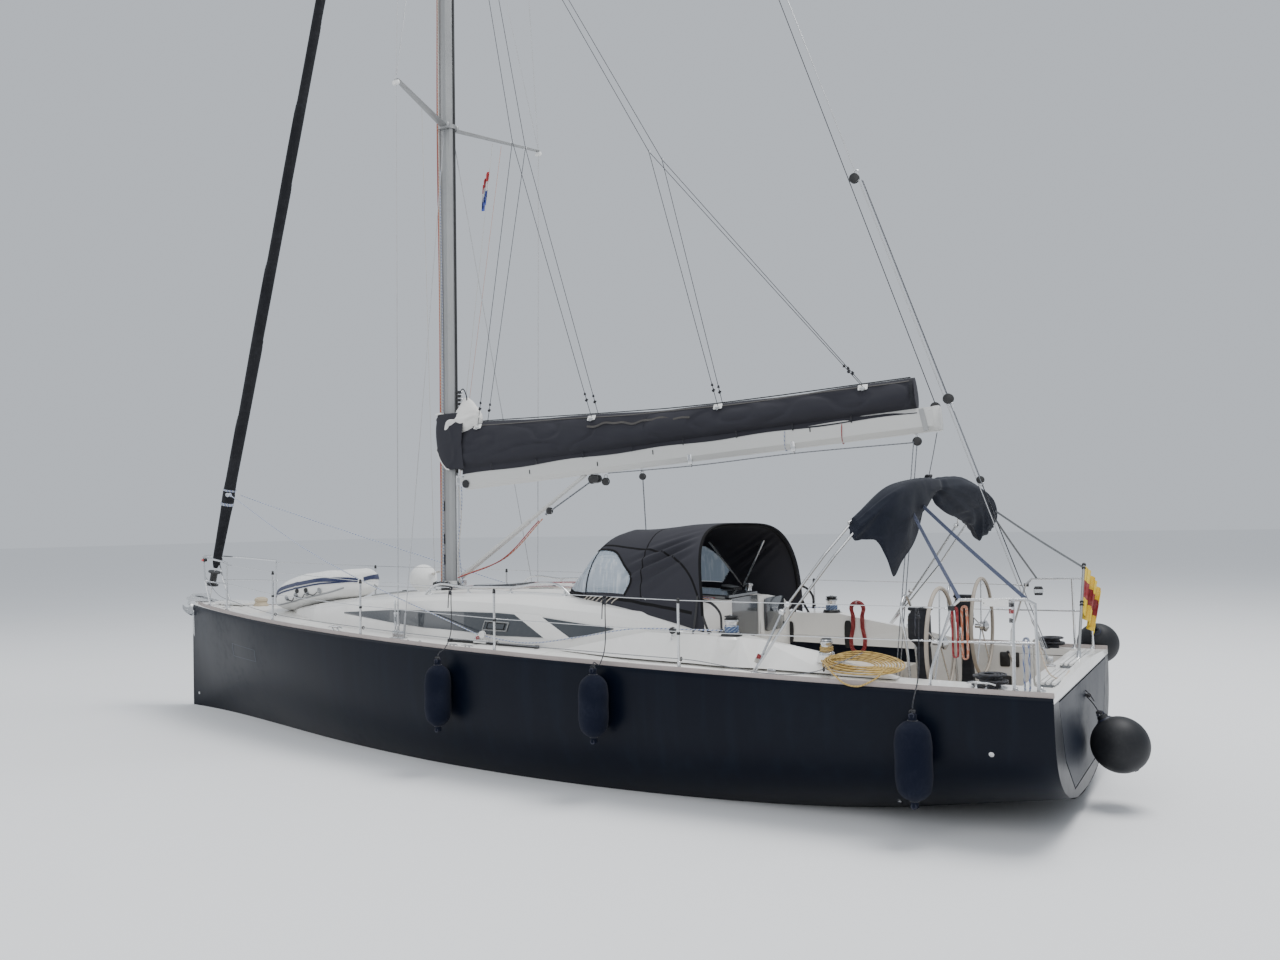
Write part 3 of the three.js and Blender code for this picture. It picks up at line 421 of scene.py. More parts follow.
class Graph:
    """Adds nodes to a shader tree, with their inputs given as values or as sockets of other nodes."""

    def __init__(self, tree: bpy.types.NodeTree) -> None:
        """Keeps the tree."""
        self.tree = tree

    def node(self, kind: str, inputs: dict | None = None, **settings: object) -> bpy.types.Node:
        """Adds one node.

        Args:
            kind: its type, without the words ShaderNode in front.
            inputs: socket names or numbers, with a value or an output socket for each.
            settings: properties of the node.

        Returns:
            The node.
        """
        made = self.tree.nodes.new(kind if kind.startswith("Node") else f"ShaderNode{kind}")
        for key, value in settings.items():
            setattr(made, key, value)
        for key, value in (inputs or {}).items():
            if isinstance(value, bpy.types.NodeSocket):
                self.tree.links.new(value, made.inputs[key])
            else:
                made.inputs[key].default_value = value
        return made

    def math(self, operation: str, *values: object, clamp: bool = False) -> bpy.types.NodeSocket:
        """One step of arithmetic."""
        return self.node("Math", dict(enumerate(values)), operation=operation, use_clamp=clamp).outputs[0]

    def mix(self, share: object, first: object, second: object) -> bpy.types.NodeSocket:
        """A colour between two others."""
        return self.node("Mix", {0: share, 6: first, 7: second}, data_type="RGBA").outputs[2]

    def ramp(self, value: object, low: float, high: float) -> bpy.types.NodeSocket:
        """A value spread from low to high over 0 to 1, held at both ends."""
        return self.node("MapRange", {0: value, 1: low, 2: high}).outputs[0]

    def group(self, tree: bpy.types.NodeTree, inputs: dict) -> bpy.types.Node:
        """Places a node group."""
        return self.node("Group", inputs, node_tree=tree)

    def noise(self, vector: object, stretch: Triple, inputs: dict) -> bpy.types.NodeSocket:
        """Noise in a space that is scaled along each axis."""
        spaced = self.node("VectorMath", {0: vector, 1: stretch}, operation="MULTIPLY").outputs[0]
        return self.node("TexNoise", {"Vector": spaced, **inputs}).outputs[0]


class Pattern(Enum):
    """What a finish repeats over its surface."""

    PLAIN = "plain"
    WEAVE = "weave"
    LAY = "lay"
    KNIT = "knit"
    PLANKS = "planks"
    GRIP = "grip"
    BRUSHED = "brushed"
    STREAKS = "streaks"
    CREASES = "creases"
    CAST = "cast"


def new_group(name: str) -> tuple[bpy.types.NodeTree, Graph, bpy.types.Node, bpy.types.Node]:
    """An empty node group with the sockets that every group here has: Vector and Scale in, Mask and Height out."""
    tree = bpy.data.node_groups.new(name, "ShaderNodeTree")
    for socket, way, kind in (("Vector", "INPUT", "Vector"), ("Scale", "INPUT", "Float"),
                              ("Mask", "OUTPUT", "Float"), ("Height", "OUTPUT", "Float")):
        tree.interface.new_socket(name=socket, in_out=way, socket_type=f"NodeSocket{kind}")
    return tree, Graph(tree), tree.nodes.new("NodeGroupInput"), tree.nodes.new("NodeGroupOutput")


def wear_group() -> bpy.types.NodeTree:
    """Use over years: soft clouds of dirt and fading, broken up by fine scuffs. Built once."""
    if "wear" in bpy.data.node_groups:
        return bpy.data.node_groups["wear"]
    tree, g, given, out = new_group("wear")
    cloud = g.node("TexNoise", {"Vector": given.outputs[0], "Scale": given.outputs[1], "Detail": 5.0,
                                "Roughness": 0.6})
    fine = g.node("TexNoise", {"Vector": given.outputs[0], "Scale": g.math("MULTIPLY", given.outputs[1], 14.0),
                               "Detail": 3.0})
    soft = g.ramp(cloud.outputs[0], 0.42, 0.72)
    scuffs = g.ramp(fine.outputs[0], 0.45, 0.75)
    mask = g.math("MULTIPLY", soft, g.math("MULTIPLY_ADD", scuffs, 0.6, 0.4), clamp=True)
    g.tree.links.new(mask, out.inputs[0])
    g.tree.links.new(g.math("ADD", cloud.outputs[0], g.math("MULTIPLY", fine.outputs[0], 0.25)), out.inputs[1])
    return tree


def pattern_group(pattern: Pattern) -> bpy.types.NodeTree:
    """The group that draws one pattern. Each is built once.

    WEAVE crosses two waves; LAY turns strands round a rope's UVs; KNIT sets ribs along them; PLANKS cuts boards
    along the boat with dark seams; GRIP sets round studs; BRUSHED draws fine lines; STREAKS draws long runs
    down the surface, which are dirt on most finishes and painted highlights on the window vinyl;
    CREASES stretches folds along the surface; CAST is a coarse skin.

    Args:
        pattern: which one.

    Returns:
        The node tree.
    """
    name = f"{pattern.value}_pattern"
    if name in bpy.data.node_groups:
        return bpy.data.node_groups[name]
    tree, g, given, out = new_group(name)
    vector, scale = given.outputs[0], given.outputs[1]
    spread = g.node("VectorMath", {0: vector, "Scale": scale}, operation="SCALE").outputs[0]
    x, y, _ = g.node("SeparateXYZ", {0: spread}).outputs
    turn = 2 * math.pi
    if pattern in (Pattern.WEAVE, Pattern.KNIT):
        warp = g.math("SINE", g.math("MULTIPLY", x, turn))
        weft = g.math("SINE", g.math("MULTIPLY", y, turn * (1.0 if pattern is Pattern.WEAVE else 0.45)))
        height = g.math("MULTIPLY_ADD", g.math("MULTIPLY", warp, weft), 0.5, 0.5)
        mask = g.math("MULTIPLY", height, g.node("TexNoise", {"Vector": vector, "Scale": 3.0}).outputs[0])
    elif pattern is Pattern.LAY:
        phase = g.math("MULTIPLY_ADD", g.math("DIVIDE", x, scale), 3.0, g.math("MULTIPLY", y, 0.8))
        height = g.math("ABSOLUTE", g.math("SINE", g.math("MULTIPLY", phase, math.pi)))
        fleck = g.math("FRACT", g.math("MULTIPLY_ADD", y, 0.27, g.math("DIVIDE", x, scale)))
        mask = g.math("GREATER_THAN", fleck, 0.72)
    elif pattern is Pattern.PLANKS:
        seam = g.math("PINGPONG", y, 0.5)
        mask = g.math("LESS_THAN", seam, 0.035)
        grain = g.noise(spread, (0.15, 3.0, 1.0), {"Scale": 4.0, "Detail": 6.0})
        height = g.math("SUBTRACT", g.math("MULTIPLY", grain, 0.4), g.math("MULTIPLY", mask, 0.9))
    elif pattern is Pattern.GRIP:
        cells = g.node("TexVoronoi", {"Vector": vector, "Scale": scale, "Randomness": 0.15})
        height = g.math("SUBTRACT", 1.0, g.ramp(cells.outputs[0], 0.2, 0.5))
        mask = g.math("MULTIPLY", height, 0.5)
    elif pattern is Pattern.BRUSHED:
        lines = g.noise(vector, (40.0, 6.0, 1.0), {"Scale": scale, "Detail": 3.0})
        height, mask = lines, g.ramp(lines, 0.35, 0.7)
    elif pattern is Pattern.STREAKS:
        runs = g.noise(vector, (9.0, 9.0, 0.45), {"Scale": scale, "Detail": 5.0})
        mask = g.ramp(runs, 0.5, 0.74)
        height = g.node("TexNoise", {"Vector": vector, "Scale": 1.3, "Detail": 1.0}).outputs[0]
    elif pattern is Pattern.CREASES:
        folds = g.noise(vector, (1.0, 2.2, 3.4), {"Scale": scale, "Detail": 4.0, "Distortion": 1.4})
        height, mask = folds, g.ramp(folds, 0.46, 0.7)
    else:
        skin = g.node("TexNoise", {"Vector": vector, "Scale": scale, "Detail": 6.0, "Roughness": 0.7})
        height, mask = skin.outputs[0], g.ramp(skin.outputs[0], 0.5, 0.68)
    g.tree.links.new(mask, out.inputs[0])
    g.tree.links.new(height, out.inputs[1])
    return tree


@dataclass(frozen=True)
class Finish:
    """One finish: its colours, its pattern, its wear and how it takes the light."""

    name: str
    color: Color
    second: Color
    worn: Color
    roughness: float
    pattern: Pattern = Pattern.PLAIN
    pitch: float = 60.0
    drawn: float = 0.0
    relief: float = 0.15
    depth: float = 0.002
    wear: float = 0.35
    cloud: float = 1.6
    metallic: float = 0.0
    coat: float = 0.0
    sheen: float = 0.0
    clear: float = 0.0
    by_uv: bool = False
    shine: float = 0.5

    def material(self) -> bpy.types.Material:
        """The material of this finish, built the first time that it is asked for."""
        if self.name in bpy.data.materials:
            return bpy.data.materials[self.name]
        made = bpy.data.materials.new(self.name)
        made.use_nodes = True
        g = Graph(made.node_tree)
        shader = made.node_tree.nodes["Principled BSDF"]
        places = g.node("TexCoord")
        spot = places.outputs["Object"]
        wear = g.group(wear_group(), {"Vector": spot, "Scale": self.cloud})
        kind = Pattern.CAST if self.pattern is Pattern.PLAIN else self.pattern
        drawn = g.group(pattern_group(kind), {"Vector": places.outputs["UV"] if self.by_uv else spot,
                                              "Scale": self.pitch})
        base = g.mix(g.math("MULTIPLY", drawn.outputs["Mask"], self.drawn), (*self.color, 1), (*self.second, 1))
        worn = g.mix(g.math("MULTIPLY", wear.outputs["Mask"], self.wear), base, (*self.worn, 1))
        links = made.node_tree.links
        links.new(worn, shader.inputs["Base Color"])
        rough = g.math("MULTIPLY_ADD", wear.outputs["Mask"], 0.25 * (1 - self.roughness), self.roughness)
        links.new(rough, shader.inputs["Roughness"])
        height = g.math("MULTIPLY_ADD", wear.outputs["Height"], 0.2, drawn.outputs["Height"])
        bump = g.node("Bump", {"Height": height, "Strength": self.relief, "Distance": self.depth})
        links.new(bump.outputs[0], shader.inputs["Normal"])
        shader.inputs["Metallic"].default_value = self.metallic
        shader.inputs["Specular IOR Level"].default_value = self.shine
        shader.inputs["Coat Weight"].default_value = self.coat
        shader.inputs["Coat Roughness"].default_value = 0.06
        shader.inputs["Sheen Weight"].default_value = self.sheen
        shader.inputs["Transmission Weight"].default_value = self.clear
        return made


@dataclass(frozen=True)
class Bands:
    """A cloth of plain bands across its UVs: the colours from one edge to the other, and each band's end."""

    name: str
    colors: tuple[Color, ...]
    ends: tuple[float, ...]
    along: int = 0
    roughness: float = 0.75

    def material(self) -> bpy.types.Material:
        """The material, built the first time that it is asked for."""
        if self.name in bpy.data.materials:
            return bpy.data.materials[self.name]
        made = bpy.data.materials.new(self.name)
        made.use_nodes = True
        g = Graph(made.node_tree)
        shader = made.node_tree.nodes["Principled BSDF"]
        places = g.node("TexCoord")
        share = g.node("SeparateXYZ", {0: places.outputs["UV"]}).outputs[self.along]
        color: object = (*self.colors[0], 1)
        for end, following in zip(self.ends, self.colors[1:]):
            color = g.mix(g.math("GREATER_THAN", share, end), color, (*following, 1))
        wear = g.group(wear_group(), {"Vector": places.outputs["Object"], "Scale": 9.0})
        faded = g.mix(g.math("MULTIPLY", wear.outputs["Mask"], 0.3), color, (0.75, 0.72, 0.66, 1))
        made.node_tree.links.new(faded, shader.inputs["Base Color"])
        weave = g.group(pattern_group(Pattern.WEAVE), {"Vector": places.outputs["UV"], "Scale": 90.0})
        bump = g.node("Bump", {"Height": weave.outputs["Height"], "Strength": 0.2, "Distance": 0.001})
        made.node_tree.links.new(bump.outputs[0], shader.inputs["Normal"])
        shader.inputs["Roughness"].default_value = self.roughness
        return made


def rope_finish(name: str, color: Color, fleck: Color, share: float = 0.8) -> Finish:
    """A laid rope with a fleck in one of its strands."""
    return Finish(name, color, fleck, (0.16, 0.14, 0.12), 0.8, Pattern.LAY, 1.0, share, 0.7, 0.003, 0.3, 5.0,
                  sheen=0.2, by_uv=True)


WHITE_GEL = Finish("white_gelcoat", (0.84, 0.83, 0.8), (0.78, 0.77, 0.73), (0.62, 0.59, 0.53), 0.3,
                   Pattern.STREAKS, 1.4, 0.25, 0.05, 0.002, 0.35, 0.9, coat=0.5)
BEIGE_GEL = Finish("beige_gelcoat", (0.6, 0.56, 0.5), (0.53, 0.49, 0.43), (0.4, 0.36, 0.3), 0.45,
                   Pattern.STREAKS, 1.2, 0.3, 0.05, 0.002, 0.4, 1.2, coat=0.2)
GRIP_WHITE = Finish("non_slip_gelcoat", (0.76, 0.75, 0.72), (0.82, 0.81, 0.78), (0.52, 0.49, 0.44), 0.75,
                    Pattern.GRIP, 140.0, 0.6, 0.5, 0.002, 0.45, 1.1)
NAVY_PAINT = Finish("navy_topside_paint", (0.0016, 0.0032, 0.009), (0.004, 0.008, 0.017), (0.01, 0.016, 0.026), 0.3,
                    Pattern.STREAKS, 0.9, 0.5, 0.02, 0.004, 0.3, 0.7, shine=0.14)
NAVY_PANEL = Finish("navy_stern_paint", (0.003, 0.007, 0.018), (0.007, 0.013, 0.026), (0.018, 0.026, 0.036), 0.4,
                    Pattern.STREAKS, 1.1, 0.4, 0.03, 0.003, 0.35, 1.3, shine=0.16)
BOW_MARK = Finish("bow_mark_paint", (0.014, 0.024, 0.04), (0.012, 0.02, 0.034), (0.03, 0.036, 0.046), 0.35,
                  Pattern.STREAKS, 1.1, 0.4, 0.03, 0.003, 0.3, 1.3, shine=0.3)
FURL_STRIP = Finish("dark_sail_strip", (0.009, 0.0095, 0.012), (0.018, 0.019, 0.023), (0.04, 0.04, 0.044), 0.8,
                    Pattern.CREASES, 3.0, 0.7, 0.3, 0.006, 0.45, 1.1, shine=0.25)
FADED_CANVAS = Finish("faded_canvas", (0.05, 0.046, 0.043), (0.07, 0.064, 0.06), (0.11, 0.1, 0.09), 0.85,
                      Pattern.CREASES, 6.0, 0.6, 0.4, 0.004, 0.5, 4.0, sheen=0.2)
FENDER_BALL = Finish("round_fender_skin", (0.008, 0.009, 0.012), (0.016, 0.017, 0.02), (0.05, 0.05, 0.052), 0.5,
                     Pattern.CAST, 14.0, 0.4, 0.12, 0.002, 0.4, 3.0, shine=0.35)
ANTIFOUL = Finish("antifouling", (0.03, 0.036, 0.045), (0.05, 0.055, 0.05), (0.075, 0.08, 0.06), 0.8,
                  Pattern.CAST, 18.0, 0.5, 0.3, 0.003, 0.7, 1.4)
CAST_KEEL = Finish("coated_casting", (0.05, 0.055, 0.06), (0.085, 0.06, 0.045), (0.13, 0.075, 0.045), 0.7,
                   Pattern.CAST, 26.0, 0.5, 0.45, 0.004, 0.5, 2.1, metallic=0.2)
BRONZE = Finish("propeller_bronze", (0.42, 0.28, 0.1), (0.32, 0.24, 0.12), (0.2, 0.26, 0.18), 0.35,
                Pattern.BRUSHED, 30.0, 0.4, 0.15, 0.001, 0.4, 7.0, metallic=0.9)
SOLE_PLANKS = Finish("pale_laid_sole", (0.4, 0.33, 0.25), (0.02, 0.018, 0.016), (0.3, 0.27, 0.23), 0.7,
                     Pattern.PLANKS, 18.0, 1.0, 0.35, 0.002, 0.4, 2.0)
SLAT_TEAK = Finish("pale_slat", (0.68, 0.62, 0.52), (0.56, 0.5, 0.4), (0.45, 0.4, 0.33), 0.6,
                   Pattern.PLANKS, 30.0, 0.35, 0.25, 0.001, 0.3, 4.0)
TOE_ALLOY = Finish("toe_rail_alloy", (0.42, 0.37, 0.35), (0.34, 0.29, 0.27), (0.24, 0.2, 0.19), 0.5,
                   Pattern.BRUSHED, 12.0, 0.4, 0.2, 0.001, 0.4, 3.0, metallic=0.55)
SMOKED = Finish("smoked_acrylic", (0.035, 0.042, 0.05), (0.05, 0.056, 0.062), (0.1, 0.1, 0.1), 0.12,
                Pattern.CAST, 2.0, 0.3, 0.02, 0.002, 0.25, 1.8, coat=1.0)
SPAR_ALLOY = Finish("spar_alloy", (0.33, 0.335, 0.335), (0.4, 0.405, 0.4), (0.2, 0.2, 0.2), 0.42,
                    Pattern.STREAKS, 2.5, 0.5, 0.12, 0.001, 0.35, 1.7, metallic=0.6)
BOOM_PAINT = Finish("boom_paint", (0.36, 0.38, 0.4), (0.32, 0.34, 0.36), (0.2, 0.21, 0.22), 0.4,
                    Pattern.CAST, 9.0, 0.3, 0.08, 0.001, 0.4, 1.9, metallic=0.15, coat=0.2)
STAINLESS = Finish("polished_stainless", (0.68, 0.69, 0.7), (0.56, 0.57, 0.58), (0.4, 0.35, 0.3), 0.2,
                   Pattern.BRUSHED, 20.0, 0.4, 0.08, 0.0005, 0.3, 6.0, metallic=0.95)
WIRE = Finish("stranded_wire", (0.5, 0.51, 0.52), (0.25, 0.25, 0.26), (0.32, 0.28, 0.24), 0.32,
              Pattern.BRUSHED, 60.0, 0.5, 0.4, 0.001, 0.3, 5.0, metallic=0.85)
CANVAS = Finish("black_canvas", (0.013, 0.012, 0.012), (0.026, 0.024, 0.023), (0.055, 0.048, 0.043), 0.88,
                Pattern.CREASES, 2.4, 0.8, 0.35, 0.012, 0.5, 1.3, sheen=0.06, shine=0.25)
NAVY_CANVAS = Finish("navy_canvas", (0.006, 0.009, 0.018), (0.012, 0.015, 0.026), (0.05, 0.05, 0.055), 0.8,
                     Pattern.CREASES, 1.8, 0.8, 0.3, 0.012, 0.45, 1.1, sheen=0.05, shine=0.25)
COVER_CLOTH = Finish("black_cover_cloth", (0.014, 0.015, 0.019), (0.026, 0.027, 0.032), (0.055, 0.055, 0.06), 0.75,
                     Pattern.CREASES, 5.0, 0.7, 0.35, 0.006, 0.45, 3.0, sheen=0.06, shine=0.25)
SEAM_CLOTH = Finish("seam_tape", (0.008, 0.008, 0.009), (0.014, 0.013, 0.013), (0.03, 0.028, 0.027), 0.9,
                    Pattern.CREASES, 9.0, 0.5, 0.2, 0.002, 0.3, 5.0, shine=0.15)
WEB_BLUE = Finish("navy_webbing", (0.045, 0.06, 0.12), (0.07, 0.09, 0.15), (0.12, 0.14, 0.18), 0.7,
                  Pattern.WEAVE, 240.0, 0.6, 0.5, 0.001, 0.3, 6.0, sheen=0.3, by_uv=True)
WEB_BLACK = Finish("black_webbing", (0.012, 0.012, 0.014), (0.03, 0.03, 0.032), (0.06, 0.06, 0.06), 0.75,
                   Pattern.WEAVE, 240.0, 0.5, 0.5, 0.001, 0.3, 6.0, sheen=0.2, by_uv=True)
WEB_GREY = Finish("grey_webbing", (0.2, 0.21, 0.22), (0.15, 0.16, 0.17), (0.12, 0.12, 0.12), 0.7,
                  Pattern.KNIT, 60.0, 0.3, 0.4, 0.001, 0.3, 4.0)
WEB_PALE = Finish("pale_webbing", (0.42, 0.38, 0.32), (0.3, 0.27, 0.23), (0.22, 0.2, 0.17), 0.75,
                  Pattern.WEAVE, 240.0, 0.5, 0.5, 0.001, 0.35, 6.0, sheen=0.2, by_uv=True)
# The vinyl's pale sky blue and its whiter streaks are painted reflection: sky and highlights coloured into clear vinyl.
VINYL_WITH_PAINTED_SKY = Finish("clear_vinyl", (0.5, 0.58, 0.66), (0.85, 0.9, 0.95), (0.4, 0.45, 0.5), 0.15,
                     Pattern.STREAKS, 3.5, 0.9, 0.25, 0.01, 0.25, 2.0, coat=0.6, clear=0.5)
SAIL_CLOTH = Finish("sail_cloth", (0.76, 0.75, 0.72), (0.66, 0.65, 0.62), (0.5, 0.48, 0.44), 0.65,
                    Pattern.CREASES, 6.0, 0.5, 0.4, 0.006, 0.35, 4.0, sheen=0.15)
SOCK = Finish("fender_sock", (0.003, 0.005, 0.014), (0.009, 0.012, 0.028), (0.03, 0.034, 0.05), 0.92,
              Pattern.KNIT, 60.0, 0.5, 0.6, 0.002, 0.4, 4.0, sheen=0.03, by_uv=True, shine=0.15)
FENDER_EYE = Finish("fender_eye", (0.01, 0.013, 0.03), (0.02, 0.025, 0.05), (0.05, 0.05, 0.07), 0.5,
                    Pattern.CAST, 40.0, 0.4, 0.2, 0.001, 0.3, 8.0)
WHITE_VINYL = Finish("white_vinyl", (0.78, 0.78, 0.76), (0.72, 0.72, 0.7), (0.52, 0.5, 0.45), 0.42,
                     Pattern.CREASES, 3.0, 0.35, 0.12, 0.006, 0.4, 2.2, coat=0.15)
NAVY_VINYL = Finish("navy_vinyl", (0.012, 0.02, 0.075), (0.02, 0.03, 0.09), (0.08, 0.09, 0.13), 0.4,
                    Pattern.CAST, 30.0, 0.3, 0.15, 0.001, 0.3, 5.0)
GREY_VINYL = Finish("grey_vinyl", (0.3, 0.31, 0.32), (0.24, 0.25, 0.26), (0.18, 0.17, 0.16), 0.5,
                    Pattern.CAST, 30.0, 0.3, 0.2, 0.001, 0.35, 5.0)
BLACK_PLASTIC = Finish("black_plastic", (0.012, 0.012, 0.013), (0.022, 0.022, 0.023), (0.06, 0.06, 0.06), 0.4,
                       Pattern.CAST, 70.0, 0.4, 0.15, 0.0006, 0.4, 7.0)
GREY_PLASTIC = Finish("grey_plastic", (0.2, 0.21, 0.22), (0.16, 0.17, 0.18), (0.12, 0.12, 0.12), 0.45,
                      Pattern.CAST, 70.0, 0.4, 0.15, 0.0006, 0.35, 7.0)
WHITE_PLASTIC = Finish("white_plastic", (0.8, 0.8, 0.78), (0.74, 0.74, 0.72), (0.55, 0.53, 0.48), 0.35,
                       Pattern.CAST, 60.0, 0.3, 0.08, 0.0006, 0.35, 5.0, coat=0.3)
RIM_LEATHER = Finish("wheel_rim_leather", (0.42, 0.37, 0.31), (0.34, 0.29, 0.24), (0.22, 0.18, 0.14), 0.6,
                     Pattern.CAST, 150.0, 0.5, 0.4, 0.001, 0.4, 9.0)
BLACK_RUBBER = Finish("black_rubber", (0.01, 0.01, 0.011), (0.02, 0.02, 0.02), (0.05, 0.05, 0.05), 0.7,
                      Pattern.CAST, 60.0, 0.4, 0.3, 0.001, 0.4, 6.0)
LENS_RED = Finish("red_lens", (0.5, 0.02, 0.02), (0.4, 0.02, 0.02), (0.3, 0.05, 0.04), 0.1,
                  Pattern.CAST, 20.0, 0.2, 0.02, 0.001, 0.2, 9.0, coat=1.0)
LENS_GREEN = Finish("green_lens", (0.02, 0.3, 0.12), (0.02, 0.25, 0.1), (0.05, 0.2, 0.1), 0.1,
                    Pattern.CAST, 20.0, 0.2, 0.02, 0.001, 0.2, 9.0, coat=1.0)
LENS_CLEAR = Finish("clear_lens", (0.8, 0.82, 0.84), (0.75, 0.78, 0.8), (0.6, 0.6, 0.6), 0.08,
                    Pattern.CAST, 20.0, 0.2, 0.02, 0.001, 0.2, 9.0, coat=1.0, clear=0.4)
BEIGE_CAP = Finish("beige_cap", (0.5, 0.42, 0.3), (0.42, 0.36, 0.26), (0.3, 0.26, 0.2), 0.7,
                    Pattern.CAST, 40.0, 0.4, 0.3, 0.001, 0.4, 6.0)
ROPE_YELLOW = rope_finish("yellow_rope", (0.56, 0.38, 0.11), (0.3, 0.18, 0.05))
ROPE_RED = rope_finish("red_rope", (0.3, 0.008, 0.016), (0.45, 0.1, 0.09))
ROPE_ORANGE = rope_finish("orange_fleck_rope", (0.55, 0.16, 0.07), (0.7, 0.6, 0.5))
ROPE_BLUE = rope_finish("blue_fleck_rope", (0.55, 0.58, 0.62), (0.02, 0.08, 0.36), 1.0)
ROPE_SHEET = rope_finish("blue_sheet_rope", (0.03, 0.09, 0.24), (0.42, 0.5, 0.6), 0.7)
ROPE_BLACK = rope_finish("black_rope", (0.006, 0.007, 0.012), (0.025, 0.03, 0.05))
ROPE_WHITE = rope_finish("white_rope", (0.6, 0.58, 0.53), (0.42, 0.4, 0.36))
ROPE_GREY = rope_finish("grey_fleck_rope", (0.24, 0.25, 0.27), (0.07, 0.08, 0.1))
ROPE_CREAM = rope_finish("cream_rope", (0.62, 0.5, 0.38), (0.72, 0.66, 0.56))
ENSIGN = Bands("ensign_cloth", ((0.72, 0.5, 0.015), (0.24, 0.012, 0.016), (0.72, 0.5, 0.015)), (0.3, 0.66), 0)
COURTESY = Bands("courtesy_cloth", ((0.5, 0.02, 0.03), (0.75, 0.75, 0.75), (0.02, 0.05, 0.3)), (0.34, 0.67), 0)


@dataclass
class Studio:
    """The camera off the port quarter, the pale floor at the waterline and the soft light."""

    place: Triple = (-7.322, 9.947, 2.487)
    yaw: float = -59.758
    pitch: float = 2.428
    roll: float = -0.955
    lens: float = 29.53
    floor_half: float = 190.0
    lamps: tuple[tuple[str, Triple, float, float], ...] = (
        ("key_light", (-9.0, -5.0, 24.0), 12.0, 5200.0),
        ("fill_light", (-6.0, 17.0, 12.0), 16.0, 1200.0),
        ("bow_light", (17.0, 9.0, 9.0), 14.0, 700.0),
    )

    def camera(self) -> bpy.types.Object:
        """The camera, from its place and its turn, tilt and lean in degrees."""
        yaw, pitch, roll = (math.radians(v) for v in (self.yaw, self.pitch, self.roll))
        ahead = np.array([math.cos(yaw) * math.cos(pitch), math.sin(yaw) * math.cos(pitch), math.sin(pitch)])
        level = np.array([math.sin(yaw), -math.cos(yaw), 0.0])
        upright = np.cross(level, ahead)
        right = level * math.cos(roll) + upright * math.sin(roll)
        up = -level * math.sin(roll) + upright * math.cos(roll)
        matrix = np.eye(4)
        matrix[:3, 0], matrix[:3, 1], matrix[:3, 2], matrix[:3, 3] = right, up, -ahead, self.place
        data = bpy.data.cameras.new("camera")
        data.lens, data.sensor_width = self.lens, 36.0
        data.clip_start, data.clip_end = 0.05, 400.0
        made = bpy.data.objects.new("camera", data)
        made.matrix_world = Matrix(matrix.tolist())
        bpy.context.scene.collection.objects.link(made)
        bpy.context.scene.camera = made
        return made

    def floor(self) -> bpy.types.Object:
        """The pale floor, level with the waterline."""
        finish = Finish("studio_floor", (0.9, 0.905, 0.91), (0.88, 0.885, 0.89), (0.86, 0.865, 0.87), 0.95,
                        Pattern.CAST, 0.4, 0.3, 0.0, 0.001, 0.3, 0.2, shine=0.0)
        h = self.floor_half
        corners = [(-h, -h, 0), (-h, h, 0), (h, h, 0), (h, -h, 0)]
        return make_piece("studio_floor", [grid(filled(corners, 2), finish)], body=None)

    def light(self, name: str, place: Triple, size: float, power: float) -> bpy.types.Object:
        """One wide soft lamp that looks at the yacht's middle."""
        data = bpy.data.lights.new(name, "AREA")
        data.size, data.energy = size, power
        made = bpy.data.objects.new(name, data)
        made.location = place
        made.rotation_euler = (Vector((0.0, 0.0, 2.0)) - Vector(place)).to_track_quat("-Z", "Y").to_euler()
        bpy.context.scene.collection.objects.link(made)
        return made

    def build(self) -> None:
        """Makes all of it."""
        self.camera()
        world = bpy.data.worlds.new("pale_room")
        world.use_nodes = True
        world.node_tree.nodes["Background"].inputs[0].default_value = (0.76, 0.81, 0.88, 1)
        world.node_tree.nodes["Background"].inputs[1].default_value = 0.78
        bpy.context.scene.world = world
        self.floor()
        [self.light(*row) for row in self.lamps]
        LOG.info("studio ready")


@dataclass
class Rope:
    """One free rope: its line, its thickness and its finish."""

    name: str
    path: Points
    diameter: float
    finish: Finish
    far_end: str = "object"
    stiffness: str = "limp"
    lay: str = "hanging"
    body: str = "root"

    def build(self) -> bpy.types.Object:
        """The rope as a tube."""
        made = make_piece(self.name, [tube(self.path, self.diameter / 2, self.finish, 8)], self.body, sharp=80)
        tuple(self.path[0])
        length_of(self.path)
        return made


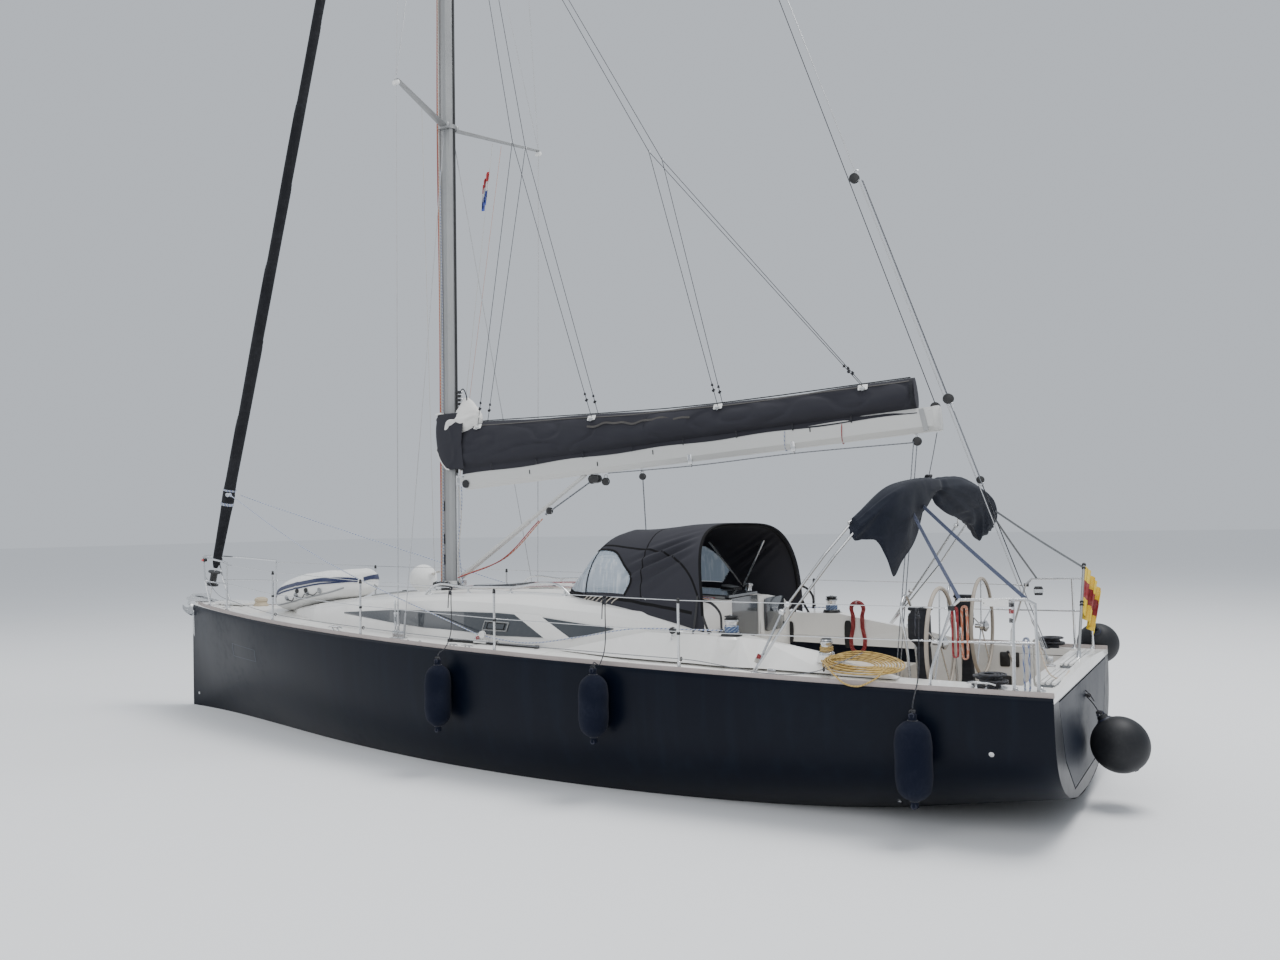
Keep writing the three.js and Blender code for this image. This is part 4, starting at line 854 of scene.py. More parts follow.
@dataclass
class Ropework:
    """The free ropes: coils and hanks on the coamings, the quarters and the rails, and a line across the stern."""

    coil_diameter: float = 0.014
    hank_diameter: float = 0.01
    quarter_diameter: float = 0.014
    rail_hank_diameter: float = 0.0085

    def loops(self, centre: Triple, across: Triple, along: Triple, half: Pair, turns: int, pitch: float,
              layers: int, squeeze: float = 0.0, phase: float = 0.0) -> Points:
        """Oval turns that grow outward by a pitch each, and layer on layer.

        Args:
            centre: the middle of the turns.
            across: the direction of their short half.
            along: the direction of their long half.
            half: the short and the long half of the innermost turn.
            turns: how many turns a layer has.
            pitch: the distance of a turn from the next, and of a layer from the next.
            layers: how many layers there are.
            squeeze: how far the turns draw in at their middle, as a share.
            phase: where round the oval the line starts, in turns.

        Returns:
            The line.
        """
        u = np.array(across, float) / np.linalg.norm(across)
        v = np.array(along, float) / np.linalg.norm(along)
        w = np.cross(u, v)
        steps = 36
        count = turns * layers * steps
        n = np.arange(count + 1) / steps
        layer = np.minimum(np.floor(n / turns), layers - 1)
        inside = n - layer * turns
        lift = layer + np.clip((inside - (turns - 0.5)) / 0.5, 0, 1) * (layer < layers - 1)
        inside = np.minimum(inside, turns)
        back = np.where(layer % 2 == 0, inside, turns - inside)
        angle = 2 * np.pi * (n + phase)
        wide, far = half[0] + pitch * back, half[1] + pitch * back
        short = wide * np.cos(angle)
        long = np.minimum(wide, far) * np.sin(angle) + np.maximum(far - wide, 0) * np.tanh(4 * np.sin(angle))
        waist = squeeze * half[0] * np.exp(-((long - half[1] * 0.25) / (half[1] * 0.35)) ** 2)
        short = np.sign(short) * np.maximum(np.abs(short) - waist, 0)
        return np.array(centre) + short[:, None] * u + long[:, None] * v + (lift * pitch)[:, None] * w

    def yellow_coil(self) -> Rope:
        """The coil outside the port coaming: its turns lie in a bundle forward, fan out aft and one hangs loose."""
        d = self.coil_diameter
        steps, turns = 36, 10
        n = np.arange(turns * steps + 1) / steps
        k = np.minimum(n, turns - 0.001)
        row, column = np.floor(k) % 3, np.floor(k) // 3
        ease = np.clip((k - np.floor(k) - 0.82) / 0.18, 0, 1)
        row_next, column_next = (np.floor(k) + 1) % 3, (np.floor(k) + 1) // 3
        row, column = row + (row_next - row) * ease, column + (column_next - column) * ease
        angle = 2 * np.pi * n
        share = (1 - np.cos(angle)) / 2
        fore, aft = 0.235 + 1.45 * d * column, -0.14 - 1.9 * d * n
        along = (fore + aft) / 2 + (fore - aft) / 2 * np.cos(angle)
        across = (0.055 + 0.0145 * n) * np.sin(angle)
        lift = 1.45 * d * row * (1 - share) + 0.012 * np.sin(angle) ** 2
        u, w = np.array([0, 0.945, -0.327]), np.array([0, 0.327, 0.945])
        line = np.array([-4.44, 1.47, 1.292]) + along[:, None] * [1, 0, 0] + across[:, None] * u + lift[:, None] * w
        loose = through([tuple(line[-1]), (-4.16, 1.56, 1.325), (-4.24, 1.66, 1.3), (-4.33, 1.722, 1.235),
                         (-4.42, 1.742, 1.175), (-4.53, 1.744, 1.16), (-4.63, 1.74, 1.2), (-4.69, 1.715, 1.24),
                         (-4.73, 1.64, 1.3), (-4.78, 1.54, 1.295)], 60)
        line = np.concatenate([line, loose[1:]])
        return Rope("yellow_coil", line, d, ROPE_YELLOW, "object", "limp", "coiled")

    def red_hank(self) -> Rope:
        """The hank on the inside of the starboard coaming, drawn in at its waist."""
        line = self.loops((-3.56, -1.15, 1.33), (1, 0, 0), (0, 0, 1), (0.062, 0.25), 3,
                          self.hank_diameter * 1.25, 3, 0.75, 0.25)
        return Rope("red_hank", line, self.hank_diameter, ROPE_RED, "object", "limp", "coiled")

    def quarter_coil(self, name: str, side: int) -> Rope:
        """A flat coil on a quarter of the deck."""
        x, y = -5.5, side * 1.42
        z = HULL.level(x, y) + 0.008
        line = self.loops((x, y, z), (1, 0, 0), (0, 1, 0), (0.045, 0.05), 4, self.quarter_diameter * 1.12, 7)
        line[:, 0] += 0.03 * np.sin(np.arange(len(line)) / 620.0 * 2 * np.pi)
        line[:, 1] += 0.02 * np.sin(np.arange(len(line)) / 410.0 * 2 * np.pi)
        return Rope(name, line, self.quarter_diameter, ROPE_BLACK, "bare", "limp", "coiled")

    def build(self) -> None:
        """Makes them all."""
        self.yellow_coil().build()
        self.red_hank().build()
        for name, place, far, finish in (("red_rail_hank", (-5.27, 1.575, 1.6), 0.19, ROPE_RED),
                                         ("orange_rail_hank", (-5.345, 1.575, 1.6), 0.2, ROPE_ORANGE),
                                         ("blue_corner_hank", (-5.78, 1.47, 1.36), 0.2, ROPE_BLUE),
                                         ("white_corner_hank", (-5.85, 1.47, 1.38), 0.17, ROPE_WHITE)):
            line = self.loops(place, (1, 0, 0), (0, 0, 1), (0.016, far), 1, 0.0094, 4, 0.0, 0.25)
            Rope(name, line, self.rail_hank_diameter, finish, "object", "limp", "coiled").build()
        sag = through([(-5.87, 1.48, 1.55), (-5.9, 1.3, 1.31), (-5.93, 1.02, 1.21), (-5.95, 0.78, 1.2),
                       (-5.95, 0.55, 1.21)], 60)
        Rope("cream_stern_line", sag, 0.013, ROPE_CREAM, "object", "limp", "hanging").build()
        self.quarter_coil("port_quarter_coil", 1).build()
        self.quarter_coil("starboard_quarter_coil", -1).build()


def waves(points: Points, length: float, seed: int, count: int = 7) -> Points:
    """Smooth unevenness, about -1 to 1, over points: the sum of sine waves that run in seeded directions.

    Args:
        points: where to read it.
        length: the shortest wave's length.
        seed: the seed of the directions.
        count: how many waves are added.

    Returns:
        One value for each point.
    """
    rng = np.random.default_rng(seed)
    ways = rng.normal(size=(count, 3))
    ways *= (rng.uniform(0.35, 1.0, count) / np.linalg.norm(ways, axis=1))[:, None]
    phases = rng.uniform(0, 2 * np.pi, count)
    return np.sin(points @ ways.T * 2 * np.pi / length + phases).sum(-1) / math.sqrt(count)


def creases(points: Points, length: float, seed: int, narrow: float = 3.5) -> Points:
    """Narrow ridges from 0 to 1 that wander over points, where slow waves cross zero."""
    return np.maximum(0, 1 - np.abs(waves(points, length, seed)) * narrow)


def normals_of(points: Points) -> Points:
    """The unit normals of a grid of points, from the cross product of its two directions."""
    n = np.cross(np.gradient(points, axis=1), np.gradient(points, axis=0))
    return n / np.maximum(np.linalg.norm(n, axis=-1, keepdims=True), 1e-9)


def ribbon(path: Points, normal: Points, width: float, finish: Finish, lift: float = 0.0,
           thick: float = 0.002) -> Patch:
    """A flat strip along a line on a surface: six corners across, square to the line and to the surface's normal.

    Args:
        path: the line's points.
        normal: the surface's normal at each of them, or one for all.
        width: how wide it is.
        finish: its finish.
        lift: how far it stands off.
        thick: how thick it is.

    Returns:
        The patch.
    """
    normal = np.broadcast_to(np.asarray(normal, float), path.shape)
    ahead = np.gradient(path, axis=0)
    side = np.cross(ahead, normal)
    side /= np.maximum(np.linalg.norm(side, axis=1, keepdims=True), 1e-9)
    w = width / 2
    corners = [(-w, 0), (-w * 0.97, thick), (w * 0.97, thick), (w, 0), (w * 0.9, -thick * 0.3),
               (-w * 0.9, -thick * 0.3)]
    points = np.stack([path + side * a + normal * (b + lift) for a, b in corners], 1)
    return grid(points, finish, wrap=True, caps=(True, True), tile=(1.0, length_of(path) / width))


@dataclass
class BoomFrame:
    """The boom's own frame: -X runs aft from the gooseneck along the spar."""

    gooseneck: Triple = (0.985, 0.0, 3.06)
    rise: float = 4.3
    swing: float = 4.95

    def matrix(self) -> Points:
        """The 4 by 4 matrix: raised about Y, swung about Z, then moved to the gooseneck."""
        turn = Matrix.Rotation(math.radians(self.swing), 4, "Z") @ Matrix.Rotation(math.radians(self.rise), 4, "Y")
        return np.array(Matrix.Translation(self.gooseneck) @ turn)

    def place(self, points: Points | Triple) -> Points:
        """Moves points from the boom's frame to the boat's."""
        m = self.matrix()
        return np.asarray(points, float) @ m[:3, :3].T + m[:3, 3]


BOOM_FRAME = BoomFrame()


@dataclass
class SailBag:
    """The bag on the boom with the stowed mainsail. Rows: distance along the boom, height, share of the width."""

    rows: tuple[Triple, ...] = (
        (-0.06, 0.53, 0.92), (-0.3, 0.56, 1.0), (-0.7, 0.53, 1.06), (-1.2, 0.49, 1.05), (-1.7, 0.45, 1.02),
        (-2.2, 0.412, 0.98), (-2.8, 0.37, 0.93), (-3.4, 0.344, 0.88), (-4.1, 0.33, 0.82), (-5.1, 0.32, 0.7),
        (-5.5, 0.315, 0.62),
    )
    half: tuple[Pair, ...] = (
        (0.062, 0.0), (0.12, 0.1), (0.16, 0.26), (0.167, 0.4), (0.155, 0.56), (0.128, 0.74), (0.086, 0.9),
        (0.03, 0.985), (0.0, 1.0),
    )
    base: float = 0.1235
    hangers: tuple[float, ...] = (-0.35, -1.89, -3.42, -4.99)

    def spread(self, x: Points) -> tuple[Points, Points]:
        """Height and width share at each x, the rows' corners rounded off by a moving mean."""
        table = np.array(self.rows)
        shifts = np.linspace(-0.25, 0.25, 15)
        weight = np.hanning(17)[1:-1] / np.hanning(17).sum()
        high, wide = ((line_table(table, c, x[:, None] + shifts) * weight).sum(-1) for c in (1, 2))
        return high, wide

    def at_share(self, x: Points, share: float, side: int, out: float = 0.0) -> Points:
        """Points of the bag's side at a share of its height, in the boom's frame."""
        x = np.atleast_1d(np.asarray(x, float))
        high, wide = self.spread(x)
        table = np.array(self.half)
        y = np.interp(share, table[:, 1], table[:, 0])
        return np.stack([x, side * (y * wide + out), self.base + high * share], -1)

    def skin(self, rows: int = 300, cols: int = 36) -> Points:
        """The bag's points: the section scaled by the rows, sagging between its hangers, creased across and along."""
        x = np.linspace(self.rows[0][0], self.rows[-1][0], rows)
        high, wide = self.spread(x)
        free = np.minimum(np.abs(x[:, None] - np.array((0.0, *self.hangers, -5.5))[None]).min(axis=1) / 0.6, 1)
        left = through([(0.0, y, f) for y, f in self.half], cols)
        ring_ = np.concatenate([left, left[-2::-1] * [1, -1, 1]])[:, 1:]
        y = ring_[None, :, 0] * wide[:, None] * (1 + 0.05 * free[:, None])
        z = self.base + ring_[None, :, 1] * (high - 0.012 * free**2)[:, None]
        points = np.stack(np.broadcast_arrays(x[:, None], y, z), -1)
        belly = np.sin(np.pi * np.clip(ring_[:, 1], 0, 1))[None, :]
        low = np.exp(-((ring_[:, 1] - 0.3) / 0.25) ** 2)[None, :] * np.exp(-((x + 0.9) / 1.0) ** 2)[:, None]
        slack = waves(points * [1.0, 0.3, 2.2], 0.5, 3) * 0.009 + waves(points * [2.4, 0.4, 1.0], 0.42, 11) * 0.008
        folds = (creases(points * [1.7, 0.2, 3.0], 0.9, 5) * 0.02
                 + creases(points * [1.1, 0.3, 4.6], 0.6, 8, 2.2) * 0.03 * low)
        points = points + normals_of(points) * ((slack + folds) * belly)[..., None]
        drop = 0.05 + 0.008 * np.sin(x * 5.2) + 0.012 * np.clip((x + 1.6) / 1.2, 0, 1)
        hem = [np.stack([x, s * 0.0715 + 0 * x, self.base - drop], -1) for s in (1, -1)]
        return np.concatenate([hem[0][:, None], points, hem[1][:, None]], 1)

    def webbing(self) -> list[Patch]:
        """The faded strips, the hangers' patches, the band at the aft end, the foot's loops and the crest's zip."""
        patches = []
        x = np.linspace(-0.12, -5.46, 160)
        for side in (1, -1):
            line = self.at_share(x, 0.9, side, 0.004)
            line[:, 2] -= 0.01 * np.sin(x * 2.1) ** 2
            patches.append(ribbon(line, (0, side * 0.75, 0.66), 0.014, FADED_CANVAS, 0.006))
            for h in self.hangers:
                spot = self.at_share(h, 0.88, side, 0.011)[0]
                face = upright(spot, (0, side * 0.8, 0.6))
                patches += placed([slab((0.1, 0.07, 0.006), WHITE_PLASTIC, 0.2), slab((0.06, 0.02, 0.012), STAINLESS)
                                   .moved(0, 0.02, 0.004), ring(0.014, 0.004, STAINLESS, 14, 6).moved(0, 0.04, 0.006)],
                                  face)
            up = np.concatenate([self.at_share(-5.47, f, side, 0.006) for f in np.linspace(0.03, 0.98, 20)])
            patches.append(ribbon(up, (0, side, 0.1), 0.03, COVER_CLOTH, 0.004))
            for k in np.arange(-0.5, -5.4, -0.62):
                spot = self.at_share(k, 0.04, side, 0.012)[0]
                patches.append(rod(spot, spot + [0, side * 0.002, -0.075], 0.006, ROPE_BLACK, 6))
        zip_line = np.concatenate([self.at_share(v, 0.999, 1) for v in x])
        zip_line[:, 1] *= 0
        patches.append(ribbon(zip_line, (0, 0, 1), 0.05, COVER_CLOTH, 0.006, 0.004))
        creased = self.at_share(np.linspace(-1.85, -3.1, 90), 0.66, 1, 0.006)
        creased[:, 2] += 0.014 * np.sin(creased[:, 0] * 11) + 0.008 * np.sin(creased[:, 0] * 27 + 1)
        patches.append(ribbon(creased, (0, 0.93, 0.36), 0.024, FADED_CANVAS, 0.004, 0.007))
        return patches

    def collar(self) -> bpy.types.Object:
        """The bag's fore part: an open sleeve round the mast, whose lower edge rises round the spar's front."""
        rows, cols = 40, 90
        t, s = np.meshgrid(np.linspace(0, 1, rows), np.linspace(-1, 1, cols), indexing="ij")
        x = np.where(np.abs(s) > 0.38, 0.85 + 0.21 * (1 - (np.abs(s) - 0.38) / 0.62), 0.0)
        a = np.clip(1 - np.abs(s) / 0.38, 0, 1) * np.pi / 2
        x = np.where(np.abs(s) <= 0.38, 1.06 + 0.275 * np.sin(a) ** 0.8, x)
        wide = 0.1 + 0.065 * np.sin(np.pi * np.clip(0.12 + 0.8 * t, 0, 1))
        y = np.sign(s) * wide * np.where(np.abs(s) <= 0.38, np.cos(a) ** 0.7, 1.0)
        low = 3.19 + 0.3 * np.clip((x - 1.08) / 0.25, 0, 1) ** 1.6
        z = low + (3.868 + 0.012 * (1.3 - x) - low) * t
        points = np.stack([x, y, z], -1)
        points += normals_of(points) * (waves(points, 0.3, 17) * 0.007 + creases(points, 0.4, 19) * 0.01)[..., None]
        rim = points[-1] + [0, 0, 0.006]
        band = ribbon(rim[34:58], (0, 0, 1), 0.05, WHITE_PLASTIC, 0.0, 0.012)
        edge = tube(points[0, 28:62], 0.009, SAIL_CLOTH, 8)
        made = make_piece("bag_collar", [grid(points, CANVAS, tile=(1, 1)), band, edge], None, thick=0.003, sharp=60)
        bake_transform(made)
        return made

    def sail_head(self) -> None:
        """The mainsail's head, folded down on the bag beside the mast: a crumpled cone and a roll before it."""
        s, t = np.meshgrid(np.linspace(0, 1, 46), np.arange(56) / 56, indexing="ij")
        a = 2 * np.pi * t
        size = np.sin(np.pi * np.clip(0.04 + 0.93 * s, 0, 1)) ** 0.6 * (1 - 0.62 * s)
        probe = np.stack([np.cos(a) * size, np.sin(a) * size, s * 1.5], -1)
        size = size * (1 + 0.16 * waves(probe, 1.1, 41) + 0.14 * creases(probe, 1.4, 43))
        cone = np.stack([0.86 + 0.3 * size * np.cos(a) + 0.03 * s, 0.02 + 0.15 * size * np.sin(a),
                         3.6 + 0.46 * s - 0.05 * (1 - s) * np.cos(a)], -1)
        u = np.linspace(0, 1, 40)[:, None]
        w = 2 * np.pi * t[:40]
        r = 0.072 * np.sin(np.pi * np.clip(0.06 + 0.9 * u, 0, 1)) ** 0.35
        probe = np.stack([np.cos(w), np.sin(w), u * 3 + 0 * w], -1)
        r = r * (1 + 0.12 * np.cos(3 * w + 5 * u) + 0.12 * waves(probe, 1.2, 45))
        roll = np.stack([1.12 - 0.16 * u + r * np.cos(w), 0.125 + 0 * u + 0.7 * r * np.sin(w),
                         3.64 + 0.26 * u - 0.12 * u**2 + r * np.sin(w) * 0.4], -1)
        patches = [grid(cone, SAIL_CLOTH, wrap=True, caps=(True, True)), grid(roll, SAIL_CLOTH, wrap=True,
                                                                              caps=(True, True))]
        made = make_piece("mainsail_head", patches, None, sharp=70)
        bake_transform(made)
        slides = []
        for k in range(6):
            slides += placed([slab((0.04, 0.05, 0.035), BLACK_PLASTIC), ring(0.018, 0.005, STAINLESS, 12, 6)
                              .placed(upright((-0.03, 0, 0), (0, 1, 0)))], upright((1.02, 0.0, 3.9 + 0.048 * k)))
        loops = through([(1.0, 0.02, 4.12), (0.93, 0.04, 4.17), (0.86, 0.05, 4.06), (0.87, 0.04, 3.98)], 20)
        slides.append(tube(loops, 0.008, ROPE_BLACK, 6))
        make_piece("mainsail_slides", slides)

    def build(self) -> None:
        """The bag and all that is sewn to it."""
        points = self.skin()
        ends = [np.stack([edge, edge[::-1]]) for edge in (points[0], points[-1])]
        patches = [grid(points, CANVAS, tile=(1.0, 6.0)), *(grid(end, CANVAS) for end in ends), *self.webbing()]
        make_piece("stowed_mainsail_bag", placed(patches, BOOM_FRAME.matrix()), "boom_rig",
                   ("sail_bag",), 60)
        self.collar()
        self.sail_head()


@dataclass
class BoomGear:
    """Everything that hangs on the boom: its end, the sheave, blocks, the lines under it and those that hold it up."""

    end: float = -5.7
    low: float = -0.1225

    def crossing(self, name: str, path: Points, radius: float, finish: Finish, start: Triple, end: Triple,
                 extra: list[Patch] | None = None) -> None:
        """A line that runs from the boat to the boom, built once in the boat's frame."""
        made = make_piece(name, [tube(path, radius, finish, 6), *(extra or [])], None)
        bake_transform(made)

    def build(self) -> None:
        """Builds it."""
        place = BOOM_FRAME.place
        own, on_boom = [], BOOM_FRAME.matrix()
        section = np.array([(-0.04, -0.118), (0.04, -0.118), (0.064, -0.07), (0.064, 0.085), (0.045, 0.118),
                            (-0.045, 0.118), (-0.064, 0.085), (-0.064, -0.07)])
        cap = np.array([(self.end + 0.05, 0, 0), (self.end - 0.012, 0, 0), (self.end - 0.02, 0, 0)], float)
        own.append(sweep(section, cap, BOOM_PAINT, up=(0, 0, 1), scale=np.array([1.06, 1.06, 0.97])))
        own.append(ribbon(np.array([(self.end + 0.16, 0.068, 0.11), (self.end + 0.13, 0.068, -0.11)]), (0, 1, 0), 0.05,
                          SPAR_ALLOY, 0.0, 0.004))
        sheave = [(0, -0.016), (0.05, -0.016), (0.04, 0), (0.05, 0.016), (0, 0.016)]
        own.append(turned(sheave, BLACK_PLASTIC, 20).placed(upright((-0.1, 0.062, -0.055), (0, 1, 0))))
        own.append(turned(sheave, BLACK_PLASTIC, 20).placed(upright((self.end + 0.03, 0.0, 0.115), (0, 1, 0))))
        for x in (-3.03, -4.2):
            own.append(slab((0.05, 0.026, 0.11), STAINLESS).moved(x, 0.056, -0.1))
            own += placed([ring(0.016, 0.005, STAINLESS, 14, 6)], upright((x, 0.03, -0.165), (1, 0, 0)))
        for x, finish in ((-4.12, ROPE_BLUE), (-4.73, ROPE_RED)):
            a = np.linspace(0, 2 * np.pi, 33)
            loop = np.stack([x - 0.012 * np.cos(a), 0.074 * np.sin(a), 0.128 * np.cos(a) - 0.006], -1)
            loop[-1] = loop[0]
            own.append(tube(loop, 0.005, finish, 6))
        for x, z in ((-1.0, -0.01), (-1.9, -0.02), (-2.6, 0.03), (-4.4, 0.05)):
            own.append(slab((0.012, 0.006, 0.05), BLACK_PLASTIC).moved(x, 0.067, z))
        outhaul = through([(-2.0, 0.02, -0.135), (-3.03, 0.03, -0.17), (-4.2, 0.03, -0.172), (-5.42, 0.02, -0.21)], 60)
        own.append(tube(outhaul, 0.006, ROPE_GREY, 6))
        own += placed(block(0.1, BLACK_PLASTIC, STAINLESS), upright((-5.46, 0, -0.125), (0, 0, -1)))
        own += placed(shackle(0.05, STAINLESS), upright((-5.46, 0, -0.12), (0, 0, -1)))
        own += placed(block(0.09, BLACK_PLASTIC, STAINLESS), upright((-1.78, 0, -0.125), (0, 0, -1)))
        own += placed(shackle(0.05, STAINLESS), upright((-2.42, 0, -0.12), (0, 0, -1)))
        own += placed(block(0.085, BLACK_PLASTIC, STAINLESS), upright((-2.42, 0, -0.155), (0, 0, -1)))
        make_piece("boom_fittings", placed(own, on_boom), "boom_rig")
        mid = np.array([-0.27, 0.02, 2.62])
        fall = through([(0.98, 0.04, 1.9), (0.34, 0.0, 2.12), tuple(mid + [0.05, 0, -0.05])], 20)
        rise = np.linspace(mid, place((-1.78, 0, -0.2)), 20)
        tackle = [tube(fall, 0.0075, ROPE_ORANGE, 6), tube(fall + [0.03, 0.03, -0.02], 0.0065, ROPE_RED, 6),
                  tube(rise, 0.006, ROPE_GREY, 6), tube(rise + [0, 0.02, 0], 0.006, ROPE_GREY, 6),
                  *placed(block(0.09, BLACK_PLASTIC, STAINLESS), upright(mid, (-0.5, 0, 0.4))),
                  *placed([slab((0.16, 0.1, 0.1), BLACK_PLASTIC, 0.5, 0.4)],
                          upright(place((-1.82, 0, -0.18)), (0, 0, 1))),
                  *placed(block(0.1, BLACK_PLASTIC, STAINLESS), upright(place((-1.96, 0, -0.15)), (0, 0, -1)))]
        made = make_piece("vang_tackle", tackle, None)
        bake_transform(made)
        foot, head = np.array([-4.3, -0.12, 0.68]), place((-5.46, 0, -0.2))
        sheet_path = np.linspace(foot + [0, 0, 0.12], head, 30)
        self.crossing("mainsheet_falls", sheet_path, 0.0055, ROPE_GREY, tuple(foot), tuple(head),
                      [tube(sheet_path + [0.03, 0.02, 0], 0.0055, ROPE_GREY, 6)])
        low = np.array([-0.71, -1.62, 1.31])
        head = place((-2.42, 0, -0.26))
        self.crossing("boom_preventer", np.linspace(low, head, 24), 0.007, ROPE_GREY, tuple(low), tuple(head))
        tip, top = place((self.end + 0.03, 0, 0.16)), np.array([0.63, 0.0, 19.2])
        self.crossing("topping_lift", np.linspace(top, tip, 40), 0.0045, ROPE_BLACK, tuple(top), tuple(tip))
        self.lazy_jacks()

    def lazy_jacks(self) -> None:
        """Two legs a side: each comes down from the mast to a ring and parts to two hangers on the bag."""
        bag = SailBag()
        for side, word in ((1, "port"), (-1, "starboard")):
            for tag, top, knot_at, hangers in (
                    ("fore", (1.06, side * 0.07, 12.3), (0.12, side * 0.13 - 0.07, 7.06), bag.hangers[:2]),
                    ("aft", (1.06, side * 0.07, 11.6), (-1.66, side * 0.15 - 0.23, 6.63), bag.hangers[2:])):
                parts = [tube(np.linspace(top, knot_at, 40), 0.004, ROPE_BLACK, 5),
                         ring(0.018, 0.004, STAINLESS, 12, 5).placed(upright(knot_at, (0, 1, 0)))]
                for h in hangers:
                    foot = BOOM_FRAME.place(bag.at_share(h, 0.9, side, 0.012))[0]
                    parts.append(tube(np.linspace(knot_at, foot, 36), 0.0038, ROPE_BLACK, 5))
                    way = np.array(knot_at) - foot
                    near = foot + way * 0.06
                    parts += [knot(near, 0.034, ROPE_BLACK, (1, 0, 0.2)),
                              knot(near + way * 0.02, 0.026, ROPE_BLACK, (0, 1, 0))]
                made = make_piece(f"{word}_{tag}_lazy_jack", parts, None)
                tuple(BOOM_FRAME.place(bag.at_share(hangers[1], 1.0, side))[0])
                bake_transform(made)
                tuple(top)


def upright(place: Triple | Points, up: Triple | Points = (0, 0, 1), ahead: Triple | Points = (1, 0, 0)) -> Points:
    """A 4 by 4 matrix that puts local +Z along up, and local +X as near to ahead as it can be, at a place."""
    z = np.array(up, float) / np.linalg.norm(up)
    y = np.cross(z, np.array(ahead, float))
    if np.linalg.norm(y) < 1e-6:
        y = np.cross(z, [0.0, 1.0, 0.1])
    y /= np.linalg.norm(y)
    matrix = np.eye(4)
    matrix[:3, 0], matrix[:3, 1], matrix[:3, 2], matrix[:3, 3] = np.cross(y, z), y, z, place
    return matrix


def on_deck(x: float, y: float, ahead: Triple = (1, 0, 0), lift: float = 0.0) -> Points:
    """The matrix of a fitting that stands square on the deck."""
    slope = 2 * HULL.camber * y / HULL.edge(x) ** 2
    return upright((x, y, HULL.level(x, y) + lift), (-0.03, slope, 1), ahead)


def on_roof(x: float, y: float, ahead: Triple = (1, 0, 0), lift: float = 0.0) -> Points:
    """The matrix of a fitting that stands square on the coachroof."""
    z = ROOF.level(x, y)
    fall = (ROOF.level(x + 0.03, y) - ROOF.level(x - 0.03, y)) / 0.06
    lean = (ROOF.level(x, y + 0.02) - ROOF.level(x, y - 0.02)) / 0.04
    return upright((x, y, z + lift), (-fall, -lean, 1), ahead)


def rod(a: Triple | Points, b: Triple | Points, radius: float, finish: Finish, sides: int = 8) -> Patch:
    """A straight round bar."""
    return tube(np.array([a, b], float), radius, finish, sides)


def ball(radius: float, finish: Finish, sides: int = 14) -> Patch:
    """A ball about the origin: a half circle turned."""
    a = np.linspace(-np.pi / 2, np.pi / 2, 9)
    return turned([(max(0.0, radius * math.cos(v)), radius * math.sin(v)) for v in a], finish, sides)


def ring(radius: float, thick: float, finish: Finish, steps: int = 24, sides: int = 8) -> Patch:
    """A round ring in the XY plane."""
    a = np.linspace(0, 2 * np.pi, steps + 1)
    path = np.stack([radius * np.cos(a), radius * np.sin(a), 0 * a], -1)
    path[-1] = path[0]
    return tube(path, thick, finish, sides)


def placed(patches: list[Patch], matrix: Matrix | Points) -> list[Patch]:
    """All the patches moved by a matrix."""
    return [patch.placed(matrix) for patch in patches]


def horn_cleat(length: float, finish: Finish) -> list[Patch]:
    """A cleat with two horns on two feet, along local X."""
    k = length
    horns = through([(-k / 2, 0, k * 0.2), (-k * 0.3, 0, k * 0.245), (0, 0, k * 0.235), (k * 0.3, 0, k * 0.245),
                     (k / 2, 0, k * 0.2)], 21)
    swell = 0.55 + 0.45 * np.sin(np.pi * np.linspace(0.04, 0.96, 21))
    feet = [turned([(0, 0), (k * 0.11, 0), (k * 0.1, k * 0.03), (k * 0.05, k * 0.1), (k * 0.055, k * 0.22),
                    (0, k * 0.23)], finish, 12).moved(s * k * 0.17) for s in (-1, 1)]
    return [tube(horns, k * 0.055, finish, 10, swell), slab((k * 0.62, k * 0.2, k * 0.05), finish).moved(z=k * 0.015),
            *feet]


def block(size: float, shell: Finish, steel: Finish) -> list[Patch]:
    """A rope block that stands up from the origin: an eye, two cheeks and the sheave between them."""
    parts = [ring(size * 0.22, size * 0.06, steel, 16, 6).placed(upright((0, 0, size * 0.2), (0, 1, 0)))]
    disc = [(0, -0.03), (0.4, -0.03), (0.45, -0.01), (0.45, 0.03), (0.38, 0.06), (0.12, 0.075), (0, 0.075)]
    for side in (1, -1):
        cheek = turned([(r * size, h * size) for r, h in disc], shell, 20)
        parts.append(cheek.placed(upright((0, side * size * 0.14, size * 0.75), (0, side, 0))))
    groove = [(0, -0.1), (0.36, -0.1), (0.3, 0.0), (0.36, 0.1), (0, 0.1)]
    parts.append(turned([(r * size, h * size) for r, h in groove], steel, 18)
                 .placed(upright((0, 0, size * 0.75), (0, 1, 0))))
    return parts


def shackle(size: float, steel: Finish) -> list[Patch]:
    """A bow shackle that stands up from the origin, its pin along local Y."""
    bow = through([(0, -0.32, 0), (0, -0.36, 0.35), (0, -0.2, 0.8), (0, 0, 0.92), (0, 0.2, 0.8), (0, 0.36, 0.35),
                   (0, 0.32, 0)], 19) * size
    return [tube(bow, size * 0.11, steel, 8), rod((0, -0.5 * size, 0), (0, 0.46 * size, 0), size * 0.12, steel),
            ball(size * 0.2, steel, 8).moved(y=-0.52 * size)]


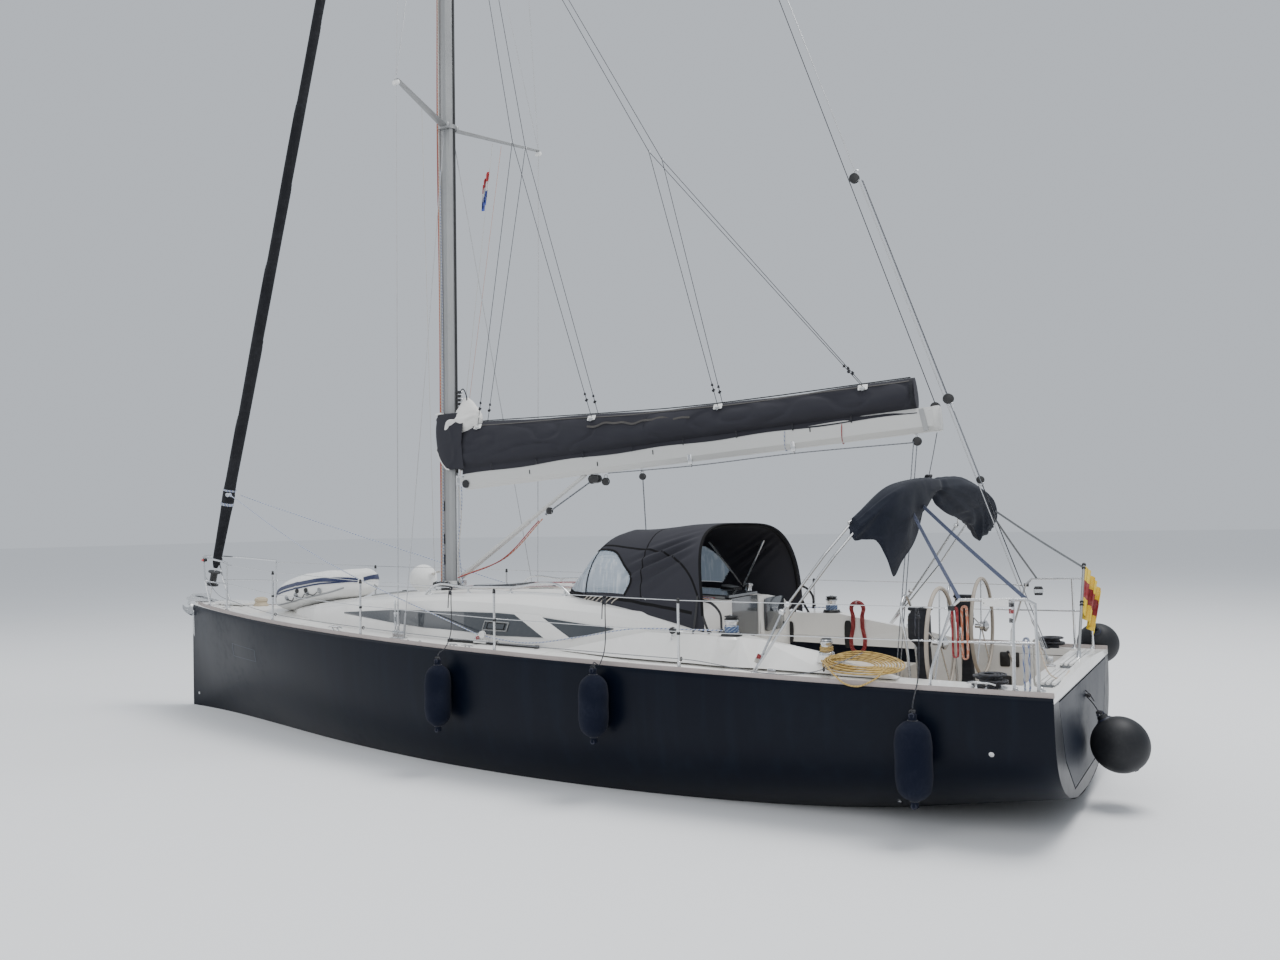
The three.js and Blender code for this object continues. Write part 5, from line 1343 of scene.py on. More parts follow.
def turnbuckle(foot: Triple | Points, head: Triple | Points, length: float, size: float, steel: Finish) -> list[Patch]:
    """A rigging screw on a wire: two threaded ends, an open body between them and a fork with its pin at the foot.

    Args:
        foot: the wire's lower end.
        head: any point further up the wire.
        length: how long it is.
        size: the body's width.
        steel: its finish.

    Returns:
        The patches.
    """
    foot, head = np.array(foot, float), np.array(head, float)
    way = (head - foot) / np.linalg.norm(head - foot)
    place = upright(foot, way)
    s = size
    cheeks = (-s * 0.5, s * 0.5)
    bars = [rod((y, 0, length * 0.3), (y, 0, length * 0.72), s * 0.16, steel) for y in cheeks]
    ends = [turned([(0, 0), (s * 0.6, 0), (s * 0.7, s * 0.3), (s * 0.6, s * 0.9), (0, s * 0.9)], steel, 12)
            .moved(z=h) for h in (length * 0.28, length * 0.7)]
    threads = [rod((0, 0, 0.0), (0, 0, length * 0.45), s * 0.28, steel),
               rod((0, 0, length * 0.6), (0, 0, length), s * 0.28, steel),
               turned([(0, length), (s * 0.42, length), (s * 0.42, length + s), (s * 0.2, length + s * 2.4),
                       (0, length + s * 2.4)], steel, 10)]
    fork = [slab((s * 0.25, s * 1.1, s * 2.0), steel).moved(y * 0.8, 0, s * 0.6) for y in cheeks]
    pin = rod((-s * 0.9, 0, 0), (s * 0.9, 0, 0), s * 0.2, steel)
    return placed([*bars, *ends, *threads, *fork, pin], place)


def flange(radius: float, high: float, tube_radius: float, steel: Finish) -> list[Patch]:
    """A round base with a socket and four screw heads, for a rail or a post."""
    base = turned([(0, -0.004), (radius, -0.004), (radius, 0.003), (radius * 0.93, 0.006), (tube_radius * 1.5, 0.008),
                   (tube_radius * 1.3, 0.014), (tube_radius * 1.25, high), (tube_radius, high + 0.002), (0, high)],
                  steel, 20)
    heads = [ball(radius * 0.11, steel, 8).moved(radius * 0.72 * math.cos(a), radius * 0.72 * math.sin(a), 0.004)
             for a in (0.8, 2.4, 3.9, 5.5)]
    return [base, *heads]


def lashing(place: Triple | Points, way: Triple | Points, radius: float, turns: int, diameter: float,
            finish: Finish) -> Patch:
    """Close turns of thin line round a bar, along its own direction: a tight helix."""
    n = np.linspace(0, turns * 2 * np.pi, turns * 14)
    path = np.stack([radius * np.cos(n), radius * np.sin(n), diameter * 1.05 * n / (2 * np.pi)], -1)
    return tube(path, diameter / 2, finish, 6).placed(upright(place, way))


def knot(place: Triple | Points, size: float, finish: Finish, way: Triple = (0, 0, 1)) -> Patch:
    """An overhand knot drawn up into a lump: a trefoil line, flattened."""
    n = np.linspace(0, 2 * np.pi, 49)
    path = np.stack([np.sin(n) + 2 * np.sin(2 * n), np.cos(n) - 2 * np.cos(2 * n), -1.3 * np.sin(3 * n)], -1) / 3
    path[-1] = path[0]
    return tube(path * size / 2, size * 0.19, finish, 8).placed(upright(place, way))


def rounded_panel(outline: list[Pair] | Points, finish: Finish, lift: float,
                  on: Callable[[Points, Points], Points], steps: int = 10) -> Patch:
    """A thin panel that follows a surface: four corners (x, y) given, filled between and lifted off the surface.

    Args:
        outline: the four corners in order.
        finish: its finish.
        lift: how far it stands off.
        on: gives the surface's height at x, y.
        steps: how finely it is cut each way.

    Returns:
        The patch, with its rim turned down.
    """
    spot = filled(outline, steps)
    z = on(spot[..., 0], spot[..., 1]) + lift
    top = np.concatenate([spot, z[..., None]], -1)
    rim = np.pad(top, ((1, 1), (1, 1), (0, 0)), mode="edge")
    for edge in (np.s_[0], np.s_[-1], np.s_[:, 0], np.s_[:, -1]):
        rim[edge][..., 2] -= lift * 1.6
    return grid(rim, finish)


@dataclass
class Sprayhood:
    """The sprayhood. Rows: x, half width, height of the foot, height of the crown, lean of the crown aft."""

    rows: tuple[tuple[float, ...], ...] = (
        (-1.04, 0.7, 1.75, 1.79, 0.0), (-1.12, 0.8, 1.738, 1.985, 0.17), (-1.25, 0.905, 1.7, 2.2, 0.24),
        (-1.45, 1.01, 1.68, 2.42, 0.225), (-1.95, 1.11, 1.662, 2.468, 0.06), (-2.45, 1.165, 1.575, 2.486, -0.03),
        (-2.9, 1.228, 1.478, 2.48, -0.15),
    )
    window: tuple[Pair, ...] = (
        (0.435, 0.013), (0.3, 0.02), (0.17, 0.045), (0.1, 0.12), (0.07, 0.3), (0.06, 0.5), (0.07, 0.7), (0.1, 0.88),
        (0.17, 0.955), (0.3, 0.98), (0.435, 0.987), (0.673, 0.987), (0.702, 0.951), (0.66, 0.89), (0.612, 0.829),
        (0.45, 0.775), (0.4, 0.7), (0.385, 0.5), (0.4, 0.3), (0.45, 0.225), (0.612, 0.171), (0.66, 0.11),
        (0.702, 0.049), (0.673, 0.013),
    )

    def shape(self, s: Points, t: Points, out: float = 0.0) -> Points:
        """Points of the hood: superellipse arches that lean aft, s from the front row to the aft hem."""
        s, t = np.broadcast_arrays(np.asarray(s, float), np.asarray(t, float))
        step = np.clip(s, 0, 1) * (len(self.rows) - 1)
        x, half, low, high, lean = (smooth_table(tuple((float(i), row[c]) for i, row in
                                                       reversed(list(enumerate(self.rows)))), step) for c in range(5))
        c = np.cos(np.pi * t)
        up = np.sin(np.pi * np.clip(t, 0, 1)) ** 0.55
        y = np.sign(c) * np.abs(c) ** 0.52 * (half + out)
        points = np.stack([x - lean * up**2.2, y, low + (high + out - low) * up], -1)
        crown = np.sin(np.pi * t) ** 0.5 * np.sin(np.pi * np.clip(s, 0, 1)) ** 0.5
        slack = waves(points * [1.0, 0.8, 1.4], 0.6, 21) * 0.009
        sags = (-0.016 * np.sin(np.pi * np.clip(s * 3 - 1.5, 0, 1))
                - 0.014 * np.sin(np.pi * np.clip(s * 2.4 - 1.4, 0, 1)))
        points[..., 2] += (slack + sags * up + creases(points * [0.8, 1.3, 1.1], 1.2, 24) * 0.012) * crown
        points[..., 1] += np.sign(c) * (waves(points, 0.5, 27) * 0.006 + creases(points, 0.9, 29) * 0.01) * crown * (
            np.abs(c) ** 0.5)
        for near, far in ((0.03, 0.27), (0.97, 0.73)):
            along = np.clip((s - 0.66) / 0.32, 0, 1)
            off = t - (near + (far - near) * along)
            pleat = np.cos(off * 2 * np.pi / 0.052 + 5 * along) * np.exp(-(off / 0.085) ** 2) * np.sin(np.pi * along)
            points[..., 2] += 0.016 * pleat
            points[..., 1] += np.sign(c) * 0.02 * pleat
        over = ROOF.top(points[..., 0], points[..., 1]) + 0.005 + out
        points[..., 2] = np.where(np.abs(points[..., 1]) < 1.215, np.maximum(points[..., 2], over), points[..., 2])
        return points

    def frame_at(self, s: Points, t: Points) -> tuple[Points, Points]:
        """Points of the hood and the outward normals there."""
        e = 2e-3
        p = self.shape(s, t)
        ds = self.shape(np.minimum(s + e, 1), t) - self.shape(np.maximum(s - e, 0), t)
        dt = self.shape(s, np.minimum(t + e, 1)) - self.shape(s, np.maximum(t - e, 0))
        n = np.cross(dt, ds)
        n /= np.maximum(np.linalg.norm(n, axis=-1, keepdims=True), 1e-9)
        out = p - np.array([-2.0, 0.0, 1.9])
        return p, n * np.sign((n * out).sum(-1, keepdims=True))

    def strip(self, corners: list[Pair] | Points, width: float, finish: Finish, lift: float = 0.002,
              thick: float = 0.002, count: int = 60) -> Patch:
        """A flat strip along a line of (s, t) corners on the hood."""
        line = through([(a, b, 0.0) for a, b in corners], count)
        p, n = self.frame_at(line[:, 0], line[:, 1])
        return ribbon(p, n, width, finish, lift, thick)

    @staticmethod
    def inside(outline: tuple[Pair, ...], s: Points, t: Points) -> Points:
        """Whether each s, t lies in an outline, by counting the edges that a line from it crosses."""
        hits = np.zeros(s.shape, int)
        for (s0, t0), (s1, t1) in zip(outline, outline[1:] + outline[:1]):
            crosses = (t0 > t) != (t1 > t)
            hits += crosses & (s < (s1 - s0) * (t - t0) / ((t1 - t0) or 1e-9) + s0)
        return hits % 2 == 1

    def build(self) -> None:
        """The canvas with its window let in, the binding, the seams, the bows inside and the straps."""
        rows, cols = 190, 230
        s, t = np.meshgrid(np.linspace(0, 1, rows), 0.5 - 0.5 * np.cos(np.pi * np.linspace(0, 1, cols)),
                           indexing="ij")
        canvas = grid(self.shape(s, t), CANVAS, tile=(2.5, 2.0))
        middle_s, middle_t = ((v[:-1, :-1] + v[1:, 1:]).ravel() / 2 for v in (s, t))
        glass = self.inside(self.window, middle_s, middle_t)
        fold = np.abs(np.sin(t * 140 + 3 * s)) * 0.004
        pane = self.shape(s, t, -0.002) + np.stack([0 * s, 0 * s, fold], -1)
        # The window vinyl takes its pale blue and white streaks as painted sky reflection.
        whole = grid(pane, VINYL_WITH_PAINTED_SKY, tile=(1, 1))
        canvas.faces, canvas.uvs = [canvas.faces[0][~glass]], [canvas.uvs[0][~glass]]
        whole.faces, whole.uvs = [whole.faces[0][glass]], [whole.uvs[0][glass]]
        make_piece("sprayhood_canvas", [canvas], "root", ("sprayhood",), 60, 0.004)
        make_piece("sprayhood_windows", [whole], "root", sharp=60, thick=0.0015)
        sewn = []
        ring_ = [*self.window, self.window[0]]
        sewn.append(self.strip(ring_, 0.022, SEAM_CLOTH, 0.003, 0.002, 260))
        for level in (0.2, 0.8):
            sewn.append(self.strip([(0.1, level), (0.25, level), (0.42, level)], 0.008, SEAM_CLOTH, 0.0, 0.002, 30))
        for side in (0, 1):
            flip = (lambda v: v) if side == 0 else (lambda v: 1 - v)
            sewn.append(self.strip([(0.5, flip(0.235)), (0.7, flip(0.2)), (0.86, flip(0.16)), (0.95, flip(0.09)),
                                    (0.985, flip(0.03))], 0.02, SEAM_CLOTH))
            sewn.append(self.strip([(0.0, flip(0.03)), (0.2, flip(0.012)), (0.45, flip(0.008)), (0.7, flip(0.006)),
                                    (0.95, flip(0.01))], 0.03, SEAM_CLOTH))
            for k in range(7):
                start = 0.49 + 0.022 * k
                line = [(start, flip(0.0015)), (start + 0.012, flip(0.0045)), (start + 0.028, flip(0.008))]
                sewn.append(self.strip(line, 0.012, WEB_PALE, 0.005, 0.001, 8))
        for level, width in ((0.5, 0.014), (0.995, 0.03), (0.74, 0.012)):
            sewn.append(self.strip([(level, v) for v in np.linspace(0.01, 0.99, 15)], width, SEAM_CLOTH, count=120))
        make_piece("sprayhood_seams", sewn, "root", sharp=50)
        self.poles()
        self.straps()

    def poles(self) -> None:
        """Two bows in cloth sleeves inside the canvas, and two struts a side that spread them."""
        steel = []
        for level in (0.52, 0.985):
            v = np.linspace(0.02, 0.98, 60)
            p, n = self.frame_at(np.full(60, level), v)
            steel.append(tube(p - n * 0.022, 0.0135, SEAM_CLOTH, 10))
        steel += both_sides([rod((-2.22, -1.13, 1.76), (-2.58, -0.93, 2.29), POLE_RADIUS, STAINLESS)])
        steel += both_sides([rod((-2.2, -1.13, 1.78), (-1.98, -0.75, 2.28), POLE_RADIUS, STAINLESS)])
        make_piece("sprayhood_bows", steel, "root")

    def straps(self) -> None:
        """Straps and their buckles at the aft corners."""
        soft = []
        for path in ([(-2.83, 1.215, 1.82), (-2.82, 1.235, 1.66), (-2.8, 1.25, 1.5), (-2.78, 1.27, 1.36)],
                     [(-2.84, 1.215, 1.8), (-2.9, 1.23, 1.6), (-2.97, 1.26, 1.45), (-3.0, 1.3, 1.38)],
                     [(-2.85, 1.2, 1.78), (-2.97, 1.19, 1.74), (-3.04, 1.18, 1.66), (-3.05, 1.17, 1.52)]):
            line = through(path, 30)
            soft.append(ribbon(line, (0.25, 0.95, 0.1), 0.026, WEB_BLACK, 0.0, 0.003))
        soft += placed([slab((0.05, 0.04, 0.012), STAINLESS)], upright((-2.99, 1.3, 1.4), (0.2, 1, 0.3)))
        make_piece("sprayhood_straps", both_sides(soft), "root")
        gear = placed(block(0.07, BLACK_PLASTIC, STAINLESS), on_deck(-2.66, 1.4, lift=0.24))
        gear += placed(shackle(0.05, STAINLESS), on_deck(-2.62, 1.34, lift=0.2))
        gear += placed(horn_cleat(0.13, GREY_PLASTIC), on_roof(-2.4, 1.05, (1, -0.4, 0)))
        make_piece("hood_side_blocks", both_sides(gear))


@dataclass
class Bimini:
    """The bimini folded down. Rows: x, y and z of the fore bow's corners, and how far aft the canvas lies there."""

    crown: tuple[tuple[float, ...], ...] = (
        (-4.345, 1.375, 2.45, 0.02), (-4.52, 1.0, 2.69, 0.06), (-4.6, 0.5, 2.78, 0.08), (-4.66, 0.0, 2.8, 0.1),
        (-4.72, -0.5, 2.785, 0.14), (-4.73, -1.0, 2.69, 0.2), (-4.62, -1.35, 2.45, 0.36),
    )
    hang: tuple[Pair, ...] = (
        (1.0, 0.2), (0.93, 0.38), (0.85, 0.34), (0.76, 0.34), (0.67, 0.34), (0.6, 0.28), (0.5, 0.16), (0.45, 0.11),
        (0.41, 0.2), (0.36, 0.38), (0.31, 0.5), (0.24, 0.66), (0.18, 0.77), (0.145, 0.56), (0.105, 0.35), (0.05, 0.24),
        (0.0, 0.17),
    )
    ties: tuple[float, ...] = (0.47,)
    tall: float = 0.07

    def line(self, count: int) -> Points:
        """The middle line of the gathered canvas."""
        return through([(x - 0.048 - back / 2, y, z) for x, y, z, back in self.crown], count)

    def build(self) -> None:
        """The canvas: draped over its line, hanging by a table, with folds that wander round it and one tie."""
        rows, cols = 260, 84
        path = self.line(rows)
        s, t = np.meshgrid(np.linspace(0, 1, rows), np.arange(cols) / cols, indexing="ij")
        angle = 2 * np.pi * t
        ahead = np.gradient(path, axis=0)
        ahead /= np.linalg.norm(ahead, axis=1, keepdims=True)
        side = np.cross(ahead, [0.0, 0.0, 1.0])
        side /= np.linalg.norm(side, axis=1, keepdims=True)
        probe = np.stack([np.cos(angle) * 0.5, np.sin(angle) * 0.5, s * 3.4], -1)
        ties = np.exp(-((s[..., None] - np.array(self.ties)) / 0.02) ** 2).max(-1)
        wide = 0.085 + 0.45 * line_table(np.array([(v, b[3]) for v, b in zip(np.linspace(1, 0, 7), self.crown[::-1])]),
                                        1, s)
        deep = smooth_table(self.hang, s) * (1 - 0.25 * ties)
        low = np.maximum(0, -np.sin(angle))
        fold = np.cos(5 * angle + 3.0 * np.sin(4 * s) + 2.0 * waves(probe, 1.6, 31))
        fan = np.cos(2 * np.pi * (s - 0.2) / (0.075 + 0.11 * low) + 2.2 * waves(probe, 1.2, 37) + np.cos(angle))
        ends = np.sin(np.pi * np.clip(0.03 + 0.94 * s, 0, 1)) ** 0.15
        size = (1 + 0.05 * fold) * (1 - 0.14 * ties) * (1 + 0.07 * waves(probe, 1.0, 33)) * ends
        u = np.cos(angle) * wide * size * (1 - 0.72 * low**1.6) + 0.022 * fan * low * (1 - 0.6 * low**4)
        v = np.where(np.sin(angle) > 0, self.tall * size * np.abs(np.sin(angle)) ** 0.8, -deep * low**1.15 * ends)
        v = (v + 0.014 * waves(probe, 0.7, 35) + 0.02 * creases(probe * [1, 1, 0.7], 1.1, 39)
             - 0.012 * low * np.maximum(0, fan))
        points = path[:, None] + u[..., None] * side[:, None] + v[..., None] * np.array([0, 0, 1.0])
        points += ahead[:, None] * (0.03 * low * waves(probe, 0.8, 36))[..., None]
        cloth = [grid(points, NAVY_CANVAS, wrap=True, caps=(True, True), tile=(1, 7))]
        make_piece("gathered_bimini_canvas", cloth, "root", ("bimini_canvas",), 70)
        self.webbing()

    def webbing(self) -> None:
        """Straps, the rods over the canvas, clamps, lashings and the line that holds the frame up to the boom."""
        soft, hard = [], []
        for a, b, finish in (((-4.58, 0.5, 2.72), (-5.31, 1.555, 1.86), WEB_BLUE),
                             ((-4.62, 0.4, 2.72), (-5.8, 1.515, 1.87), WEB_BLUE),
                             ((-4.95, -1.2, 2.62), (-5.36, -1.55, 1.86), WEB_GREY),
                             ((-4.99, -1.2, 2.6), (-5.9, -0.93, 2.0), WEB_GREY)):
            line = through([a, tuple(np.array(a) * 0.5 + np.array(b) * 0.5 - [0, 0, 0.012]), b], 20)
            soft.append(ribbon(line, (0.3, 0.9, 0.3), 0.03 if finish is WEB_BLUE else 0.02, finish, 0, 0.003))
        for a, b in (((-4.364, 1.385, 2.47), (-4.5, 1.13, 2.64)), ((-4.4, 1.35, 2.44), (-4.51, 1.05, 2.64))):
            hard.append(rod(a, b, POLE_RADIUS, STAINLESS, 10))
        place = BOOM_FRAME.place((-5.66, 0.0, -0.14))
        make_piece("bimini_straps", soft)
        line = through([(-4.7, 0.06, 2.89), tuple((np.array([-4.7, 0.06, 2.89]) + place) / 2 + [0, 0, -0.01]),
                        tuple(place)], 16)
        tied = make_piece("bimini_topping_line", [tube(line, 0.004, ROPE_BLACK, 6), knot(line[0], 0.06, ROPE_BLACK)],
                          None)
        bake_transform(tied)
        for side, foot, spots in ((1, -3.545, ((-3.79, 1.5, 1.715), (-3.84, 1.49, 1.78), (-4.385, 1.33, 2.49))),
                                  (-1, -3.7, ((-4.0, -1.5, 1.65), (-4.06, -1.49, 1.71), (-4.6, -1.36, 2.42)))):
            for spot in spots:
                hard.append(slab((0.055, 0.05, 0.045), STAINLESS, 0.5, 0.3)
                            .placed(upright(spot, (-0.35, 0.1 * side, 1))))
            hard += placed(flange(0.032, 0.03, POLE_RADIUS, STAINLESS), on_deck(foot, side * 1.545, lift=0.002))
            hard += placed([slab((0.07, 0.03, 0.05), STAINLESS)], on_deck(foot - 0.155, side * 1.545, lift=0.02))
            for f, turns, finish in ((0.06, 5, ROPE_WHITE), (0.14, 4, ROPE_RED)):
                spot = np.array([foot, side * 1.545, 1.25]) * (1 - f) + np.array(spots[0]) * f
                hard.append(lashing(spot, (-0.35, 0, 1), 0.019, turns, 0.007, finish))
        make_piece("bimini_clamps_and_feet", hard)


@dataclass
class Fender:
    """One long fender in its knitted sock, hung on a rope: its place, its height range and its radius."""

    name: str
    x: float
    top: float
    bottom: float
    radius: float

    def profile(self) -> list[Pair]:
        """The outline from the lower eye to the upper one, as (radius, height)."""
        r, low, high = self.radius, self.bottom, self.top
        rows = [(0.0, low), (0.03, low + 0.002), (0.034, low + 0.05), (r * 0.5, low + 0.07), (r * 0.86, low + 0.12),
                (r, low + 0.2), (r * 1.01, (low + high) / 2), (r, high - 0.2), (r * 0.86, high - 0.12),
                (r * 0.5, high - 0.07), (0.034, high - 0.05), (0.03, high - 0.002), (0.0, high)]
        fine = through([(a, 0.0, b) for a, b in rows], 72)
        return [(max(float(a), 0.0), float(b)) for a, _, b in fine]

    def build(self) -> None:
        """The fender, the sock's draw lines, the eye's rope and the lanyard up to the guardrail."""
        y = HULL.edge(self.x) + self.radius + 0.006
        body = turned(self.profile(), SOCK, 44, tile=(1.0, 1.6))
        body.points[:, :2] *= (1 + 0.01 * waves(body.points * [1, 1, 0.6], 0.2, 81))[:, None]
        body = body.moved(self.x, y, 0)
        parts = [body]
        for z in (self.top - 0.055, self.bottom + 0.055):
            parts.append(ring(0.036, 0.005, ROPE_BLACK, 20, 6).moved(self.x, y, z))
            parts.append(turned([(0.012, -0.03), (0.02, -0.03), (0.022, 0.03), (0.012, 0.03)], FENDER_EYE, 12)
                         .placed(upright((self.x, y, z + math.copysign(0.04, z - self.bottom - 0.3)), (0, 1, 0))))
        make_piece(f"{self.name}_sock", parts, "root", (self.name,), 50)
        wire_y, rise = HULL.wire(self.x), HULL.rim(self.x) + WIRE_RISE
        deck_y = HULL.edge(self.x) + 0.012
        a = np.linspace(0, 2 * np.pi * 2.25, 44)
        wrap = np.stack([self.x + 0.0125 * (a / (2 * np.pi) - 1), wire_y - 0.017 * np.cos(a),
                         rise + 0.017 * np.sin(a)], -1)
        rope_line = np.concatenate([
            through([(self.x, y, self.top - 0.004), (self.x, y - 0.01, self.top + 0.05),
                     (self.x, deck_y + 0.02, HULL.rim(self.x) + 0.012),
                     (self.x, deck_y - 0.028, HULL.rim(self.x) + 0.06),
                     (self.x - 0.008, wire_y + 0.012, rise - 0.12),
                     (self.x - 0.0125, wire_y + 0.018, rise - 0.02)], 60),
            wrap[14:], [[self.x + 0.012, wire_y + 0.02, rise - 0.03], [self.x + 0.016, wire_y + 0.026, rise - 0.12],
                        [self.x + 0.018, wire_y + 0.03, rise - 0.2]]])
        Rope(f"{self.name}_lanyard", rope_line, 0.01, ROPE_BLACK, "bare", "limp", "hanging").build()
        tie = [knot((self.x - 0.004, wire_y + 0.02, rise - 0.05), 0.035, ROPE_BLACK, (0, 1, 0.2)),
               knot((self.x, y, self.top + 0.012), 0.04, ROPE_BLACK)]
        make_piece(f"{self.name}_knots", tie)


@dataclass
class BallFender:
    """One round fender: its middle, its radius, where its rope is tied, its finishes and its body."""

    name: str
    middle: Triple
    radius: float
    tied: Triple
    skin: Finish
    eye: Finish
    rope: Finish
    body: str = "root"

    def build(self) -> None:
        """The ball: a sphere that draws out to a neck with a ribbed eye, the valve below, and the rope."""
        centre, tied = np.array(self.middle), np.array(self.tied)
        way = (tied - centre) / np.linalg.norm(tied - centre)
        r = self.radius
        a = np.linspace(-np.pi / 2, np.pi * 0.39, 40)
        rows = [(max(0.0, r * math.cos(v)), r * math.sin(v)) for v in a]
        rows += [(r * 0.26, r * 0.985), (r * 0.2, r * 1.03), (r * 0.19, r * 1.1), (r * 0.16, r * 1.16), (0, r * 1.17)]
        skin = turned(rows, self.skin, 64, tile=(3, 2))
        ribs = turned([(r * 0.27, r * 0.96), (r * 0.245, r * 1.02), (r * 0.2, r * 1.04), (r * 0.2, r * 1.0)],
                      self.eye, 28)
        loop = ring(r * 0.105, r * 0.045, self.eye, 24, 10).placed(upright((0, 0, r * 1.2), (0, 1, 0)))
        valve = turned([(0.0, -r * 1.02), (0.02, -r * 1.02), (0.024, -r * 0.99), (0, -r * 0.98)], self.eye, 14)
        make_piece(f"{self.name}_ball", placed([skin, ribs, loop, valve], upright(centre, way)), self.body,
                   (self.name,), 45)
        eye = centre + way * r * 1.2
        gap = float(np.linalg.norm(tied - eye))
        side = np.array([0.012, 0.0, 0.0]) if abs(way[0]) < 0.7 else np.array([0.0, 0.012, 0.0])
        line = through([eye - way * 0.01, eye + way * gap * 0.5 + side * 0.4, tied + side, tied + way * 0.02,
                        tied - side, tied - side * 1.5 - way * min(gap * 0.4, 0.1)], 60)
        Rope(f"{self.name}_lanyard", line, 0.01, self.rope, "bare", "limp", "hanging", self.body).build()
        knots = [knot(eye + way * 0.02, 0.045, self.rope), knot(tied - way * 0.03, 0.04, self.rope)]
        make_piece(f"{self.name}_knots", knots, self.body)


@dataclass
class Dinghy:
    """The small inflatable, stowed bottom up on the foredeck. Rows: x, half width, half depth, middle height."""

    rows: tuple[tuple[float, ...], ...] = (
        (4.0, 0.04, 0.03, 1.575), (3.96, 0.19, 0.1, 1.58), (3.87, 0.34, 0.17, 1.6), (3.7, 0.45, 0.215, 1.635),
        (3.42, 0.52, 0.225, 1.69), (3.1, 0.535, 0.21, 1.75), (2.9, 0.5, 0.205, 1.785), (2.79, 0.43, 0.18, 1.8),
        (2.72, 0.3, 0.13, 1.815), (2.69, 0.04, 0.02, 1.825),
    )

    def skin(self, u: Points, turn: Points, out: float = 0.0) -> Points:
        """Points of the boat: superellipse rings, sunk along the top between the tubes, with a soft uneven skin.

        Args:
            u: the place along the boat, from 0 at the bow to 1.
            turn: the place round the ring, in radians from the port side upward.
            out: the distance outside the skin.

        Returns:
            The points.
        """
        u, turn = np.broadcast_arrays(np.asarray(u, float), np.asarray(turn, float))
        table = np.array(self.rows)
        curve = through([tuple(row[:3]) for row in table], 90)
        places = np.linspace(0, 1, 90)
        x, half, deep = (np.interp(u, places, curve[:, k]) for k in range(3))
        middle = np.interp(-x, -table[:, 0], table[:, 3])
        c, s = np.cos(turn), np.sin(turn)
        y = (half + out) * np.sign(c) * np.abs(c) ** 0.66
        share = np.abs(y) / np.maximum(half, 0.01)
        sunk = 0.03 * np.clip(1 - (share / 0.62) ** 4, 0, 1) * (s > 0) * np.clip(half / 0.5, 0, 1) ** 2
        z = middle + (deep + out) * np.sign(s) * np.abs(s) ** 0.85 - sunk
        points = np.stack([x, y, z], -1)
        uneven = 0.006 * waves(points, 0.45, 91) + 0.006 * creases(points * [1, 0.5, 1], 0.6, 95)
        points[..., 2] += uneven * (s > -0.5)
        return points

    def facing(self, u: Points, turn: Points) -> tuple[Points, Points]:
        """Points of the skin and the outward normals there."""
        e = 4e-3
        u, turn = np.broadcast_arrays(np.asarray(u, float), np.asarray(turn, float))
        p = self.skin(u, turn)
        along = self.skin(np.minimum(u + e, 1), turn) - self.skin(np.maximum(u - e, 0), turn)
        n = np.cross(along, self.skin(u, turn + e) - self.skin(u, turn - e))
        n /= np.maximum(np.linalg.norm(n, axis=-1, keepdims=True), 1e-9)
        return p, n * np.sign((n * (p - [3.3, 0.0, 1.68])).sum(-1, keepdims=True))

    def stripe(self, turn: float, width: float, finish: Finish, first: float = 0.04, last: float = 0.992) -> Patch:
        """A flat band along the side at one turn of the ring."""
        line, normal = self.facing(np.linspace(first, last, 120), turn)
        return ribbon(line, normal, width, finish, 0.004, 0.004)

    def build(self) -> None:
        """The skin, its stripes, the grab lines with their patches, the plugs and the strap over it."""
        u, turn = np.meshgrid(np.linspace(0, 1, 110), np.arange(72) / 72 * 2 * np.pi, indexing="ij")
        parts = [grid(self.skin(u, turn), WHITE_VINYL, wrap=True, caps=(True, True), tile=(2, 3))]
        for flip in ((lambda a: a), (lambda a: math.pi - a)):
            parts += [self.stripe(flip(0.26), 0.052, NAVY_VINYL), self.stripe(flip(0.06), 0.02, NAVY_VINYL),
                      self.stripe(flip(-0.5), 0.02, GREY_VINYL, 0.14, 0.86)]
        make_piece("inflatable_dinghy", parts, "root", ("dinghy",), 60)
        small = []
        for flip in ((lambda a: a), (lambda a: math.pi - a)):
            stops = []
            places = np.linspace(0.4, 0.7, 4)
            for k, place_ in enumerate(places):
                spot, inner = self.skin(place_, flip(-0.25)), self.skin(place_, flip(-0.25), -0.03)
                normal = (spot - inner) / np.linalg.norm(spot - inner)
                small += placed([turned([(0, 0), (0.04, 0), (0.036, 0.006), (0.014, 0.01), (0, 0.01)], GREY_VINYL, 20),
                                 ring(0.015, 0.0045, STAINLESS, 12, 6).placed(upright((0, 0, 0.014), (0, 1, 0)))],
                                upright(spot, normal))
                stops.append(spot + normal * 0.018)
                if k < 3:
                    stops.append(self.skin(place_ + 0.05, flip(-0.42), 0.014))
            small.append(tube(through(stops, 70), 0.0055, ROPE_BLACK, 6))
            for place_, a in ((0.52, -0.05), (0.6, -0.1)):
                spot, inner = self.skin(place_, flip(a)), self.skin(place_, flip(a), -0.03)
                small += placed([turned([(0, 0), (0.03, 0), (0.03, 0.012), (0.016, 0.022), (0, 0.024)], BLACK_PLASTIC,
                                        18)], upright(spot, spot - inner))
        line = self.skin(np.full(70, 0.13), np.linspace(-0.7, np.pi + 0.7, 70), 0.004)
        small.append(ribbon(line, normals_across(line), 0.022, WEB_GREY, 0.0, 0.003))
        make_piece("dinghy_fittings", small)


def normals_across(line: Points) -> Points:
    """Directions square to a line in a plane across the boat, away from the line's middle."""
    ahead = np.gradient(line, axis=0)
    normal = np.cross(ahead, [1.0, 0.0, 0.0])
    normal /= np.maximum(np.linalg.norm(normal, axis=1, keepdims=True), 1e-9)
    return normal * np.sign((normal * (line - line.mean(0))).sum(-1, keepdims=True))


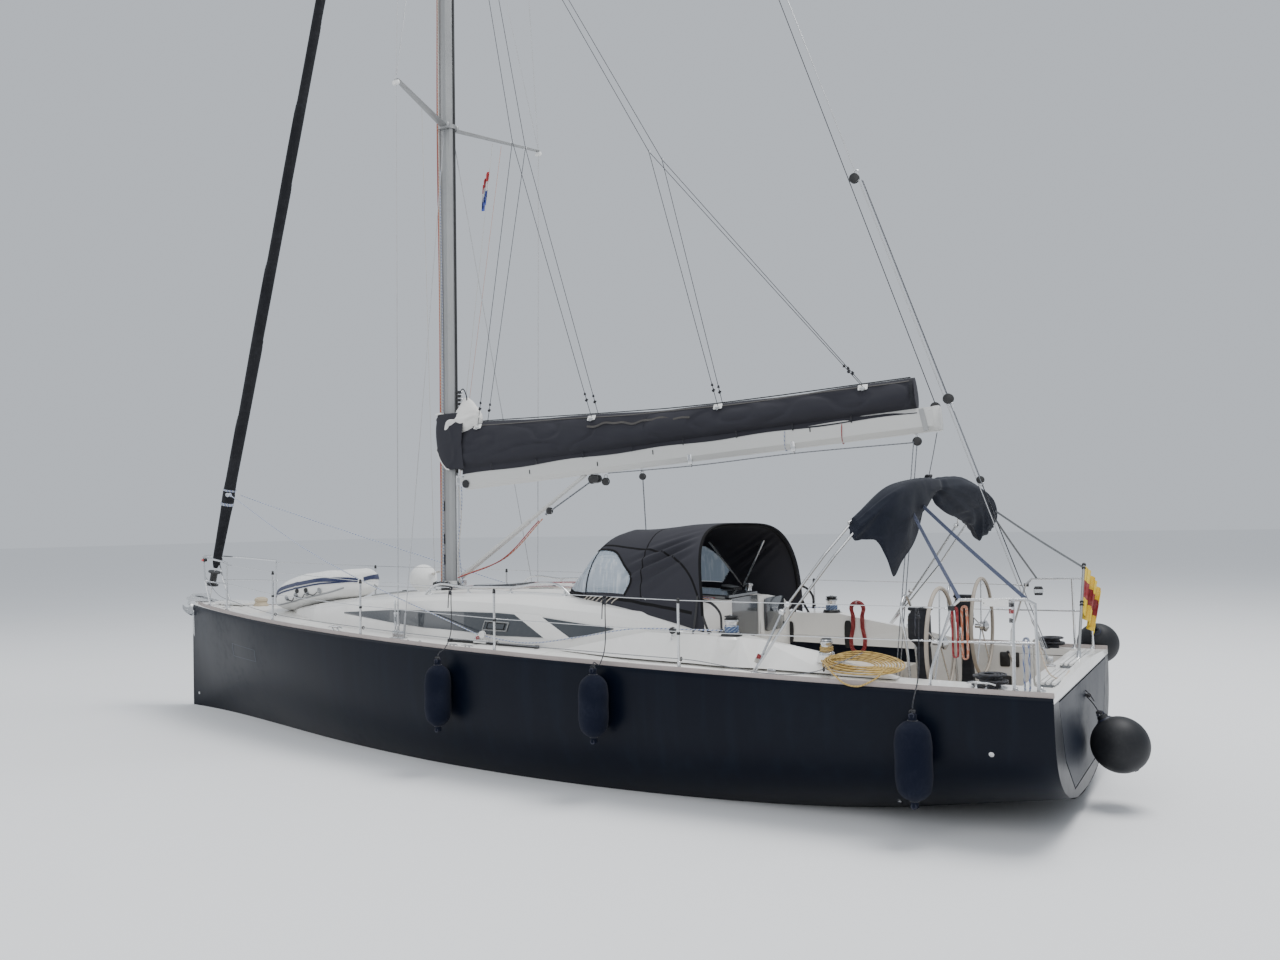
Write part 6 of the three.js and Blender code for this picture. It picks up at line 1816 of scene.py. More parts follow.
def build_fenders() -> None:
    """The three long fenders and the three round ones."""
    for row in (("fore_fender", -0.155, 1.16, 0.44, 0.13), ("middle_fender", -2.1, 1.19, 0.52, 0.135),
                ("aft_fender", -5.0, 1.0, 0.28, 0.14)):
        Fender(*row).build()
    quarter_y = HULL.edge(-5.885) + 0.215
    BallFender("stern_fender", (-6.265, 0.02, 0.53), 0.24, (-6.008, 0.02, 0.96), FENDER_BALL, FENDER_EYE, ROPE_BLACK,
               "platform_flap").build()
    BallFender("quarter_fender", (-5.885, -quarter_y, 1.18), 0.205, (-5.88, -1.552, 1.5), FENDER_BALL, FENDER_EYE,
               ROPE_BLACK).build()
    wire = HULL.wire(2.74)
    BallFender("white_fender", (2.74, -wire - 0.205, 1.79), 0.188, (2.38, -wire - 0.13, 1.89), WHITE_VINYL, WHITE_VINYL,
               ROPE_WHITE).build()


@dataclass
class HullTrim:
    """The skin of paint on the hull, the bow's mark, its fittings, the window bands' pillars and the stem's plate."""

    keel_line: tuple[Pair, ...] = (
        (6, -0.03), (5.85, -0.12), (5.5, -0.21), (4.5, -0.33), (3, -0.44), (1.5, -0.49), (0, -0.5), (-1.5, -0.45),
        (-3, -0.3), (-4.5, -0.09), (-6, 0.16),
    )
    fullness: tuple[Pair, ...] = (
        (6, 1.0), (5, 1.35), (3.5, 1.9), (1.5, 2.7), (0, 3.1), (-2.5, 3.3), (-6, 3.2),
    )
    proud: float = 0.003
    below_edge: float = 0.04

    def top(self, x: Points) -> Points:
        """Height of the skin's upper edge, just under the deck's."""
        return HULL.sheer(x) - self.below_edge

    def point(self, x: Points, rise: Points) -> Points:
        """Points of the port side: rise runs from 0 at the keel line to 1 under the deck's edge."""
        low, full = smooth_table(self.keel_line, x), smooth_table(self.fullness, x)
        high = self.top(x)
        spread = (1 - (1 - rise) ** full) ** (1 / (1.2 + 0.32 * full))
        return np.stack([x, HULL.half_breadth(x) * spread, low + (high - low) * rise], -1)

    def waterline(self, x: Points) -> Points:
        """The rise at which the skin crosses the waterline."""
        low = smooth_table(self.keel_line, x)
        return np.maximum(0, -low / (self.top(x) - low))

    def skin(self) -> list[Patch]:
        """Topsides and underbody: the section formula on a fine grid, moved out along its normals, and a lip on top."""
        s = np.linspace(0, 1, 170)[:, None]
        x = 6 - 12 * s**1.25
        q = np.linspace(0, 1, 40)[None]
        first = self.waterline(x)
        above = self.point(*np.broadcast_arrays(x, first + (1 - first) * q**1.4))
        below = self.point(*np.broadcast_arrays(x, first * q**1.6))
        patches = []
        for points, finish in ((above, NAVY_PAINT), (below, ANTIFOUL)):
            out = normals_of(points)
            out *= np.sign(out[..., 1:2] + 1e-9)
            out[~np.isfinite(out)] = 0
            points = points + out * self.proud
            points[:, :, 1] = np.maximum(points[:, :, 1], 0)
            points[-1] -= out[-1] * self.proud
            points[-1, :, 0] -= 0.001
            if finish is NAVY_PAINT:
                flat = x[:, 0]
                half, sheer = HULL.half_breadth(flat), HULL.sheer(flat)
                lip = [np.stack([flat, np.maximum(half + dy, 0), sheer + dz], -1)
                       for dy, dz in ((0.002, -0.02), (-0.001, -0.006), (-0.006, 0.001), (-0.015, 0.0035))]
                points = np.concatenate([points, np.stack(lip, 1)], 1)
            patches += both_sides([grid(points, finish)])
        return patches

    def side_patch(self, corners: list[Pair], finish: Finish, out: float) -> Patch:
        """A thin mark on the port topsides between four (x, z) corners."""
        spot = filled(corners, 12)
        x, z = spot[..., 0], spot[..., 1]
        low = smooth_table(self.keel_line, x)
        rise = (z - low) / (self.top(x) - low)
        points = self.point(x, rise)
        normal = normals_of(points)
        return grid(points + normal * np.sign(normal[..., 1:2]) * out, finish)

    def build(self) -> None:
        """Builds the skin, the marks and the fittings."""
        make_piece("hull_paint_skin", self.skin(), "root", sharp=50)
        a, b, c, d = ((4.44, 0.835), (3.72, 0.822), (3.72, 0.968), (4.44, 1.0))
        marks = [self.side_patch([p, q, (q[0] + u, q[1] + w), (p[0] + u, p[1] + w)], BOW_MARK, 0.0045)
                 for p, q, u, w in ((a, b, 0, 0.008), (d, c, 0, 0.008), (a, d, -0.02, 0), (b, c, -0.02, 0))]
        make_piece("bow_panel_mark", both_sides(marks))
        fittings = []
        for x, z, radius in ((-5.54, 0.7, 0.02), (5.83, 0.18, 0.018), (-4.7, 0.16, 0.016)):
            low = float(smooth_table(self.keel_line, np.array(x)))
            rise = np.array((z - low) / (float(self.top(x)) - low))
            spot = self.point(np.array(x), rise)
            near = self.point(np.array(x), rise + 0.02) - spot
            out = np.cross(near, [1.0, 0.0, 0.0])
            out *= np.sign(out[1])
            cup = [(0.0, 0.002), (radius * 0.55, 0.002), (radius * 0.6, 0.008), (radius, 0.007), (radius, 0.0),
                   (radius, -0.01)]
            fittings.append(turned(cup, STAINLESS, 20).placed(upright(spot + out / np.linalg.norm(out) * 0.003, out)))
        make_piece("skin_fittings", fittings)
        self.build_windows()
        self.build_stem()

    def build_windows(self) -> None:
        """White pillars across the window bands, and an opening portlight's frame with its seal in each."""
        pillar = [(-0.66, 1.6), (-1.0, 1.585), (-1.43, 1.348), (-1.1, 1.342)]
        spot = filled(pillar, 14)
        front = ROOF.side(spot[..., 0], spot[..., 1], 0.017)
        rim = np.pad(front, ((1, 1), (1, 1), (0, 0)), mode="edge")
        for edge in (np.s_[0], np.s_[-1], np.s_[:, 0], np.s_[:, -1]):
            rim[edge][..., 1] -= 0.016
        patches = [grid(rim, WHITE_GEL)]
        corners = [(-0.3, 1.5), (-0.62, 1.492), (-0.59, 1.405), (-0.27, 1.41), (-0.3, 1.5)]
        for inset, radius, finish, out in ((0.0, 0.008, SPAR_ALLOY, 0.016), (0.028, 0.005, BLACK_RUBBER, 0.015)):
            mid = np.mean(corners[:-1], axis=0)
            loop = [mid + (np.array(v) - mid) * (1 - inset / 0.1) for v in corners]
            fine = np.concatenate([np.linspace(p, q, 14) for p, q in zip(loop, loop[1:])])
            patches.append(tube(ROOF.side(fine[:, 0], fine[:, 1], out), radius, finish, 6))
        make_piece("window_pillars_and_portlights", both_sides(patches), "root")

    def build_stem(self) -> None:
        """A bright plate that wraps the stem above the waterline."""
        z = np.linspace(0.72, 1.36, 20)
        rows = []
        for dy, dx in ((0.05, -0.055), (0.03, -0.012), (0.012, 0.0045), (-0.012, 0.0045), (-0.03, -0.012),
                       (-0.05, -0.055)):
            rows.append(np.stack([6.0 + dx + 0 * z, dy * (0.55 + 0.45 * (z - 0.7) / 0.66), z], -1))
        make_piece("stem_guard", [grid(np.stack(rows, 1), STAINLESS)], "root", sharp=70, thick=0.003)


@dataclass
class DeckGear:
    """What stands on the deck and the coachroof from the bow to the companionway."""

    rail_posts: tuple[float, ...] = (0.71, 0.16, -0.42, -1.12)
    track: tuple[Triple, Triple] = ((0.1, 1.28, 0.0), (-1.03, 1.28, 0.0))
    car_x: float = -0.31

    def grip_panels(self) -> None:
        """Non-slip panels on the side decks, the foredeck and the coachroof."""
        patches = []
        for fore, aft in ((3.7, 2.75), (2.7, 1.75), (1.7, 0.75), (0.7, -0.25), (-0.3, -1.25), (-1.3, -2.25),
                          (-2.3, -3.2), (-3.25, -4.2), (-4.25, -5.05)):
            def inner(x: float) -> float:
                foot = float(line_table(np.asarray(ROOF.rows), 1, x)) if x > -1.4 else 1.47
                return max(foot, 0.2) + 0.035
            outer = [HULL.edge(x) - 0.16 for x in (fore, aft)]
            corners = [(fore, inner(fore)), (aft, inner(aft)), (aft, outer[1]), (fore, outer[0])]
            patches += both_sides([rounded_panel(corners, GRIP_WHITE, 0.0025, HULL.deck, 16)])
        for fore, aft in ((5.25, 4.78), (4.68, 4.15)):
            half = [HULL.edge(x) - 0.13 for x in (fore, aft)]
            inset = 0.19 if fore > 4.7 else 0.02
            corners = [(fore, inset), (aft, inset), (aft, half[1]), (fore, max(half[0], inset + 0.02))]
            patches += both_sides([rounded_panel(corners, GRIP_WHITE, 0.0025, HULL.deck, 12)])
        for fore, aft, near, far in ((3.3, 2.4, 0.03, 0.34), (2.3, 1.45, 0.03, 0.52), (0.95, 0.7, 0.12, 0.72),
                                     (0.62, -0.2, 0.34, 0.76), (-0.3, -1.0, 0.1, 0.78), (-1.8, -2.5, 0.42, 0.8)):
            corners = [(fore, near), (aft, near), (aft, far), (fore, far * (0.82 if fore > 2 else 1))]
            patches += both_sides([rounded_panel(corners, GRIP_WHITE, 0.0025, ROOF.top, 14)])
        make_piece("non_slip_panels", patches, "root")

    def grab_rails(self) -> None:
        """Grab rails on four posts along each shoulder of the coachroof."""
        patches = []
        y = 0.9
        line = [(x, y, ROOF.level(x, y) + 0.062) for x in self.rail_posts]
        ends = [(line[0][0] + 0.07, y, ROOF.level(line[0][0] + 0.07, y)),
                (line[-1][0] - 0.07, y, ROOF.level(line[-1][0] - 0.07, y))]
        patches.append(tube(through([ends[0], *line, ends[1]], 60), POLE_RADIUS, STAINLESS, 10))
        for x, _, z in line:
            patches.append(rod((x, y, z - 0.062), (x, y, z), 0.011, STAINLESS))
            patches += placed(flange(0.03, 0.012, 0.012, STAINLESS), on_roof(x, y))
        make_piece("coachroof_grab_rails", both_sides(patches), "root")

    def tracks(self) -> None:
        """Headsail sheet tracks on the side decks, each with its car and block, and the end stops."""
        (x0, y0, _), (x1, y1, _) = self.track
        patches = []
        x = np.linspace(x0, x1, 30)
        path = np.stack([x, np.linspace(y0, y1, 30), HULL.deck(x, np.full(30, y0)) + 0.014], -1)
        rail = np.array([(-0.015, -0.012), (0.015, -0.012), (0.015, 0.006), (0.011, 0.012), (-0.011, 0.012),
                         (-0.015, 0.006)])
        patches.append(sweep(rail, path, BLACK_PLASTIC))
        for end in (0, -1):
            patches.append(slab((0.05, 0.045, 0.04), BLACK_PLASTIC).moved(*path[end]))
        for k in range(1, 29, 2):
            patches.append(turned([(0, 0), (0.005, 0), (0.004, 0.002), (0, 0.003)], STAINLESS, 8)
                           .moved(*(path[k] + [0, 0, 0.0115])))
        place = on_deck(self.car_x, y0, lift=0.03)
        patches += placed([slab((0.17, 0.052, 0.03), WHITE_PLASTIC), slab((0.05, 0.03, 0.05), STAINLESS)
                           .moved(0.045, 0, 0.02)], place)
        patches += placed(block(0.085, WHITE_PLASTIC, STAINLESS), place @ upright((-0.01, 0, 0.015), (-0.35, 0.1, 1)))
        patches.append(lashing(np.array([self.car_x + 0.03, y0, HULL.level(self.car_x, y0) + 0.05]),
                               (0.4, 0, 1), 0.018, 4, 0.008, ROPE_RED))
        make_piece("sheet_tracks_and_cars", both_sides(patches))

    def chainplates(self) -> None:
        """Plates, pins and rigging screws at the feet of the shrouds, the boots on them and the padeyes outboard."""
        patches = []
        foot = np.array([0.82, 1.3, HULL.level(0.82, 1.3)])
        patches += placed([slab((0.21, 0.1, 0.014), STAINLESS), slab((0.16, 0.012, 0.1), STAINLESS).moved(z=0.03)],
                          upright(foot + [0, 0, 0.004], (0, 0.05, 1)))
        for x, y, z in ((0.0, 0.0, 4.0), (0.4, -0.1, 4.0)):
            patches += turnbuckle(foot + [x * 0.1, 0, 0.05], foot + [0.03 + x * 0.4, -0.03 + y, z], 0.3, 0.026,
                                  STAINLESS)
        for x in (0.52, 0.35):
            place = on_deck(x, 1.47)
            patches += placed([ring(0.016, 0.0045, STAINLESS, 14, 6).placed(upright((0, 0, 0.016), (0, 1, 0))),
                               slab((0.06, 0.03, 0.008), STAINLESS).moved(z=0.003)], place)
        for x in (-0.14, -0.34):
            place = on_deck(x, 1.53)
            patches += placed(horn_cleat(0.15, STAINLESS), place)
        make_piece("chainplates_and_cleats", both_sides(patches), "root")

    def hatches(self) -> None:
        """Flush hatches in the coachroof, frames, hinges and handles, and the sea hood that the slide runs under."""
        patches = []
        for x, y, length, width in ((2.1, 0.0, 0.44, 0.44), (-0.55, 0.42, 0.3, 0.3), (-0.55, -0.42, 0.3, 0.3)):
            place = on_roof(x, y, lift=0.006)
            patches += placed([slab((length, width, 0.02), SPAR_ALLOY, 0.25, 0.3),
                               slab((length - 0.05, width - 0.05, 0.012), SMOKED, 0.25, 0.2).moved(z=0.008),
                               slab((0.03, 0.06, 0.02), BLACK_PLASTIC).moved(-length / 2 + 0.05, 0, 0.014)], place)
        for y in (-0.14, 0.14):
            patches += placed([slab((0.05, 0.04, 0.012), STAINLESS).moved(-0.028, 0, 0),
                               rod((0, -0.025, 0.006), (0, 0.025, 0.006), 0.006, STAINLESS)],
                              on_roof(0.054, y, lift=0.004))
        make_piece("flush_hatches", patches)
        hood = slab((0.86, 0.78, 0.06), WHITE_GEL, 0.2, 0.35, 40).placed(on_roof(-1.38, 0.0, lift=0.045))
        edge = slab((0.05, 0.74, 0.03), GREY_PLASTIC).placed(on_roof(-1.79, 0.0, lift=0.03))
        rails = [tube(through([(-1.72, y, 1.795), (-2.2, y, 1.765), (-2.7, y, 1.735)], 12), 0.011, SPAR_ALLOY)
                 for y in (-0.375, 0.375)]
        make_piece("companionway_sea_hood", [hood, edge, *rails], "root")

    def roof_winches(self) -> None:
        """Clutches, cabin-top winches and the halyards that run aft over the coachroof from the mast's foot."""
        patches, lines = [], []
        colors = (ROPE_RED, ROPE_BLUE, ROPE_GREY, ROPE_ORANGE, ROPE_WHITE)
        for k, finish in enumerate(colors):
            y = 0.43 + k * 0.042
            stops = [(1.05, 0.1 + k * 0.012), (0.93, 0.2 + k * 0.03), (-1.2, 0.4 + k * 0.035), (-2.28, y),
                     (-2.62, y)]
            fine = through([(x, w, 0) for x, w in stops], 60)
            fine[:, 2] = ROOF.top(fine[:, 0], fine[:, 1]) + 0.018
            lines.append(tube(fine, 0.0055, finish, 6))
            body = [slab((0.17, 0.034, 0.055), BLACK_PLASTIC, 0.3, 0.25).moved(z=0.028),
                    slab((0.13, 0.028, 0.014), GREY_PLASTIC, 0.3, 0.3).placed(upright((0.01, 0, 0.062), (-0.12, 0, 1)))]
            patches += placed(body, on_roof(-2.35, y))
        patches += placed([slab((0.12, 0.3, 0.03), BLACK_PLASTIC).moved(0, 0, 0.016)], on_roof(0.9, 0.3))
        winch = [(0, 0), (0.062, 0), (0.06, 0.02), (0.044, 0.03), (0.04, 0.07), (0.048, 0.096), (0.048, 0.11),
                 (0.03, 0.122), (0, 0.124)]
        patches += placed([turned(winch, STAINLESS, 24)], on_roof(-2.42, 0.82))
        make_piece("roof_clutches_and_winches", both_sides(patches))
        make_piece("roof_halyard_runs", both_sides(lines))

    def bow(self) -> None:
        """The bow roller with its anchor and chain, the windlass, the cleats and the hinges of the locker's lid."""
        patches = []
        deck = HULL.level(5.75, 0)
        for y in (-0.055, 0.055):
            cheek = np.array([(5.55, deck + 0.004), (6.04, deck - 0.002), (6.1, deck + 0.02), (6.09, deck + 0.055),
                              (5.98, deck + 0.075), (5.62, deck + 0.03)])
            left = np.stack([cheek[:, 0], np.full(6, y - 0.003), cheek[:, 1]], -1)
            right = left + [0, 0.006, 0]
            patches.append(grid(np.stack([left, right]), STAINLESS, wrap=True, caps=(True, True)))
        patches.append(turned([(0, -0.05), (0.03, -0.05), (0.018, 0), (0.03, 0.05), (0, 0.05)], BLACK_PLASTIC, 18)
                       .placed(upright((6.03, 0, deck + 0.03), (0, 1, 0))))
        shank = through([(5.66, 0, deck + 0.085), (5.9, 0, deck + 0.088), (6.06, 0, deck + 0.06),
                         (6.13, 0, deck - 0.06)], 24)
        patches.append(sweep(np.array([(-0.008, -0.022), (0.008, -0.022), (0.008, 0.022), (-0.008, 0.022)]), shank,
                             STAINLESS, up=(0, 0, 1)))
        s, t = np.meshgrid(np.linspace(0, 1, 12), np.linspace(-1, 1, 13), indexing="ij")
        fluke = np.stack([6.145 - 0.2 * s + 0.02 * np.abs(t), 0.13 * t * np.sin(np.pi * (0.18 + 0.62 * s)),
                          deck - 0.05 - 0.16 * s - 0.05 * (1 - t**2) * (1 - s)], -1)
        patches.append(grid(fluke, STAINLESS))
        links = []
        n = 15
        for k in range(n):
            spot = np.array([5.6 - 0.055 * k, 0.0, HULL.level(5.6 - 0.055 * k, 0) + 0.03 - 0.012 * (k > 1)])
            a = np.linspace(0, 2 * np.pi, 17)
            oval = np.stack([0.032 * np.cos(a), 0.014 * np.sin(a), 0 * a], -1)
            oval[-1] = oval[0]
            turn = upright(spot, (0, math.sin(0.8 + k * 1.57), math.cos(0.8 + k * 1.57)))
            links.append(tube(oval, 0.0052, STAINLESS, 6).placed(turn))
        make_piece("bow_roller_and_anchor", patches, "root", sharp=30)
        make_piece("anchor_chain", links, "root")
        dome = [(0, 0), (0.1, 0), (0.1, 0.015), (0.085, 0.03), (0.078, 0.055), (0.09, 0.075), (0.085, 0.1),
                (0.055, 0.118), (0, 0.125)]
        windlass = placed([turned(dome, BEIGE_CAP, 28)], on_deck(4.58, 0.0))
        windlass += placed([slab((0.2, 0.13, 0.02), STAINLESS)], on_deck(4.6, 0.0, lift=0.01))
        make_piece("windlass", windlass)
        cleats = placed(horn_cleat(0.2, STAINLESS), on_deck(4.95, HULL.edge(4.95) - 0.17, (1, 0.13, 0)))
        cleats += placed(horn_cleat(0.22, STAINLESS), on_deck(-5.45, 1.53, (1, 0, 0)))
        cleats += placed(horn_cleat(0.22, STAINLESS), on_deck(1.9, HULL.edge(1.9) - 0.13))
        make_piece("mooring_cleats", both_sides(cleats), "root")
        hinges = []
        for y in (-0.11, 0.11):
            hinges += placed([slab((0.05, 0.035, 0.008), STAINLESS), rod((0.02, -0.02, 0.004), (0.02, 0.02, 0.004),
                                                                         0.006, STAINLESS)],
                             on_deck(4.73, y, lift=0.004))
        make_piece("locker_lid_hinges", hinges)

    def build(self) -> None:
        """Builds all of it."""
        self.grip_panels()
        self.grab_rails()
        self.tracks()
        self.chainplates()
        self.hatches()
        self.roof_winches()
        self.bow()


@dataclass
class Flag:
    """One limp flag: its hoist from top to bottom, the way that its fly falls, and its flat size."""

    name: str
    top: Triple
    bottom: Triple
    out: Triple
    fly: float
    cloth: Bands
    folds: float = 3.0
    fall: float = 0.62
    body: str = "root"

    def build(self) -> bpy.types.Object:
        """The cloth: its fly drops by a share of its length and goes back and forth in folds that keep its width.

        Each point lies at hoist(v) + out * a(u) - Z * b(u) + across * c(u, v), where c is the folds' sine.

        Returns:
            The flag.
        """
        top, bottom = np.array(self.top, float), np.array(self.bottom, float)
        out = np.array(self.out, float) / np.linalg.norm(self.out)
        across = np.cross(out, [0, 0, 1.0])
        u, v = np.meshgrid(np.linspace(0, 1, 90), np.linspace(0, 1, 36), indexing="ij")
        turn = 2 * np.pi * self.folds * u
        fold = math.sqrt(max(0.0, 1 - self.fall**2 - 0.04)) * self.fly * math.sqrt(2) / (2 * np.pi * self.folds)
        gather = 1 - 0.12 * v * np.sin(np.pi * u)
        side = fold * np.sin(turn + 0.9 * v) * np.minimum(1, u * 6) * gather
        ahead = self.fly * 0.2 * u ** 0.8 * (1 - 0.35 * v) + 0.25 * fold * np.cos(2 * turn + v) * np.minimum(1, u * 6)
        down = self.fall * self.fly * u * (1 - 0.12 * v)
        points = (top + (bottom - top) * v[..., None] + out * ahead[..., None] + across * side[..., None]
                  - np.array([0, 0, 1.0]) * down[..., None])
        cloth = grid(points, self.cloth)
        made = make_piece(self.name, [cloth], self.body, sharp=80)
        return made


@dataclass
class Rig:
    """What the mast, the forestay and the backstay carry."""

    rolls: tuple[Pair, ...] = (
        (16.05, 0.024), (15.6, 0.04), (12.0, 0.054), (8.0, 0.068), (4.2, 0.077), (3.1, 0.074), (2.3, 0.064),
        (2.06, 0.056), (1.97, 0.03),
    )
    mast_x: float = 1.18
    spreader_rows: tuple[Triple, ...] = ((7.45, 1.35, 0.43), (12.6, 1.05, 0.33))

    @staticmethod
    def stay(z: Points | float, out: float = 0.0, angle: Points | float = 0.0) -> Points:
        """Points round the forestay at height z, a distance out from it."""
        z = np.asarray(z, float)
        x = 5.68 + (1.3115 - 5.68) * (z - 1.47) / 15.53
        a = np.asarray(angle, float)
        return np.stack(np.broadcast_arrays(x + out * np.cos(a) * 0.963, out * np.sin(a), z + out * np.cos(a) * 0.271),
                        -1)

    def headsail(self) -> None:
        """The headsail, rolled on its stay with the dark cover strip outside: each turn overlaps the one before."""
        rows, cols = 620, 40
        s, t = np.meshgrid(np.linspace(0, 1, rows), np.arange(cols) / cols, indexing="ij")
        z = 1.97 + 14.08 * s
        turn = (t + z * 0.47) % 1
        radius = smooth_table(self.rolls, z) * (0.93 + 0.15 * turn)
        probe = np.stack([np.cos(2 * np.pi * t), np.sin(2 * np.pi * t), z * 2], -1)
        radius = radius * (1 + 0.035 * waves(probe, 1.6, 51)) * (1 + 0.12 * np.exp(-((z - 3.0) / 0.16) ** 2))
        parts = [grid(self.stay(z, radius, 2 * np.pi * t), FURL_STRIP, wrap=True, caps=(True, True))]
        path = self.stay(np.linspace(16.0, 16.95, 12))
        parts += [tube(path, 0.016, SPAR_ALLOY, 10), tube(self.stay(np.linspace(1.5, 2.22, 6)), 0.012, STAINLESS, 10),
                  turned([(0, -0.07), (0.034, -0.07), (0.036, 0), (0.034, 0.07), (0, 0.07)], BLACK_PLASTIC, 16)
                  .placed(upright(self.stay(16.22), FORESTAY_WAY))]
        make_piece("furled_headsail_roll", parts, "root", ("furled_genoa",), 40)
        wraps = [lashing(self.stay(low), FORESTAY_WAY, 0.087, n, 0.012, ROPE_BLUE)
                 for low, n in ((2.86, 3), (3.06, 2))]
        clew = np.array([5.03 + 0.13, 0.07, 3.0])
        wraps.append(knot(clew, 0.07, ROPE_BLUE))
        make_piece("headsail_sheet_wraps", wraps)

    def sheets(self) -> None:
        """The headsail's sheets: from the clew outside the shrouds to the cars and aft to the winches."""
        for side, word in ((1, "port"), (-1, "starboard")):
            car_z = HULL.level(-0.31, 1.28) + 0.1
            high = np.linspace((5.12, side * 0.09, 3.0), (-0.27, side * 1.28, car_z), 60)
            high[:, 2] -= 0.07 * np.sin(np.pi * np.linspace(0, 1, 60))
            high[:, 1] += side * 0.17 * np.sin(np.pi * np.linspace(0, 1, 60)) ** 1.5
            low = through([(-0.33, side * 1.28, car_z - 0.01), (-0.9, side * 1.32, 1.31), (-1.6, side * 1.345, 1.4),
                           (-2.2, side * 1.35, 1.5), (-2.8, side * 1.355, 1.515), (-3.16, side * 1.362, 1.52)], 50)
            make_piece(f"{word}_headsail_sheet", [tube(high, 0.006, ROPE_BLUE, 6), tube(low, 0.006, ROPE_BLUE, 6)])
        line = through([(5.62, 0.09, 1.83), (5.3, 0.16, 1.62), (4.7, 0.27, 1.5)], 20)
        side_x = np.array([4.7, 3.3, 1.35, -0.75, -2.87, -4.2])
        rail = np.stack([side_x, HULL.half_breadth(side_x) - 0.125, HULL.sheer(side_x) + 0.1], -1)
        fine = through([tuple(line[-1]), *map(tuple, rail[1:]), (-4.5, 1.5, 1.4)], 90)
        leads = []
        for x, y, z in rail[1:]:
            leads += [ring(0.016, 0.005, BLACK_PLASTIC, 14, 6).placed(upright((x, y, z), (1, 0, 0)))]
        make_piece("furling_line", [tube(line, 0.004, ROPE_GREY, 6), tube(fine, 0.004, ROPE_GREY, 6), *leads])

    def mast_gear(self) -> None:
        """The track, the collar, spreader boots, lights, masthead instruments, foot blocks and halyards."""
        x, parts = self.mast_x, []
        track = np.array([(x - 0.122, 0, 3.15), (x - 0.122, 0, 19.15)])
        parts.append(sweep(np.array([(-0.013, -0.007), (0.013, -0.007), (0.013, 0.007), (-0.013, 0.007)]), track,
                           BLACK_PLASTIC, up=(1, 0, 0)))
        roof = ROOF.level(x, 0)
        collar = np.array([(0.0, -0.01), (1.12, -0.01), (1.14, 0.03), (1.04, 0.05), (1.02, 0.1), (0.0, 0.1)])
        a = np.arange(28) / 28 * 2 * np.pi
        rows = np.stack([x + collar[:, :1] * 0.1235 * np.cos(a), collar[:, :1] * 0.079 * np.sin(a),
                         np.repeat(roof + collar[:, 1:], 28, 1)], -1)
        parts.append(grid(rows, WHITE_PLASTIC, wrap=True))
        for z, reach, sweep_back in self.spreader_rows:
            for side in (1, -1):
                tip = (x - sweep_back, side * reach, z)
                parts.append(slab((0.09, 0.045, 0.05), WHITE_PLASTIC, 0.6, 0.3).moved(*tip))
                parts.append(slab((0.16, 0.05, 0.07), SPAR_ALLOY, 0.5).moved(x - 0.03, side * 0.09, z))
        light = [(0, 0), (0.035, 0), (0.04, 0.03), (0.036, 0.075), (0.02, 0.09), (0, 0.092)]
        parts.append(turned(light, LENS_CLEAR, 18).moved(x + 0.16, 0, 9.42))
        parts.append(slab((0.12, 0.08, 0.03), BLACK_PLASTIC).moved(x + 0.14, 0, 9.41))
        parts.append(turned([(0, 0), (0.06, -0.05), (0.062, -0.056), (0, -0.05)], BLACK_PLASTIC, 18)
                     .moved(x + 0.17, 0, 9.37))
        top = MAST_TOP
        parts += [rod((x - 0.1, 0.05, top), (x - 0.1, 0.05, top + 0.48), 0.003, BLACK_PLASTIC, 6),
                  turned([(0, 0), (0.016, 0), (0.016, 0.09), (0, 0.095)], WHITE_PLASTIC, 12).moved(x - 0.1, 0.05, top),
                  turned(light, LENS_CLEAR, 18).moved(x + 0.02, -0.03, top + 0.02),
                  rod((x + 0.1, -0.02, top), (x + 0.48, -0.02, top + 0.12), 0.006, BLACK_PLASTIC),
                  rod((x + 0.48, -0.02, top + 0.12), (x + 0.48, -0.02, top + 0.26), 0.005, BLACK_PLASTIC),
                  slab((0.2, 0.006, 0.035), BLACK_PLASTIC).moved(x + 0.42, -0.02, top + 0.27)]
        for k in range(3):
            w = 2 * np.pi * k / 3
            parts.append(ball(0.016, BLACK_PLASTIC, 8).moved(x + 0.48 + 0.05 * math.cos(w), -0.02 + 0.05 * math.sin(w),
                                                             top + 0.2))
        for z in (2.1, 2.35, 2.75, 3.4):
            parts.append(slab((0.02, 0.004, 0.12), BLACK_PLASTIC).moved(x + 0.03, 0.0725, z))
            parts.append(slab((0.02, 0.004, 0.12), BLACK_PLASTIC).moved(x - 0.02, -0.0725, z - 0.1))
        make_piece("mast_fittings", parts, "root")
        blocks = []
        for k in range(4):
            for side in (1, -1):
                spot = (x - 0.06 + 0.05 * k, side * (0.11 + 0.012 * k), roof - 0.004)
                blocks += placed(block(0.085, BLACK_PLASTIC, STAINLESS), upright(spot, (0.1, side * 0.2, 1)))
        blocks += placed([ring(0.2, 0.012, STAINLESS, 36, 8)], upright((x, 0, roof + 0.02)))
        make_piece("mast_foot_blocks", blocks)
        lines = []
        for dx, y, finish, low, high in ((0.085, 0.071, ROPE_RED, 1.83, 10.7), (0.068, 0.08, ROPE_ORANGE, 1.84, 15.9),
                                         (0.05, 0.083, ROPE_WHITE, 1.84, 10.2), (0.03, 0.085, ROPE_BLUE, 1.84, 6.9),
                                         (0.06, -0.082, ROPE_GREY, 1.84, 12.0), (0.03, -0.084, ROPE_BLUE, 1.84, 8.8)):
            z = np.linspace(low, high, 40)
            path = np.stack([x + dx + 0.006 * np.sin(z * 1.1), y + 0.004 * np.sin(z * 1.7 + dx * 90), z], -1)
            lines.append(tube(path, 0.0052, finish, 6))
        for dy, finish in ((0.045, ROPE_BLUE), (0.065, ROPE_WHITE)):
